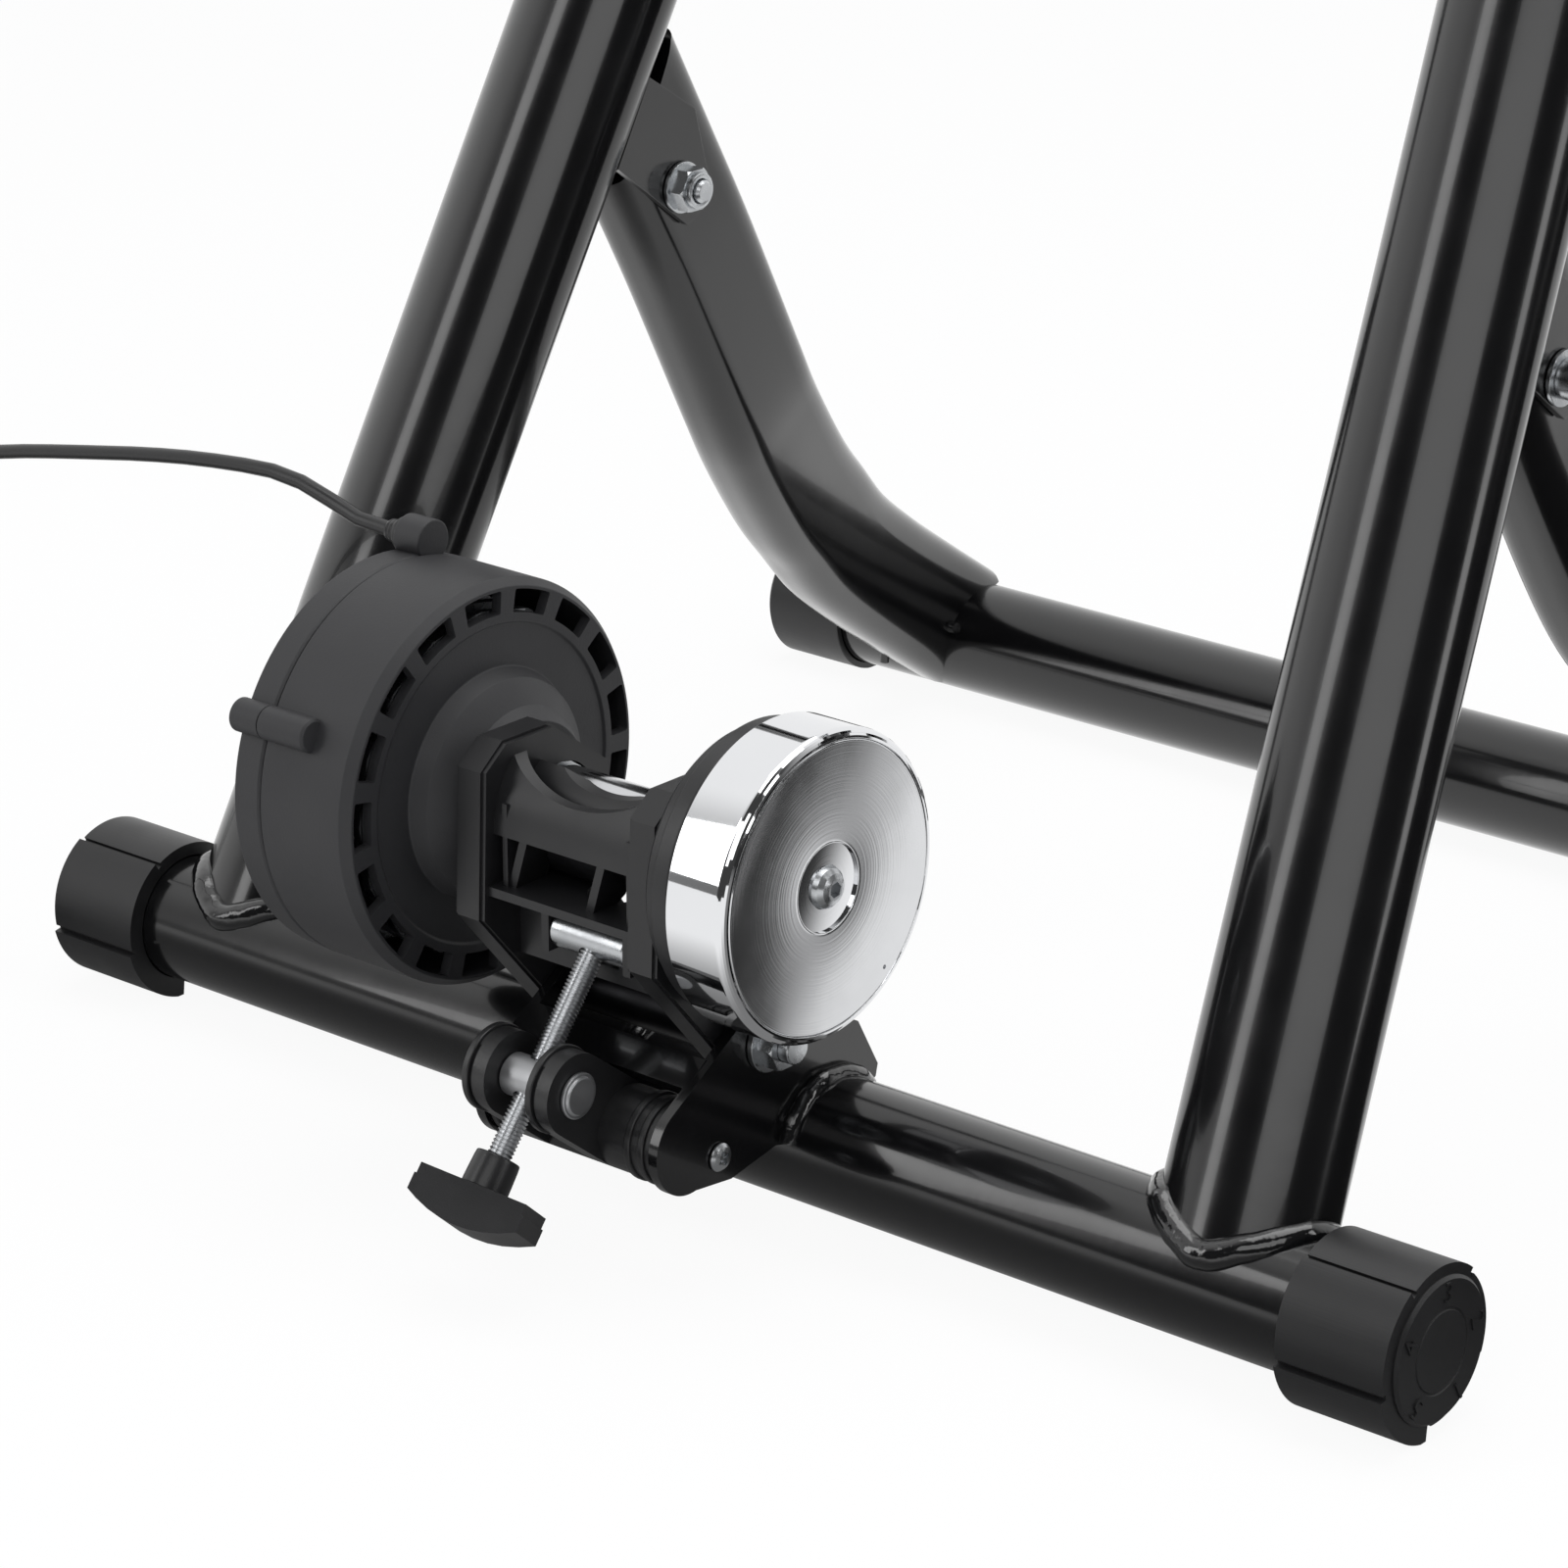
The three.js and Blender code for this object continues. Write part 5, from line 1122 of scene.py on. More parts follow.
@dataclass
class FrontFrame:
    """The folding front frame: its tube, two curved legs and end caps."""

    fold: Point2 = LAYOUT.fold
    wheelbase: float = LAYOUT.wheelbase
    radius: float = LAYOUT.tube
    half: float = 301.7
    leg_x: float = LAYOUT.leg_x
    leg_front_x: float = 231.0
    size: Point2 = (30.0, 50.0)
    corner: float = 7.0
    lean: float = 29.4  # of the straight stretch at the bolt, in degrees
    ahead: float = 6.6  # from the bolt forward to a leg's middle
    above: float = 43.4  # how far a leg runs on above its bolt
    below: float = 34.0  # how far it stays straight below the bolt
    bend_share: float = 0.218  # the share of its fall at which it starts to bend outwards
    end: float = 307.0  # the end caps' outer faces

    def centre_line(self) -> list[Vector]:
        """Returns: places along the right leg's middle, in the stand's frame."""
        start = math.radians(self.lean)
        down = (math.sin(start), -math.cos(start))
        ahead = (math.cos(start) * self.ahead, math.sin(start) * self.ahead)
        y, z = self.fold

        def straight(along: float) -> Vector:
            """Args: along: mm below the bolt. Returns: a place on the straight stretch."""
            return Vector((self.leg_x, y + ahead[0] + down[0] * along, z + ahead[1] + down[1] * along))

        points = [straight(along) for along in (-self.above, -self.above / 2, 0, self.below)]
        shares = [(0.25, 0.372), (0.312, 0.448), (0.457, 0.594), (0.536, 0.661)]
        shares += [(0.636, 0.745), (0.757, 0.828), (0.869, 0.9), (1.0, 0.985)]
        for forward, fall in shares:
            t = min(max((fall - self.bend_share) / (1 - self.bend_share), 0), 1)
            bend = t * t * (3 - 2 * t)
            x = self.leg_x + (self.leg_front_x - self.leg_x) * bend
            points.append(Vector((x, y + (self.wheelbase - y) * forward, z - z * fall)))
        return points

    def leg(self) -> Shape:
        """Returns: the right leg, cut to the front tube at its foot."""
        width, depth = self.size[0] / 2, self.size[1] / 2
        box = [(-width, -depth), (width, -depth), (width, depth), (-width, depth)]
        section = rounded(box, self.corner / 0.55, closed=True, steps=8)
        path = catmull(self.centre_line(), 90)
        return swept(path, section, Vector((-1, 0, 0)))

    def build(self) -> None:
        """Makes the tube, legs, welds and caps."""
        y = self.wheelbase
        tube = collar(self.radius - LAYOUT.tube_wall, self.radius, -self.half, self.half, steps=128)
        make_piece("front_tube_enamelled", tube.moved(0, y, 0), Dress(Body.FRONT, ENAMEL, ("front_tube",)))
        behind = block((0, -100, -100), (462, 3.6 - LAYOUT.fold_gap, 100))
        behind = behind.turned(-LAYOUT.upright_lean).moved(0, *self.fold)
        past = block((0, y, -280), (300, y + 300, 20))
        saddle = rod(self.radius - 0.8, 0, self.end, 0, 96).moved(0, y, 0)
        bore = rod(4.4, 0, 357, 0, 48).moved(0, *self.fold)
        leg = carved(self.leg(), (Cut.AWAY, saddle), (Cut.AWAY, behind), (Cut.AWAY, past), (Cut.AWAY, bore))
        for side in Side:
            dress = Dress(Body.FRONT, ENAMEL, (f"{side.label}_front_leg",), sharp=40)
            make_piece(f"{side.label}_curved_leg", leg.on(side), dress)
            self.weld(side)
            self.cap(side)

    def weld(self, side: Side) -> None:
        """Args: side: which leg's weld to make on the front tube."""
        x, y = self.leg_front_x, self.wheelbase
        top = [Vector(((x + k * 0.95) * side.value, y - 19.6, 9.6)) for k in range(-19, 20)]
        down = [Vector(((x + 17.0) * side.value, y - 20.5 - k * 0.1, 8.0 - k * 2.2)) for k in range(10)]
        make_bead(f"{side.label}_leg_top_weld", top, Body.FRONT)
        make_bead(f"{side.label}_leg_side_weld", down, Body.FRONT, 2.0)

    def cap(self, side: Side) -> None:
        """Args: side: which end cap to make."""
        profile = [(-5.0, 0.0), (-5.0, 21.8), (-37.0, 21.8), (-37.0, 24.4), (-2.0, 24.4), (0.0, 22.4)]
        profile += [(0.0, 13.4), (-0.35, 13.0), (0.0, 12.6), (0.0, 0)]
        shape = lathe(profile, 0.5, 128).moved(self.end, 0, 0)
        floor = block((200, -60, -60), (320, 60, -LAYOUT.front_height)).turned(math.degrees(LEAN))
        shape = carved(shape, (Cut.AWAY, floor)).moved(0, self.wheelbase, 0)
        dress = Dress(Body.FRONT, CAP_PVC, (f"front_{side.label}_cap",), sharp=30)
        make_piece(f"{side.label}_front_end_cap", shape.on(side), dress)


@dataclass
class LevellingCap:
    """A rear cap with five lobes of growing radius and a numeral for each."""

    length: float = 39.5
    end: float = 279.5
    radii: tuple[float, ...] = (24.0, 25.2, 26.4, 27.6, 28.8)
    start: float = 264.0  # where the first lobe begins, in degrees
    margin: float = 0.6  # from a lobe's end to the step, in degrees
    face: float = 23.0
    bore: float = 22.0
    slit: float = 0.9  # half the width of the cuts between the lobes
    mark_radius: float = 18.0
    mark_height: float = 9.2
    mark_depth: float = 0.6

    @property
    def sector(self) -> float:
        """Returns: a lobe's share of the turn, in degrees."""
        return 360 / len(self.radii)

    def ridden_body(self, side: Side) -> Body:
        """Args: side: the cap's side. Returns: its body."""
        return Body.RIGHT_CAP if side is Side.RIGHT else Body.LEFT_CAP

    def body(self) -> Shape:
        """Returns: the right cap, its outer face at X 0."""
        outline: list[Point2] = []
        for index, radius in enumerate(self.radii):
            first = self.start + self.sector * index + self.margin
            last = self.start + self.sector * (index + 1) - self.margin
            outline += arc((0, 0), radius, first, last, 22)
        shell = extruded(outline, -self.length, -1.6)
        disc = [(-6.0, 0.0), (-6.0, self.face), (-1.0, self.face), (0.0, self.face - 1.0)]
        disc += [(0.0, 13.5), (-0.5, 13.2), (-0.5, 12.8), (0.0, 12.5), (0.0, 0.0)]
        cuts = []
        for index, radius in enumerate(self.radii):
            foot = self.radii[index - 1]
            deep = min(radius, foot) - 1.4
            cut = block((-60, deep, -self.slit), (10, radius + foot, self.slit))
            cuts.append(cut.turned(self.start + self.sector * index))
        floor = block((-60, -40, -60), (10, 40, -LAYOUT.rear_height)).turned(math.degrees(LEAN))
        steps = [(Cut.AWAY, rod(self.bore, -60, -6.0, 0, 96)), (Cut.JOIN, lathe(disc, 0.15, 96))]
        steps += [(Cut.AWAY, cut) for cut in (*cuts, floor)]
        return carved(shell, *steps)

    def numerals(self, side: Side) -> None:
        """Args: side: the cap whose raised numerals to make."""
        meshes: list[bpy.types.Mesh] = []
        joined = bmesh.new()
        for index in range(len(self.radii)):
            curve = bpy.data.curves.new("numeral", "FONT")
            curve.body = str(index + 1)
            curve.align_x = "CENTER"
            curve.align_y = "CENTER"
            curve.size = self.mark_height
            curve.extrude = self.mark_depth
            text = linked("numeral", curve)
            mesh = settled(text)
            angle = self.start + self.sector * (index + 0.5)
            stood = Matrix(((0, 0, 1, 0), (1, 0, 0, 0), (0, 1, 0, 0), (0, 0, 0, 1)))
            out = Matrix.Translation((0, 0, self.mark_radius)) @ stood
            mesh.transform(Matrix.Rotation(math.radians(angle - 90), 4, "X") @ out)
            if side is Side.LEFT:
                mesh.transform(Matrix.Rotation(math.pi, 4, "Z"))
            mesh.transform(Matrix.Translation((side.value * self.end, 0, 0)))
            joined.from_mesh(mesh)
            meshes.append(mesh)
            bpy.data.objects.remove(text)
        bmesh.ops.remove_doubles(joined, verts=joined.verts, dist=1e-4)
        faces = [tuple(v.index for v in f.verts) for f in joined.faces]
        shape = Shape([v.co.copy() for v in joined.verts], faces)
        joined.free()
        for mesh in meshes:
            bpy.data.meshes.remove(mesh)
        make_piece(f"{side.label}_cap_numerals", shape, Dress(self.ridden_body(side), CAP_PVC, sharp=30))

    def build(self) -> None:
        """Makes both caps."""
        shape = self.body().moved(self.end, 0, 0)
        for side in Side:
            node = f"{side.label}_levelling_cap"
            dress = Dress(self.ridden_body(side), CAP_PVC, (node,), bevel=0.45, sharp=35)
            make_piece(f"{side.label}_lobed_cap", shape.on(side), dress)
            self.numerals(side)


@dataclass
class UnitBracket:
    """The two cheeks welded to the rear tube, the forked arm between them, and their fasteners."""

    tilt: Point2 = LAYOUT.tilt
    hub: Point2 = (-65.0, 19.0)  # the arm's round end, between the cheeks
    trunnion: Point2 = LAYOUT.trunnion
    rod_x: float = LAYOUT.rod_x
    screw: Point2 = (-52.0, 11.5)
    left_cheek: Point2 = (-27.6, -24.0)  # its two faces, in X
    right_cheek: Point2 = (44.5, 48.0)
    screw_bore: float = 2.5
    pin_bore: float = 5.3
    fork: float = 17.4  # half the fork's width
    slot: float = 8.8  # half the slot's width
    seam: float = 21.0
    weld: float = 3.8

    @property
    def slope(self) -> float:
        """Returns: the angle of the line from the hub to the pivot bolt, in degrees."""
        return math.degrees(math.atan2(self.tilt[1] - self.hub[1], self.tilt[0] - self.hub[0]))

    def outline(self) -> list[Point2]:
        """Returns: a cheek's outline in Y and Z."""
        points: list[Point2] = [(0.0, 0.0), (-25.0, 6.0), (-46.0, 2.0)]
        points += arc(self.hub, 15.4, -81, self.slope - 270, 30)
        points += arc(self.tilt, 14.0, self.slope + 90, 60, 16)
        return points + [(14.8, 35.1), (24.6, 17.5), (23.6, 13.4)]

    def build(self) -> None:
        """Makes the bracket, the arm and the screws."""
        outline = self.outline()
        web = block((-25, 10.8, 11.5), (45.5, 22.4, 15.0)).turned(self.slope).moved(0, *self.hub)
        cheeks = carved(
            extruded(outline, *self.left_cheek),
            (Cut.JOIN, extruded(outline, *self.right_cheek)),
            (Cut.JOIN, web),
            (Cut.AWAY, rod(LAYOUT.tube - 0.3, -40, 60, 0, 96)),
            (Cut.AWAY, rod(self.pin_bore, -40, 60, 0, 32).moved(0, *self.tilt)),
            (Cut.AWAY, rod(self.screw_bore, -40, 60, 0, 24).moved(0, *self.screw)),
        )
        make_piece("welded_unit_bracket", cheeks, Dress(Body.STAND, ENAMEL, ("unit_bracket",), bevel=0.6))
        seams = {"left_cheek": -28.8, "left_inner": -22.8, "right_inner": 43.3, "right_cheek": 49.2}
        for name, x in seams.items():
            start, end = (38.0, 160.0) if "inner" in name else (36.0, 164.0)
            seam = [Vector((x, *place)) for place in arc((0, 0), self.seam, start, end, 40)]
            make_bead(f"{name}_weld", seam, Body.STAND, self.weld)
        self.arm()
        self.fasteners()

    def arm(self) -> None:
        """Makes the forked arm with its rimmed ears."""
        ear, hub = (*self.trunnion, 13.2), (*self.hub, 13.5)
        x0, x1 = self.rod_x - self.fork, self.rod_x + self.fork
        fork = extruded(link(ear, hub), x0, x1)
        lug = extruded(link(hub, (*self.screw, 6.6)), -23.7, 44.2)
        slot = block((self.rod_x - self.slot, -125.0, -32.0), (self.rod_x + self.slot, -72.5, 62.6))
        steps = [(Cut.JOIN, lug)]
        front_half = (Cut.AWAY, block((-60, -8, -40), (80, 40, 40)))
        for start in (x0, self.rod_x + self.slot):
            flange = collar(9.0, 14.1, start, start + 2.4, 0.5, 96)
            neck = carved(collar(12.6, 16.0, start + 2.4, start + 3.4, 0.0, 96), front_half)
            steps.append((Cut.JOIN, flange.moved(0, *self.trunnion)))
            steps.append((Cut.AWAY, neck.moved(0, *self.trunnion)))
        for x in (-23.0, 33.0, 38.5):
            steps.append((Cut.JOIN, collar(11.5, 14.3, x, x + 2.6, 0.6, 96).moved(0, *self.hub)))
        steps.append((Cut.AWAY, slot))
        steps.append((Cut.AWAY, rod(self.pin_bore, -30, 40, 0, 48).moved(0, *self.trunnion)))
        for x in (-24.7, 35.2):
            steps.append((Cut.AWAY, rod(self.screw_bore, x, x + 10, 0, 24).moved(0, *self.screw)))
        dress = Dress(Body.STAND, CASTING, ("adjuster_arm",), bevel=0.5, sharp=40)
        make_piece("forked_adjuster_arm", carved(fork, *steps), dress)

    def fasteners(self) -> None:
        """Makes the arm screws and the cradle's pivot bolt, nut and sleeve."""
        head = lathe([(0, 0), (0, 4.6), (0.7, 4.6), (1.7, 3.6), (2.2, 2.2), (2.2, 0)], 0.25, 72)
        slot = block((1.1, -2.6, -0.55), (4, 2.6, 0.55)).turned(20)
        screw = carved(head, (Cut.AWAY, slot), (Cut.AWAY, slot.turned(90))) + rod(2.2, -12.6, 0.2, 0.2, 32)
        for side, face in ((Side.RIGHT, 48.3), (Side.LEFT, -27.9)):
            shape = screw.mirrored(side.value).moved(face, *self.screw)
            dress = Dress(Body.STAND, ZINC, (f"{side.label}_arm_screw",))
            make_piece(f"{side.label}_cross_screw", shape, dress)
        nut = carved(crowned_hex(8.2, 50.3, 56.3), (Cut.AWAY, rod(5.2, 40, 70, 0)))
        nut = nut + collar(self.pin_bore, 10.0, 48.3, 50.3, 0.35, 72)
        make_piece("pivot_lock_nut", nut.moved(0, *self.tilt), Dress(Body.STAND, ZINC, ("pivot_nut",)))
        bolt = carved(crowned_hex(8.5, -46.3, -40.3), (Cut.JOIN, rod(5.0, -42, 60.3, 0.6, 48)))
        make_piece("pivot_hex_bolt", bolt.moved(0, *self.tilt), Dress(Body.STAND, ZINC, ("pivot_bolt",)))
        sleeve = collar(self.pin_bore, 9.0, -23.7, 30.7, 0.5, 72).moved(0, *self.tilt)
        make_piece("pivot_spacer", sleeve, Dress(Body.STAND, BLACK_OXIDE, ("pivot_sleeve",)))


@dataclass
class Adjuster:
    """The screw that tilts the cradle: trunnion, rod with its thread, barrel nut, clip and knob."""

    trunnion: Point2 = LAYOUT.trunnion
    barrel: Point2 = LAYOUT.barrel
    rod_x: float = LAYOUT.rod_x
    radius: float = 4.0
    ridge: float = 0.58  # the thread's depth
    pitch: float = 1.25
    bore: float = 4.2
    knob_start: float = 25.9  # from the trunnion down to the knob's hub
    knob_turn: float = 15.0
    knob_size: Point2 = (19.5, 9.0)  # half its length, and half its thickness
    knob_end: float = 9.0  # the height of its two ends
    knob_swell: float = 5.0  # how much higher its middle is
    notch: Point2 = (0.7, 3.6)

    def swing(self) -> float:
        """Returns: how far the rod leans forward, in radians."""
        return math.atan2(self.barrel[0] - self.trunnion[0], self.barrel[1] - self.trunnion[1])

    def place(self) -> Matrix:
        """Returns: the frame at the trunnion with Z along the rod, in the part's frame."""
        lean = Matrix.Rotation(-self.swing(), 4, "X")
        return STAND @ Matrix.Translation((self.rod_x, *self.trunnion)) @ lean

    def run(self) -> float:
        """Returns: the distance from the trunnion to the barrel nut."""
        return math.hypot(self.barrel[0] - self.trunnion[0], self.barrel[1] - self.trunnion[1])

    def build(self) -> None:
        """Makes the adjuster's pieces."""
        place = self.place()
        bore = rod(self.bore, -40, 40, 0, 48).upright()
        line = [(6, 0), (6, 5.0), (17.7, 5.0), (17.7, 7.4), (18.6, 7.4), (18.9, 7.0), (18.9, 6.3)]
        head = lathe([*line, (19.5, 6.0), (19.7, 5.6), (19.7, 0)], 0.15, 96)
        heads = [(Cut.JOIN, head.mirrored(way)) for way in (-1, 1)]
        trunnion = carved(rod(6.8, -8.5, 8.5, 0.5, 96), (Cut.AWAY, bore), *heads)
        make_piece("cross_trunnion", trunnion, Dress(Body.TRUNNION, PIN_STEEL, ("trunnion",), place=place))
        barrel = carved(rod(6.3, -15.0, 15.0, 0.8, 96), (Cut.AWAY, bore)).moved(0, 0, self.run())
        make_piece("barrel_cross_nut", barrel, Dress(Body.BARREL, ZINC, ("barrel_nut",), place=place))
        self.screw(place)
        self.knob(place)

    def screw(self, place: Matrix) -> None:
        """Args: place: the adjuster's frame. Makes the rod with its thread, and the clip at its end."""
        top = self.run() + 9.0
        foot = -self.knob_start - 9.0
        core = lathe([(foot, 0), (foot, 3.4), (top - 0.8, 3.4), (top, 2.8), (top, 0)], 0.1, 48).upright()
        start = -self.knob_start - 1.0
        thread = Thread(start, top - 0.6 - start, self.pitch, self.radius - self.ridge, self.ridge)
        steel = Dress(Body.SCREW, THREAD_STEEL, ("adjuster_rod",), place=place)
        make_screw("threaded_rod", core, thread, steel)
        clip = collar(3.9, 6.8, self.run() + 6.6, self.run() + 7.6, 0.2, 64).upright()
        make_piece("rod_end_clip", clip, Dress(Body.SCREW, BLACK_OXIDE, ("rod_clip",), place=place))

    def knob(self, place: Matrix) -> None:
        """Args: place: the adjuster's frame. Makes the T-shaped knob."""
        top = -self.knob_start - 11.0
        half, depth = self.knob_size
        edge = top - self.knob_end
        outline: list[Point2] = [(-half, top), (half, top), (half, edge)]
        for x in (half - 5 * k for k in range(1, 8)):
            outline.append((x, edge - self.knob_swell * (1 - (x / half) ** 2)))
        outline.append((-half, edge))
        hub = [(-1, 0), (0, 7.6), (4.0, 7.5), (9.0, 7.3), (11.0, 7.1), (11.0, 0)]
        steps = [(Cut.JOIN, lathe([(top + x, r) for x, r in hub], 0.6, 72).upright())]
        tip = block((half - self.notch[0], -depth - 1, top - self.notch[1]), (half + 2, depth + 1, top + 1))
        steps += [(Cut.AWAY, tip.mirrored(way)) for way in (-1, 1)]
        steps.append((Cut.AWAY, rod(3.4, top + 1.7, 0, 0, 32).upright()))
        shape = carved(plate(outline, -depth, depth), *steps).turned(self.knob_turn, "Z")
        nylon = Dress(Body.SCREW, NYLON, ("adjuster_knob",), bevel=1.0, sharp=30, place=place)
        make_piece("tee_knob", shape, nylon)


@dataclass
class ResistanceUnit:
    """The cradle with its roller and flywheel, about the roller's axis."""

    at: Point2 = LAYOUT.roller
    lug: float = 12.5
    wall: float = 31.0
    proud: float = 0.9  # how far the middle of a flange stands out
    span: Point2 = (-29.0, 32.0)  # the walls between the flanges, in X

    def centre(self) -> Vector:
        """Returns: the roller's axis in the part's frame."""
        return STAND @ Vector((0, *self.at))

    def turn(self, name: str, profile: Sequence[Point2], edge: float, steps: int, dress: Dress) -> None:
        """Args: name; profile, edge, steps: as in lathe; dress: its look. Makes a ring about the axle."""
        make_piece(name, lathe(profile, edge, steps, closed=True).moved(0, *self.at), dress)

    def from_here(self, place: Point2) -> Point2:
        """Args: place: in Y and Z. Returns: the same place seen from the roller's axis."""
        return place[0] - self.at[0], place[1] - self.at[1]

    def dress(self, finish: Finish, *nodes: str, body: Body = Body.ROTOR, bevel: float = 0.0) -> Dress:
        """Args: finish: its look; nodes: what it replaces; body: its body; bevel: in mm.
        Returns: the dress.
        """
        return Dress(body, finish, nodes, bevel=bevel, sharp=35, centre=self.centre())

    def build(self) -> None:
        """Makes the rotor, guard and cradle."""
        self.rotor()
        guard = [(43.3, 6.8), (43.3, 41.0), (45.3, 43.0), (49.0, 43.0), (49.2, 41.2), (50.0, 41.2)]
        guard += [(50.2, 46.5), (56.0, 46.5), (56.0, 6.8)]
        nylon = self.dress(NYLON, "flywheel_guard", body=Body.CRADLE)
        self.turn("stepped_flywheel_guard", guard, 0.5, 128, nylon)
        self.cradle()

    def rotor(self) -> None:
        """Makes the roller, flywheel, washer and screw."""
        roller = [(-27.4, 6.3), (-27.4, 12.4), (-26.6, 13.2), (29.6, 13.2), (30.4, 12.4), (30.4, 6.3)]
        self.turn("ground_roller", roller, 0.3, 128, self.dress(ROLLER_STEEL, "roller"))
        rim = [(57.0, 6.3), (57.0, 47.7), (58.6, 49.3), *arc((77.4, 46.2), 3.1, 90, 0, 6)]
        rim += [(80.1, 46.0), (79.0, 46.0), (79.0, 6.3)]
        self.turn("chromed_flywheel", rim, 0.15, 192, self.dress(CHROME, "flywheel"))
        face = [(78.6, 14.0), (78.6, 45.9), (80.2, 45.9), (80.5, 45.6), (80.495, 45.3), (80.48, 45.0)]
        face += [(80.2, 30.0), (79.91, 15.2), (79.905, 14.9), (79.89, 14.6), (79.6, 14.0)]
        dot = rod(0.7, 79.3, 90, 0, 24).moved(0, 26.0, -33.5)
        turned = carved(lathe(face, 0.12, 192, closed=True), (Cut.AWAY, dot)).moved(0, *self.at)
        make_piece("flywheel_turned_face", turned, self.dress(TURNED_FACE))
        recess = [(75.5, 6.3), (75.5, 14.0), (79.9, 14.0), (79.9, 14.5), (75.0, 14.5), (75.0, 6.3)]
        self.turn("flywheel_recess", recess, 0.1, 128, self.dress(CHROME))
        washer = collar(3.3, 11.5, 75.8, 77.8, 0.3, 96).moved(0, *self.at)
        make_piece("flywheel_plain_washer", washer, self.dress(ZINC, "flywheel_washer"))
        head = [(60.1, 0), (60.1, 3.0), (78.1, 3.0), (78.1, 7.0), (79.0, 7.0), (80.6, 6.3), (82.0, 4.9)]
        head += [(82.7, 3.3), (82.7, 0)]
        screw = carved(lathe(head, 0.3, 96), (Cut.AWAY, hexagon(2.6, 80.1, 90, 12))).moved(0, *self.at)
        make_piece("flywheel_button_screw", screw, self.dress(ZINC, "flywheel_screw"))
        shaft = lathe([(-95.0, 0), (-95.0, 6.0), (75.2, 6.0), (75.2, 3.4), (55.2, 3.4), (55.2, 0)], 0.3, 64)
        make_piece("ground_shaft", shaft.moved(0, *self.at), self.dress(BARE_METAL, "roller_shaft"))

    def cheek(self, x0: float, x1: float, grown: float = 0.0) -> Shape:
        """Args: x0, x1: its faces; grown: outwards in mm. Returns: one flange of the cradle."""
        back, front, top = -36.0 - grown, 21.0 + grown, 27.0 + grown
        line: list[Point2] = [(back, -28.0), (back + 2.0, 20.0), (-25.0, top), (-4.0, top), (front, 9.0)]
        line += arc(self.from_here(LAYOUT.tilt), self.lug + grown, 0, -144, 24)
        return extruded(line, x0, x1)

    def wall_arc(self, outer: float, thick: float, start: float, end: float) -> Shape:
        """Args: outer, thick: radii; start, end: degrees.
        Returns: part of a tube wall between the flanges.
        """
        line = arc((0, 0), outer, start, end, 40) + arc((0, 0), outer - thick, end, start, 40)
        return extruded(line, *self.span)

    def cradle(self) -> None:
        """Makes the moulded cradle."""
        seat = self.from_here(LAYOUT.barrel)
        x0, x1 = self.span
        scallop = rod(55.0, -60, 60, 0, 160).turned(90, "Z").moved(1.5, -49.3, 69.0)
        inner = self.wall_arc(self.wall, 3.5, 118, 181)
        parts: list[tuple[Cut, Shape]] = [
            (Cut.JOIN, self.wall_arc(20.0, 3.0, 118, 282)),
            (Cut.JOIN, block((x0, -34.0, -20.0), (x1, -13.0, -17.0))),
            (Cut.AWAY, scallop),
        ]
        for x in (-17.0, 15.0):
            rib = block((-1.5, 0.0, -19.5), (1.5, 14.0, 1.0)).turned(17, "Y").moved(x, -29.4, 0.0)
            parts.append((Cut.JOIN, rib))
        parts.append((Cut.JOIN, block((x0, seat[0], -43.0), (x1, -4.0, -19.0))))
        for x in (-13.3, 20.3):
            parts.append((Cut.JOIN, block((x, seat[0] - 6.3, seat[1] - 6.3), (x + 3.0, -4.0, -19.0))))
        for x in (-24.0, 27.0):
            parts.append((Cut.JOIN, block((x - 1.0, -30.5, -17.5), (x + 1.0, -20.0, 10.0))))
        inside = carved(inner, *parts)
        way = rod(9.4, 41.5, 70.0, 0, 48).upright().turned(-math.degrees(Adjuster().swing()))
        way = way.moved(LAYOUT.rod_x, *self.from_here(LAYOUT.trunnion))
        whole = carved(
            self.cheek(-40.0, -28.0),
            (Cut.JOIN, self.cheek(31.0, 43.0)),
            (Cut.JOIN, self.cheek(-38.6, -29.6, self.proud)),
            (Cut.JOIN, self.cheek(32.6, 41.6, self.proud)),
            (Cut.JOIN, inside),
            (Cut.AWAY, rod(7.0, -10.3, 20.3, 0, 64).moved(0, *seat)),
            (Cut.AWAY, way),
            (Cut.AWAY, rod(14.3, -60, 60, 0, 96)),
            (Cut.AWAY, rod(5.4, -60, 60, 0, 48).moved(0, *self.from_here(LAYOUT.tilt))),
        )
        dress = self.dress(NYLON, "cradle", body=Body.CRADLE, bevel=0.7)
        make_piece("moulded_cradle", whole.moved(0, *self.at), dress)


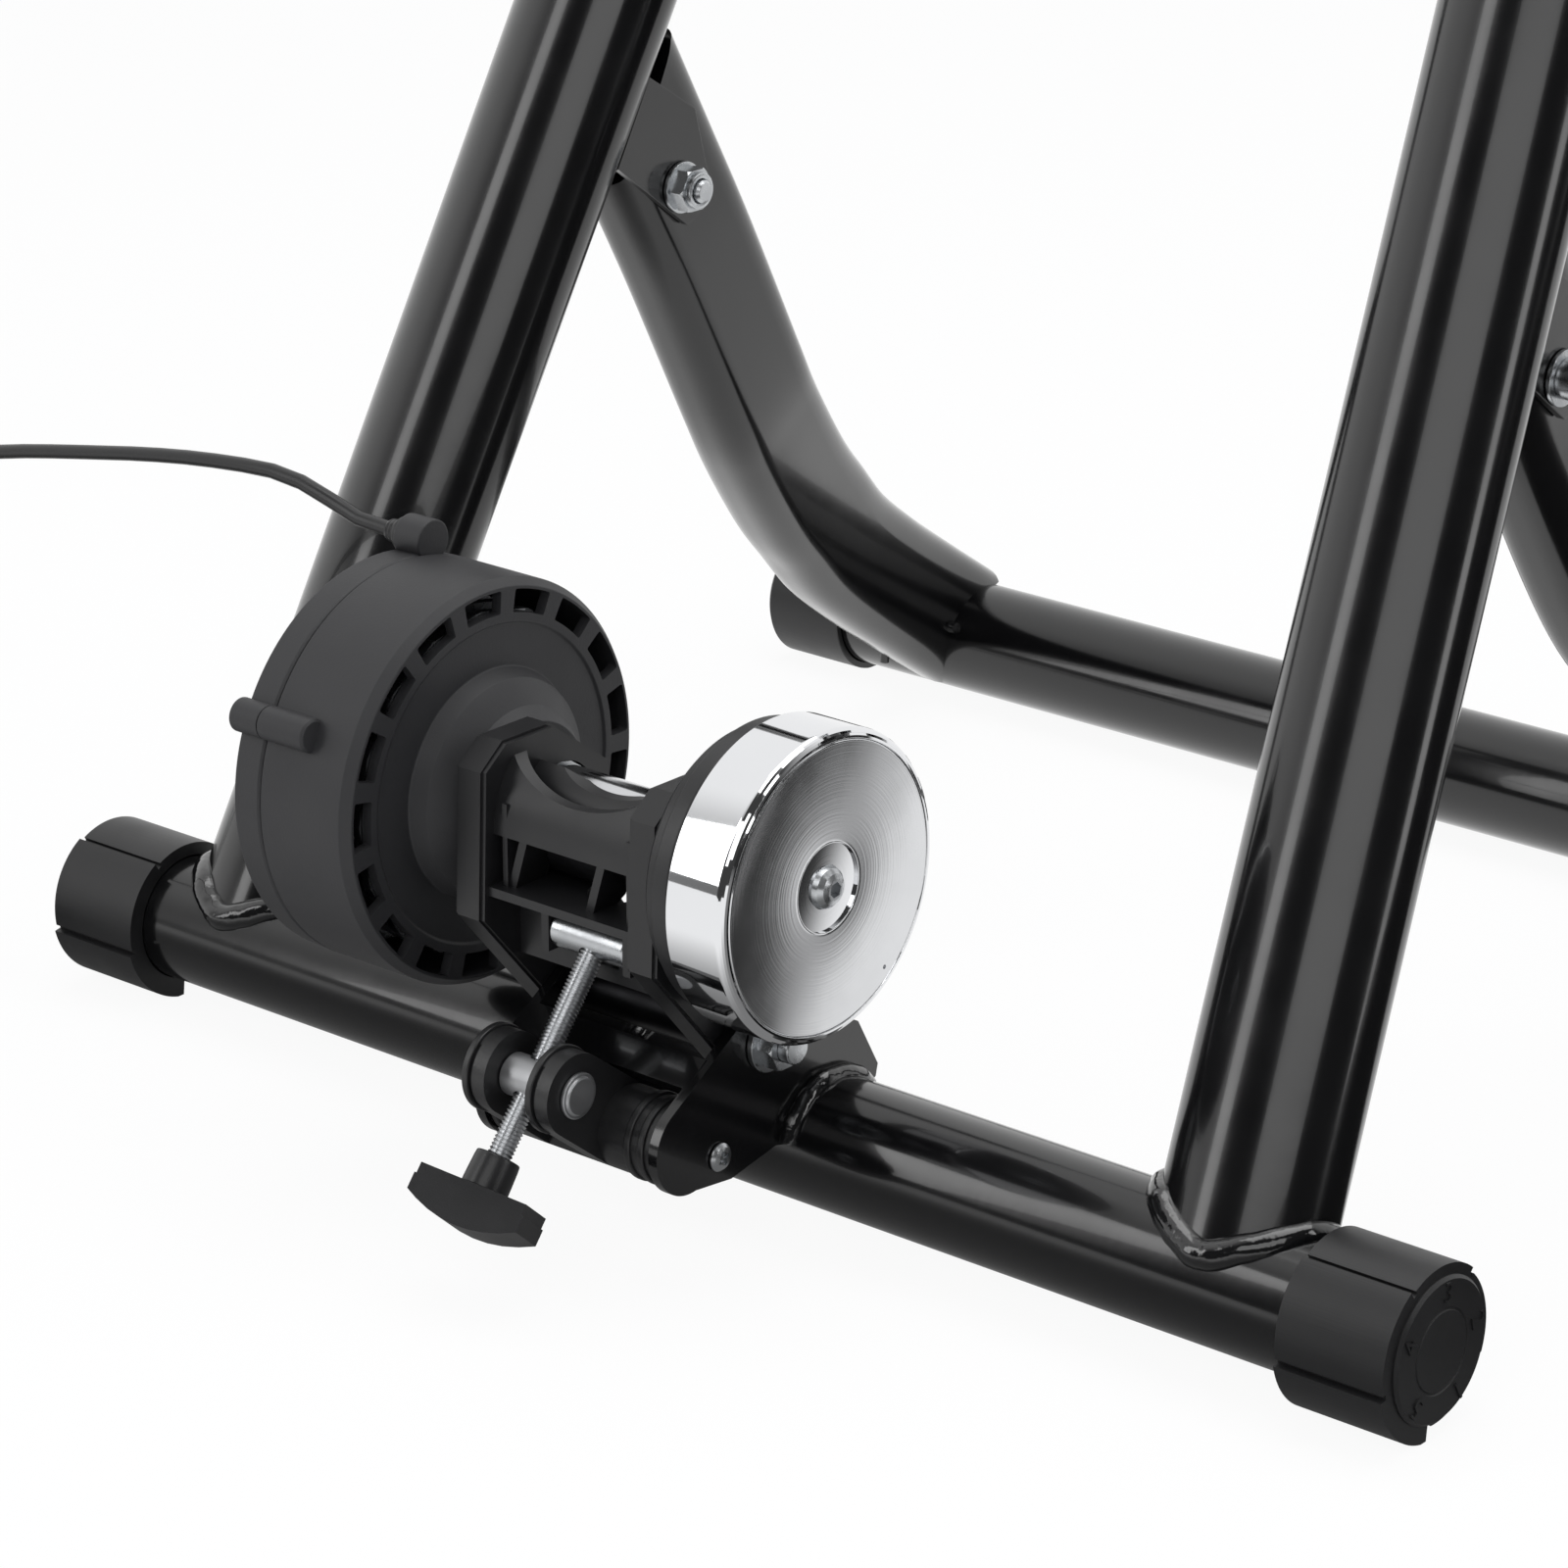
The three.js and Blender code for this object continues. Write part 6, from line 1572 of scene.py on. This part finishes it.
@dataclass
class BrakeDrum:
    """The drum that holds the magnets: vented housing, cover, screws and cable gland."""

    at: Point2 = LAYOUT.roller
    radius: float = 66.0
    inside: float = 63.0
    face: float = -58.0
    parting: float = -94.5
    rim: float = -106.0
    outer: float = -112.0
    wall: float = 3.0
    hub: float = 33.0
    vents: int = 17
    screw_ring: float = 67.0
    screw_angles: tuple[float, float] = (155.0, 335.0)

    def build(self) -> None:
        """Makes the drum's pieces."""
        centre = STAND @ Vector((0, *self.at))
        self.housing(centre)
        self.cover(centre)
        self.screws()
        self.gland()

    def boss(self, x0: float, x1: float) -> Shape:
        """Args: x0, x1: its ends. Returns: the screw bosses on the rim, one opposite the other."""
        one = lathe([(x0, 0), (x0, 5.5), (x1 - 0.8, 5.5), (x1, 4.7), (x1, 0)], 0.3, 48)
        return self.opposite(one)

    def opposite(self, one: Shape) -> Shape:
        """Args: one: about the X axis. Returns: a pair of them on the screws' ring."""
        return repeated(one.moved(0, self.screw_ring, 0), 2, self.screw_angles[0], 180)

    def vent(self) -> Shape:
        """Returns: one vent's tool, a ring sector with rounded corners, at angle 0."""
        half, inner, outer = 7.6, 55.0, 62.6  # degrees, mm, mm
        line = arc((0, 0), outer, -half, half, 8) + arc((0, 0), inner, half, -half, 8)
        return extruded(rounded(line, 1.6, closed=True), self.face - 6, self.face + 4)

    def housing(self, centre: Vector) -> None:
        """Args: centre: the axle's place. Makes the inner housing with its vents."""
        face, back = self.face, self.face - self.wall
        line = [(-40.3, 6.8), (-40.3, 24.0), (-46.0, 28.0), (-50.0, self.hub), (-52.4, 35.4), (face, 37.8)]
        line += [(face, 51.5), (face + 0.8, 52.3), (face + 0.8, 63.52), (face - 2.4, self.radius)]
        line += [(self.parting, self.radius), (self.parting, self.inside), (back, self.inside)]
        line += [(back, 12.0), (face, 6.8)]
        shell = lathe(line, 0.8, 160, closed=True)
        cavity = rod(self.inside, self.parting - 1, back, 0, 120)
        bosses = carved(self.boss(self.parting, -75.0), (Cut.AWAY, cavity))
        vents = repeated(self.vent(), self.vents, 93.0)
        whole = carved(shell, (Cut.JOIN, bosses), (Cut.AWAY, vents))
        dress = Dress(Body.CRADLE, DRUM_ABS, ("drum_housing",), bevel=0.35, sharp=40, centre=centre)
        make_piece("vented_drum_housing", whole.moved(0, *self.at), dress)

    def cover(self, centre: Vector) -> None:
        """Args: centre: the axle's place. Makes the outer cover."""
        start, outer, far = self.parting - 0.3, self.outer, -224
        line = [(outer, 0), (outer, 14.0), (outer + 0.8, 15.0), (outer + 0.8, 17.0), (outer, 18.0)]
        line += [(outer, 51.5), (-109.0, 61.4), (self.rim, 65.5), (start - 1.0, self.radius), (start, 65.4)]
        line += [(start, self.inside), (self.rim + 1.5, self.inside), (outer + self.wall, 50.2)]
        line += [(outer + self.wall, 8.0), (-99.0, 8.0), (-99.0, 0)]
        cavity = rod(self.inside, self.rim + 1.5, start + 1, 0, 120)
        gland_boss = rod(7.0, self.rim, start, 0.6, 64).moved(0, *LAYOUT.gland)
        outside = carved(self.boss(start, self.rim), (Cut.JOIN, gland_boss), (Cut.AWAY, cavity))
        seats = self.opposite(rod(4.3, far, self.rim, 0, 48))
        whole = carved(
            lathe(line, 0.8, 160),
            (Cut.JOIN, outside),
            (Cut.AWAY, seats),
            (Cut.AWAY, rod(4.8, far, -99.0, 0, 48).moved(0, *LAYOUT.gland)),
            (Cut.AWAY, rod(5.8, far, self.rim, 0, 48).moved(0, *LAYOUT.gland)),
        )
        dress = Dress(Body.CRADLE, DRUM_ABS, ("drum_cover",), bevel=0.3, sharp=40, centre=centre)
        make_piece("dished_drum_cover", whole.moved(0, *self.at), dress)

    def screws(self) -> None:
        """Makes the screws in the rim's bosses."""
        line = [(-108.3, 0), (-108.3, 2.8), (-107.6, 3.9), (-106.3, 4.0), (-106.3, 2.0), (-79.0, 2.0)]
        cross = block((-112, -2.3, -0.45), (-107.2, 2.3, 0.45))
        screw = carved(lathe([*line, (-79.0, 0)], 0.2, 48), (Cut.AWAY, cross), (Cut.AWAY, cross.turned(90)))
        for number, angle in enumerate(self.screw_angles, 1):
            place = arc(self.at, self.screw_ring, angle, angle, 1)[0]
            dress = Dress(Body.CRADLE, BLACK_OXIDE, (f"drum_screw_{number}",))
            make_piece(f"drum_cross_screw_{number}", screw.moved(0, *place), dress)

    def gland(self) -> None:
        """Makes the tapered, ribbed strain relief where the cable leaves the cover."""
        line = [(-99.3, 1.6), (-99.3, 4.4), (-106.4, 4.4), (-106.4, 5.4), (-108.2, 5.4), (-108.8, 4.4)]
        line += [(-109.6, 4.2), (-110.4, 3.7), (-111.2, 3.9), (-112.0, 3.5), (-112.8, 3.7), (-113.6, 3.2)]
        line += [(-113.7, 2.7), (-113.7, 1.6)]
        shape = lathe(line, 0.2, 64, closed=True).moved(0, *LAYOUT.gland).moved(0, *self.at)
        make_piece("ribbed_cable_gland", shape, Dress(Body.CRADLE, NYLON, ("cable_gland",)))


@dataclass
class AxleClamps:
    """The sleeves through the uprights with the cups that hold a rear axle."""

    axle: Point2 = (197.0, 379.0)
    sleeve: float = 15.0
    bore: float = 10.4
    inner: float = 144.0
    outer: float = 212.0
    seam: float = 15.6
    weld: float = 1.7
    pin_x: float = 222.0
    thread: Thread = Thread(100.0, 128.0, 2.5, 9.1, 0.85)

    def place(self, shape: Shape, side: Side = Side.RIGHT) -> Shape:
        """Args: shape: about the axle's line; side: its side. Returns: the shape in place."""
        return shape.on(side).moved(0, *self.axle)

    def build(self) -> None:
        """Makes both clamps."""
        line = [(88.0, 0), (88.0, 12.0), (86.0, 14.0), (72.8, 14.0), (72.0, 13.2), (72.0, 9.5), (80.0, 9.5)]
        cup = lathe([*line, (80.0, 0)], 0.3, 96)
        for side, body in ((Side.LEFT, Body.LEFT_CUP), (Side.RIGHT, Body.RIGHT_CUP)):
            dress = Dress(body, ZINC, (f"{side.label}_clamp_cup",))
            make_piece(f"{side.label}_axle_cup", self.place(cup, side), dress)
        sleeve = collar(self.bore, self.sleeve, self.inner, self.outer, 0.5, 96)
        dress = Dress(Body.STAND, ENAMEL, ("left_clamp_sleeve",))
        make_piece("left_clamp_tube", self.place(sleeve, Side.LEFT), dress)
        self.left()
        self.right(sleeve)
        for side in Side:
            self.join(side, "inner", -1)
            self.join(side, "outer", 1)

    def join(self, side: Side, name: str, way: int) -> None:
        """Args: side, name, way: which face. Makes the bead where the sleeve comes out of the upright."""
        uprights = Frame()
        across, forward, _, _ = uprights.axes()
        wide, deep = uprights.width / 2, uprights.depth / 2
        ring: list[Vector] = []
        for y, z in (self.around(a) for a in full_turn(48)):
            start = Vector((0, y, z)) - uprights.base
            one = Vector((start.dot(across) / wide, start.dot(forward) / deep))
            two = Vector((across.x / wide, forward.x / deep))
            a, b, c = two.dot(two), one.dot(two), one.dot(one) - 1
            x = (-b + way * max(b * b - a * c, 0.0) ** 0.5) / a
            ring.append(Vector((x * side.value, y, z)))
        make_bead(f"{side.label}_{name}_sleeve_weld", ring, Body.STAND, self.weld, True)

    def around(self, angle: float) -> Point2:
        """Args: angle: in radians. Returns: a place on the sleeve's seam, in Y and Z."""
        return self.axle[0] + self.seam * math.cos(angle), self.axle[1] + self.seam * math.sin(angle)

    def left(self) -> None:
        """Makes the left spindle, lock ring and knob."""
        shank = lathe([(88.3, 0), (88.3, 8.6), (89.5, 9.3), (243.0, 9.3), (244.0, 8.4), (244.0, 0)], 0.2, 72)
        outwards = Matrix.Rotation(math.pi, 4, "Z") @ Matrix.Rotation(math.radians(90), 4, "Y")
        place = STAND @ Matrix.Translation((0, *self.axle)) @ outwards
        zinc = Dress(Body.LEFT_SPINDLE, ZINC, ("left_clamp_spindle",), place=place)
        make_screw("left_threaded_spindle", shank.upright(), self.thread, zinc)
        ring = collar(self.bore, 20.6, 212.3, 220.3, 0.8, 120)
        notches = repeated(rod(1.6, 205, 225, 0, 24).moved(0, 21.4, 0), 18, 0.0)
        nylon = Dress(Body.LOCK_RING, NYLON, ("left_lock_ring",), bevel=0.3)
        make_piece("left_notched_lock_ring", self.place(carved(ring, (Cut.AWAY, notches)), Side.LEFT), nylon)
        line = [(232.0, 0), (232.0, 21.0), (233.2, 22.0), (252.0, 22.0), (255.0, 19.6), (256.0, 14.0)]
        lobes = repeated(rod(5.2, 228, 260, 0, 40).moved(0, 25.2, 0), 6, 0.0)
        knob = lathe([*line, (256.0, 0)], 0.8, 120)
        knob = carved(knob, (Cut.AWAY, lobes), (Cut.AWAY, rod(9.4, 228, 244.3, 0, 72)))
        nylon = Dress(Body.LEFT_SPINDLE, NYLON, ("left_clamp_knob",), bevel=0.8)
        make_piece("left_lobed_knob", self.place(knob, Side.LEFT), nylon)

    def right(self, sleeve: Shape) -> None:
        """Args: sleeve: the plain sleeve. Makes the eared sleeve, the plunger, the pin and the lever."""
        ear = link((0.0, 0.0, 10.5), (self.pin_x - self.outer, 0.0, 9.0))
        ears = (plate(ear, 7.9, 11.9) + plate(ear, -11.9, -7.9)).moved(self.outer)
        bore = rod(self.bore, 180, 216.0, 0, 64)
        ears = carved(ears, (Cut.AWAY, bore), (Cut.AWAY, block((150, -30, -30), (206, 30, 30))))
        enamel = Dress(Body.STAND, ENAMEL, ("right_clamp_sleeve",), sharp=40)
        make_piece("right_eared_sleeve", self.place(sleeve + ears), enamel)
        line = [(88.3, 0), (88.3, 9.4), (89.2, 10.0), (210.1, 10.0), (210.7, 9.4), (210.7, 0)]
        plunger = self.place(lathe(line, 0.2, 96))
        make_piece("right_ground_plunger", plunger, Dress(Body.RIGHT_CUP, ZINC, ("right_plunger",)))
        pin = rod(4.0, -13.0, 13.0, 0.6, 48).turned(90, "Z").moved(self.pin_x, 0, 0)
        make_piece("lever_cross_pin", self.place(pin), Dress(Body.STAND, ZINC, ("lever_pin",)))
        outline: list[Point2] = [(3.5, -80.0), (3.5, -26.0), (1.0, -19.0)]
        reach, rise, swing, steps = 11.0, 3.0, 110, 24  # the cam's spiral
        for step in range(steps + 1):
            share = step / steps
            angle = math.radians(200 if step == 0 else 180 - swing * share)
            radius = reach - rise * share
            outline.append((radius * math.cos(angle), radius * math.sin(angle)))
        outline += [(8.0, 0.0), (10.0, -30.0), (11.0, -76.0), (10.2, -82.0), (8.0, -85.0), (5.2, -84.0)]
        bore = rod(4.3, -20, 20, 0, 48).turned(90, "Z")
        lever = carved(plate(outline, -7.5, 7.5), (Cut.AWAY, bore)).moved(self.pin_x)
        oxide = Dress(Body.LEVER, BLACK_OXIDE, ("quick_release_lever",), bevel=1.0)
        make_piece("cam_lever", self.place(lever), oxide)


@dataclass
class ControlCable:
    """The brake cable with its coil on the floor, and the handlebar lever unit at its end."""

    diameter: float = 5.0
    exit_x: float = -114.0
    coil_centre: Point2 = (-385.0, -95.0)
    inner: float = 21.0
    pitch: float = 5.7
    turns: int = 3
    loop_steps: int = 24
    bends: tuple[Point3, ...] = (
        (-142, -22.3, 205.5),
        (-158, -22.3, 209.2),
        (-172, -22.3, 209.3),
        (-202, -22.3, 206.6),
        (-226, -22.3, 203.2),
        (-251, -22.3, 198.8),
        (-277, -22.3, 194),
        (-302, -22.3, 188.6),
        (-330, -23, 179),
        (-355, -23, 163),
        (-379, -22, 142),
        (-398, -20, 117),
        (-412, -18, 89),
        (-420, -18, 62),
        (-424, -22, 38),
        (-424.5, -32, 19),
        (-424, -46, 7.5),
        (-423.4, -60, 3.2),
        (-423.1, -75, 2.5),
    )

    def coil(self) -> list[Vector]:
        """Returns: the coil's middle line, from the floor inwards, up a layer and out again."""
        per, radius = self.loop_steps, self.diameter / 2
        outer = self.inner + self.pitch * self.turns
        inward, climb = self.turns * per, per / 2
        points: list[Vector] = []
        for step in range(2 * inward + int(climb) + 1):
            angle = math.pi + 2 * math.pi * step / per
            rise = min(max((step - inward) / climb, 0), 1)
            turns_in = min(step, inward) / per
            turns_out = max(step - inward - climb, 0) / per
            dip = min(rise, 1 - rise) * climb / per
            r = outer - self.pitch * (turns_in - turns_out + dip)
            x = self.coil_centre[0] + r * math.cos(angle)
            y = self.coil_centre[1] + r * math.sin(angle)
            points.append(Vector((x, y, radius + self.pitch * rise)))
        lead = Vector((0, self.diameter, 0))
        return [points[0] + lead, *points, points[-1] + lead]

    def route(self) -> tuple[Vector, list[Vector], Vector]:
        """Returns: the exit, the whole middle line, and the coil's end, in the floor's frame in mm."""
        y, z = (axis + out for axis, out in zip(LAYOUT.roller, LAYOUT.gland))
        tip = FLOOR.inverted() @ (STAND @ Vector((self.exit_x, y, z)))
        wound = self.coil()
        lead = tip - Vector((2 * self.diameter, 0, 0))
        free = [tip, lead, *[Vector(p) for p in self.bends], wound[0]]
        return tip, catmull(free, 36)[:-1] + wound, wound[-1]

    def build(self) -> tuple[bpy.types.Object, float, Vector, Vector]:
        """Makes the cable. Returns: it, its length in metres, its exit and the coil's end."""
        tip, path, end = self.route()
        places = [FLOOR @ p for p in path]
        curve = bpy.data.curves.new("brake_cable", "CURVE")
        curve.dimensions = "3D"
        curve.bevel_depth = self.diameter / 2 * MM
        curve.bevel_resolution = 4
        curve.use_fill_caps = True
        spline = curve.splines.new("POLY")
        spline.points.add(len(places) - 1)
        for point, place in zip(spline.points, places):
            point.co = (*place, 1.0)
        spline.use_smooth = True
        cable = linked("brake_cable", curve)
        curve.materials.append(SHEATH.material())
        length = sum((b - a).length for a, b in zip(places, places[1:]))
        ridden(cable, Dress(Body.STAND, SHEATH, ("cable_run", "cable_coil")))
        return cable, length, tip, end

    def remote(self, end: Vector) -> list[bpy.types.Object]:
        """Args: end: where the coil ends. Returns: the lever unit's pieces."""
        half, height, length, snout = 9.0, 18.0, 36.0, 20.0
        bar, band_wall = 12.7, 3.2  # the handlebar's radius, and the band round it
        middle = snout + length / 2
        box = [(-half, snout), (half, snout), (half, snout + length), (-half, snout + length)]
        base = slab(rounded(box, 7.0, closed=True, steps=6), 0.0, height)
        nose = lathe([(0, 0), (0, 2.5), (0.6, 2.9), (12, 3.0), (16, 4.4), (24, 5.0), (24, 0)], 0.3, 48)
        band = collar(bar, bar + band_wall, -7.0, 7.0, 0.8, 96).turned(90, "Y")
        slit = block((half + 2 * bar - 1, middle, -2), (50, middle + 3.0, 20))
        housing = carved(
            base,
            (Cut.JOIN, nose.turned(90, "Z").moved(0, 0, end.z)),
            (Cut.JOIN, band.moved(half + bar + band_wall / 2, middle, 7.0)),
            (Cut.AWAY, slit),
            (Cut.AWAY, rod(1.2, -1, 8, 0, 16).turned(90, "Z").moved(0, 0, end.z)),
            (Cut.AWAY, rod(3.3, -20, -5, 0, 32).moved(0, middle, half)),
            (Cut.AWAY, rod(7.0, 17.2, 30, 0, 64).upright().moved(0, middle, 0)),
        )
        place = FLOOR @ Matrix.Translation((end.x, end.y + 0.3, 0.0))
        nylon = Dress(Body.STAND, NYLON, ("remote_base",), bevel=0.8, sharp=35, place=place)
        base_piece = make_piece("remote_housing", housing, nylon)
        cover = lathe([(16.6, 0), (16.6, 6.6), (17.6, 6.2), (17.9, 4.0), (17.9, 0)], 0.3, 64)
        cover = cover.upright().moved(0, middle, 0)
        top_disc = Dress(Body.STAND, BLACK_OXIDE, place=place, own_slot="black_moulding")
        button = make_piece("remote_top_disc", cover, top_disc)
        paddle = extruded(link((0, 0, 8.6), (30.0, 0, 4.5)), -6.3, -0.3)
        hold = rod(3.0, -1.3, 3.7, 0.3, 32)
        shape = carved(paddle, (Cut.JOIN, hold)).moved(-half, middle, half)
        nylon = Dress(Body.REMOTE_LEVER, NYLON, ("remote_lever",), bevel=0.8, sharp=35, place=place)
        return [base_piece, button, make_piece("remote_paddle", shape, nylon)]


@dataclass(frozen=True)
class Inner:
    """A node that stays as it is, inside the drum or the cradle, with its own finish."""

    node: str
    finish: Finish


INNER = (
    Inner("left_bearing", BARE_METAL),
    Inner("right_bearing", BARE_METAL),
    Inner("rotor_disc", BARE_METAL),
    Inner("fixed_magnet_ring", ZINC),
    Inner("magnet_carrier", ZINC),
    Inner("return_spring", THREAD_STEEL),
)


def dress_inner() -> None:
    """Gives the nodes that stay their finishes."""
    for item in INNER:
        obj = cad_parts[item.node]
        obj.data.materials.clear()
        obj.data.materials.append(item.finish.material())
        LOG.info("%s keeps its solid, as %s", item.node, item.finish.name)


@dataclass
class Studio:
    """The camera, the pale floor and the soft lights."""

    position: Point3 = (1.0732, -1.3682, 0.7558)
    right: Point3 = (0.7608, 0.64897, -0.00636)
    up: Point3 = (-0.2275, 0.27586, 0.93394)
    lens: float = 127.7
    glow: float = 0.93  # how much of the floor's white is light of its own
    away: Point3 = (-0.6078, 0.70913, 0.0)  # the way that the camera looks, along the floor
    border_across: Point3 = (-1.5236, 1.0, 0.0)  # across the border of the painted darkened part that polished surfaces see on the floor
    border: Point2 = (-0.395, -0.365)  # where that border begins and ends, in m
    front: Point2 = (-0.45, -0.22)  # where the painted shade that polished surfaces see on the floor before the stand begins and ends, in m
    behind: Point2 = (-0.16, -0.06)  # where one pattern gives way to the other, in m

    def camera(self) -> None:
        """Makes the camera."""
        data = bpy.data.cameras.new("camera")
        data.lens = self.lens
        data.sensor_width = 36.0
        data.clip_start, data.clip_end = 0.05, 50.0
        camera = linked("camera", data)
        right = Vector(self.right).normalized()
        up = Vector(self.up)
        up = (up - right * up.dot(right)).normalized()
        back = right.cross(up)
        turn = Matrix((right, up, back)).transposed().to_4x4()
        camera.matrix_world = Matrix.Translation(self.position) @ turn
        bpy.context.scene.camera = camera

    def floor(self) -> None:
        """Makes the floor, which the camera sees as white with the object's shadow, and polished surfaces see
        with painted reflections: a painted darkened part and painted shade before the stand.
        """
        mesh = bpy.data.meshes.new("floor")
        size = 12.0
        corners = [(-size, -size, 0), (size, -size, 0), (size, size, 0), (-size, size, 0)]
        mesh.from_pydata(corners, [], [(0, 1, 2, 3)])
        obj = linked("floor", mesh)
        made = bpy.data.materials.new("paper_floor")
        made.use_nodes = True
        tree = made.node_tree
        tree.nodes.clear()
        paper = add_node(tree, "ShaderNodeBsdfDiffuse", {"Color": linear(0xF4F4F5)})
        glow = add_node(tree, "ShaderNodeEmission", {"Color": linear(0xFFFFFF), "Strength": 1.0})
        mixed = add_node(tree, "ShaderNodeMixShader", {0: self.glow, 1: paper.outputs[0], 2: glow.outputs[0]})
        path = add_node(tree, "ShaderNodeLightPath")
        # painted reflection: glossy rays see the floor glowing, darkened on one side of a border and shaded
        # before the stand
        bright = {"Color": linear(0xFFFFFF), "Strength": self.painted_reflection(tree)}
        mirrored = add_node(tree, "ShaderNodeEmission", bright)
        shown = paper.outputs[0]
        for ray, other in (("Is Camera Ray", mixed), ("Is Glossy Ray", mirrored)):
            choice = {0: path.outputs[ray], 1: shown, 2: other.outputs[0]}
            shown = add_node(tree, "ShaderNodeMixShader", choice).outputs[0]
        add_node(tree, "ShaderNodeOutputMaterial", {"Surface": shown})
        mesh.materials.append(made)

    def painted_reflection(self, tree: Tree) -> Socket:
        """Args: tree: the floor's tree.
        Returns: the painted reflection: how bright each place of the floor is in polished surfaces, with a
        painted darkened part beyond a border and painted shade before the stand.
        """
        place = add_node(tree, "ShaderNodeTexCoord").outputs["Object"]
        across = calc3(tree, "DOT_PRODUCT", place, self.border_across).outputs["Value"]
        # painted darkened part of the floor, seen only in polished surfaces
        painted_reflection_dark = ramp(tree, across, self.border, (0.03, 1.0))
        run = add_node(tree, "ShaderNodeSeparateXYZ", {0: place}).outputs["Y"]
        # painted shade before the stand, seen only in polished surfaces, like a contact shadow
        dim = ramp(tree, run, self.front, (1.0, 0.22))
        side = ramp(tree, run, self.behind, (0.0, 1.0), smooth=False)
        return add_node(tree, "ShaderNodeMix", {0: side, 2: dim, 3: painted_reflection_dark}, data_type="FLOAT").outputs[0]

    def seen(self, tree: Tree) -> Socket:
        """Args: tree: a tree. Returns: 1 for rays from the camera and from metal or glass, else 0."""
        path = add_node(tree, "ShaderNodeLightPath")
        one = calc(tree, "ADD", path.outputs["Is Camera Ray"], path.outputs["Is Glossy Ray"])
        two = {0: one, 1: path.outputs["Is Transmission Ray"]}
        return add_node(tree, "ShaderNodeMath", two, operation="ADD", use_clamp=True).outputs[0]

    def world(self) -> None:
        """Makes the backdrop, white on its own side in glossy surfaces, and dim behind the camera."""
        world = bpy.data.worlds.new("studio")
        bpy.context.scene.world = world
        world.use_nodes = True
        tree = world.node_tree
        tree.nodes.clear()
        path = add_node(tree, "ShaderNodeLightPath")
        place = add_node(tree, "ShaderNodeTexCoord").outputs["Generated"]
        away = tuple(Vector(self.away).normalized())
        facing = calc3(tree, "DOT_PRODUCT", place, away).outputs["Value"]
        side = ramp(tree, facing, (-0.35, 0.25), (0.05, 1.0))
        camera = calc(tree, "MAXIMUM", path.outputs["Is Camera Ray"], side)
        direct = add_node(tree, "ShaderNodeBackground", {"Color": linear(0xFFFFFF), "Strength": camera})
        fill = add_node(tree, "ShaderNodeBackground", {"Color": linear(0xF2F4F8), "Strength": 0.55})
        mixed = add_node(
            tree, "ShaderNodeMixShader", {0: self.seen(tree), 1: fill.outputs[0], 2: direct.outputs[0]}
        )
        add_node(tree, "ShaderNodeOutputWorld", {"Surface": mixed.outputs[0]})

    def softbox(self, name: str, at: Point3, target: Point3, size: Point2, watts: float) -> None:
        """Args: name: its name; at, target: places; size: width and height in metres; watts: its power."""
        data = bpy.data.lights.new(name, "AREA")
        data.shape = "RECTANGLE"
        data.size, data.size_y = size
        data.energy = watts
        light = linked(name, data)
        light.location = at
        light.rotation_euler = (Vector(target) - Vector(at)).to_track_quat("-Z", "Y").to_euler()

    def build(self) -> None:
        """Makes the whole studio."""
        scene = bpy.context.scene
        scene.view_settings.view_transform = "Standard"
        self.floor()
        self.world()
        centre = (0.0, 0.0, 0.2)
        self.softbox("top_box", (0.1, 0.2, 2.2), centre, (1.8, 1.8), 24.0)
        self.softbox("right_strip", (2.2, 0.1, 1.1), (0.0, -0.1, 0.25), (0.45, 1.8), 8.0)
        self.softbox("front_box", (0.8, -1.7, 1.4), (0.185, 0.0, 0.3), (1.6, 1.1), 10.0)
        self.softbox("left_strip", (-1.4, -1.9, 1.2), centre, (0.5, 1.8), 9.0)


def main() -> None:
    """Builds the studio and every sub-assembly, in order."""
    logging.basicConfig(level=logging.INFO, format="%(message)s")
    studio = Studio()
    studio.camera()
    cable = ControlCable()
    cord, length, tip, end = cable.build()
    remote = cable.remote(end)
    uprights = Frame()
    uprights.build()
    FoldJoints().build(uprights)
    FrontFrame().build()
    LevellingCap().build()
    UnitBracket().build()
    Adjuster().build()
    ResistanceUnit().build()
    BrakeDrum().build()
    AxleClamps().build()
    dress_inner()
    studio.build()


if __name__ == "__main__":
    main()
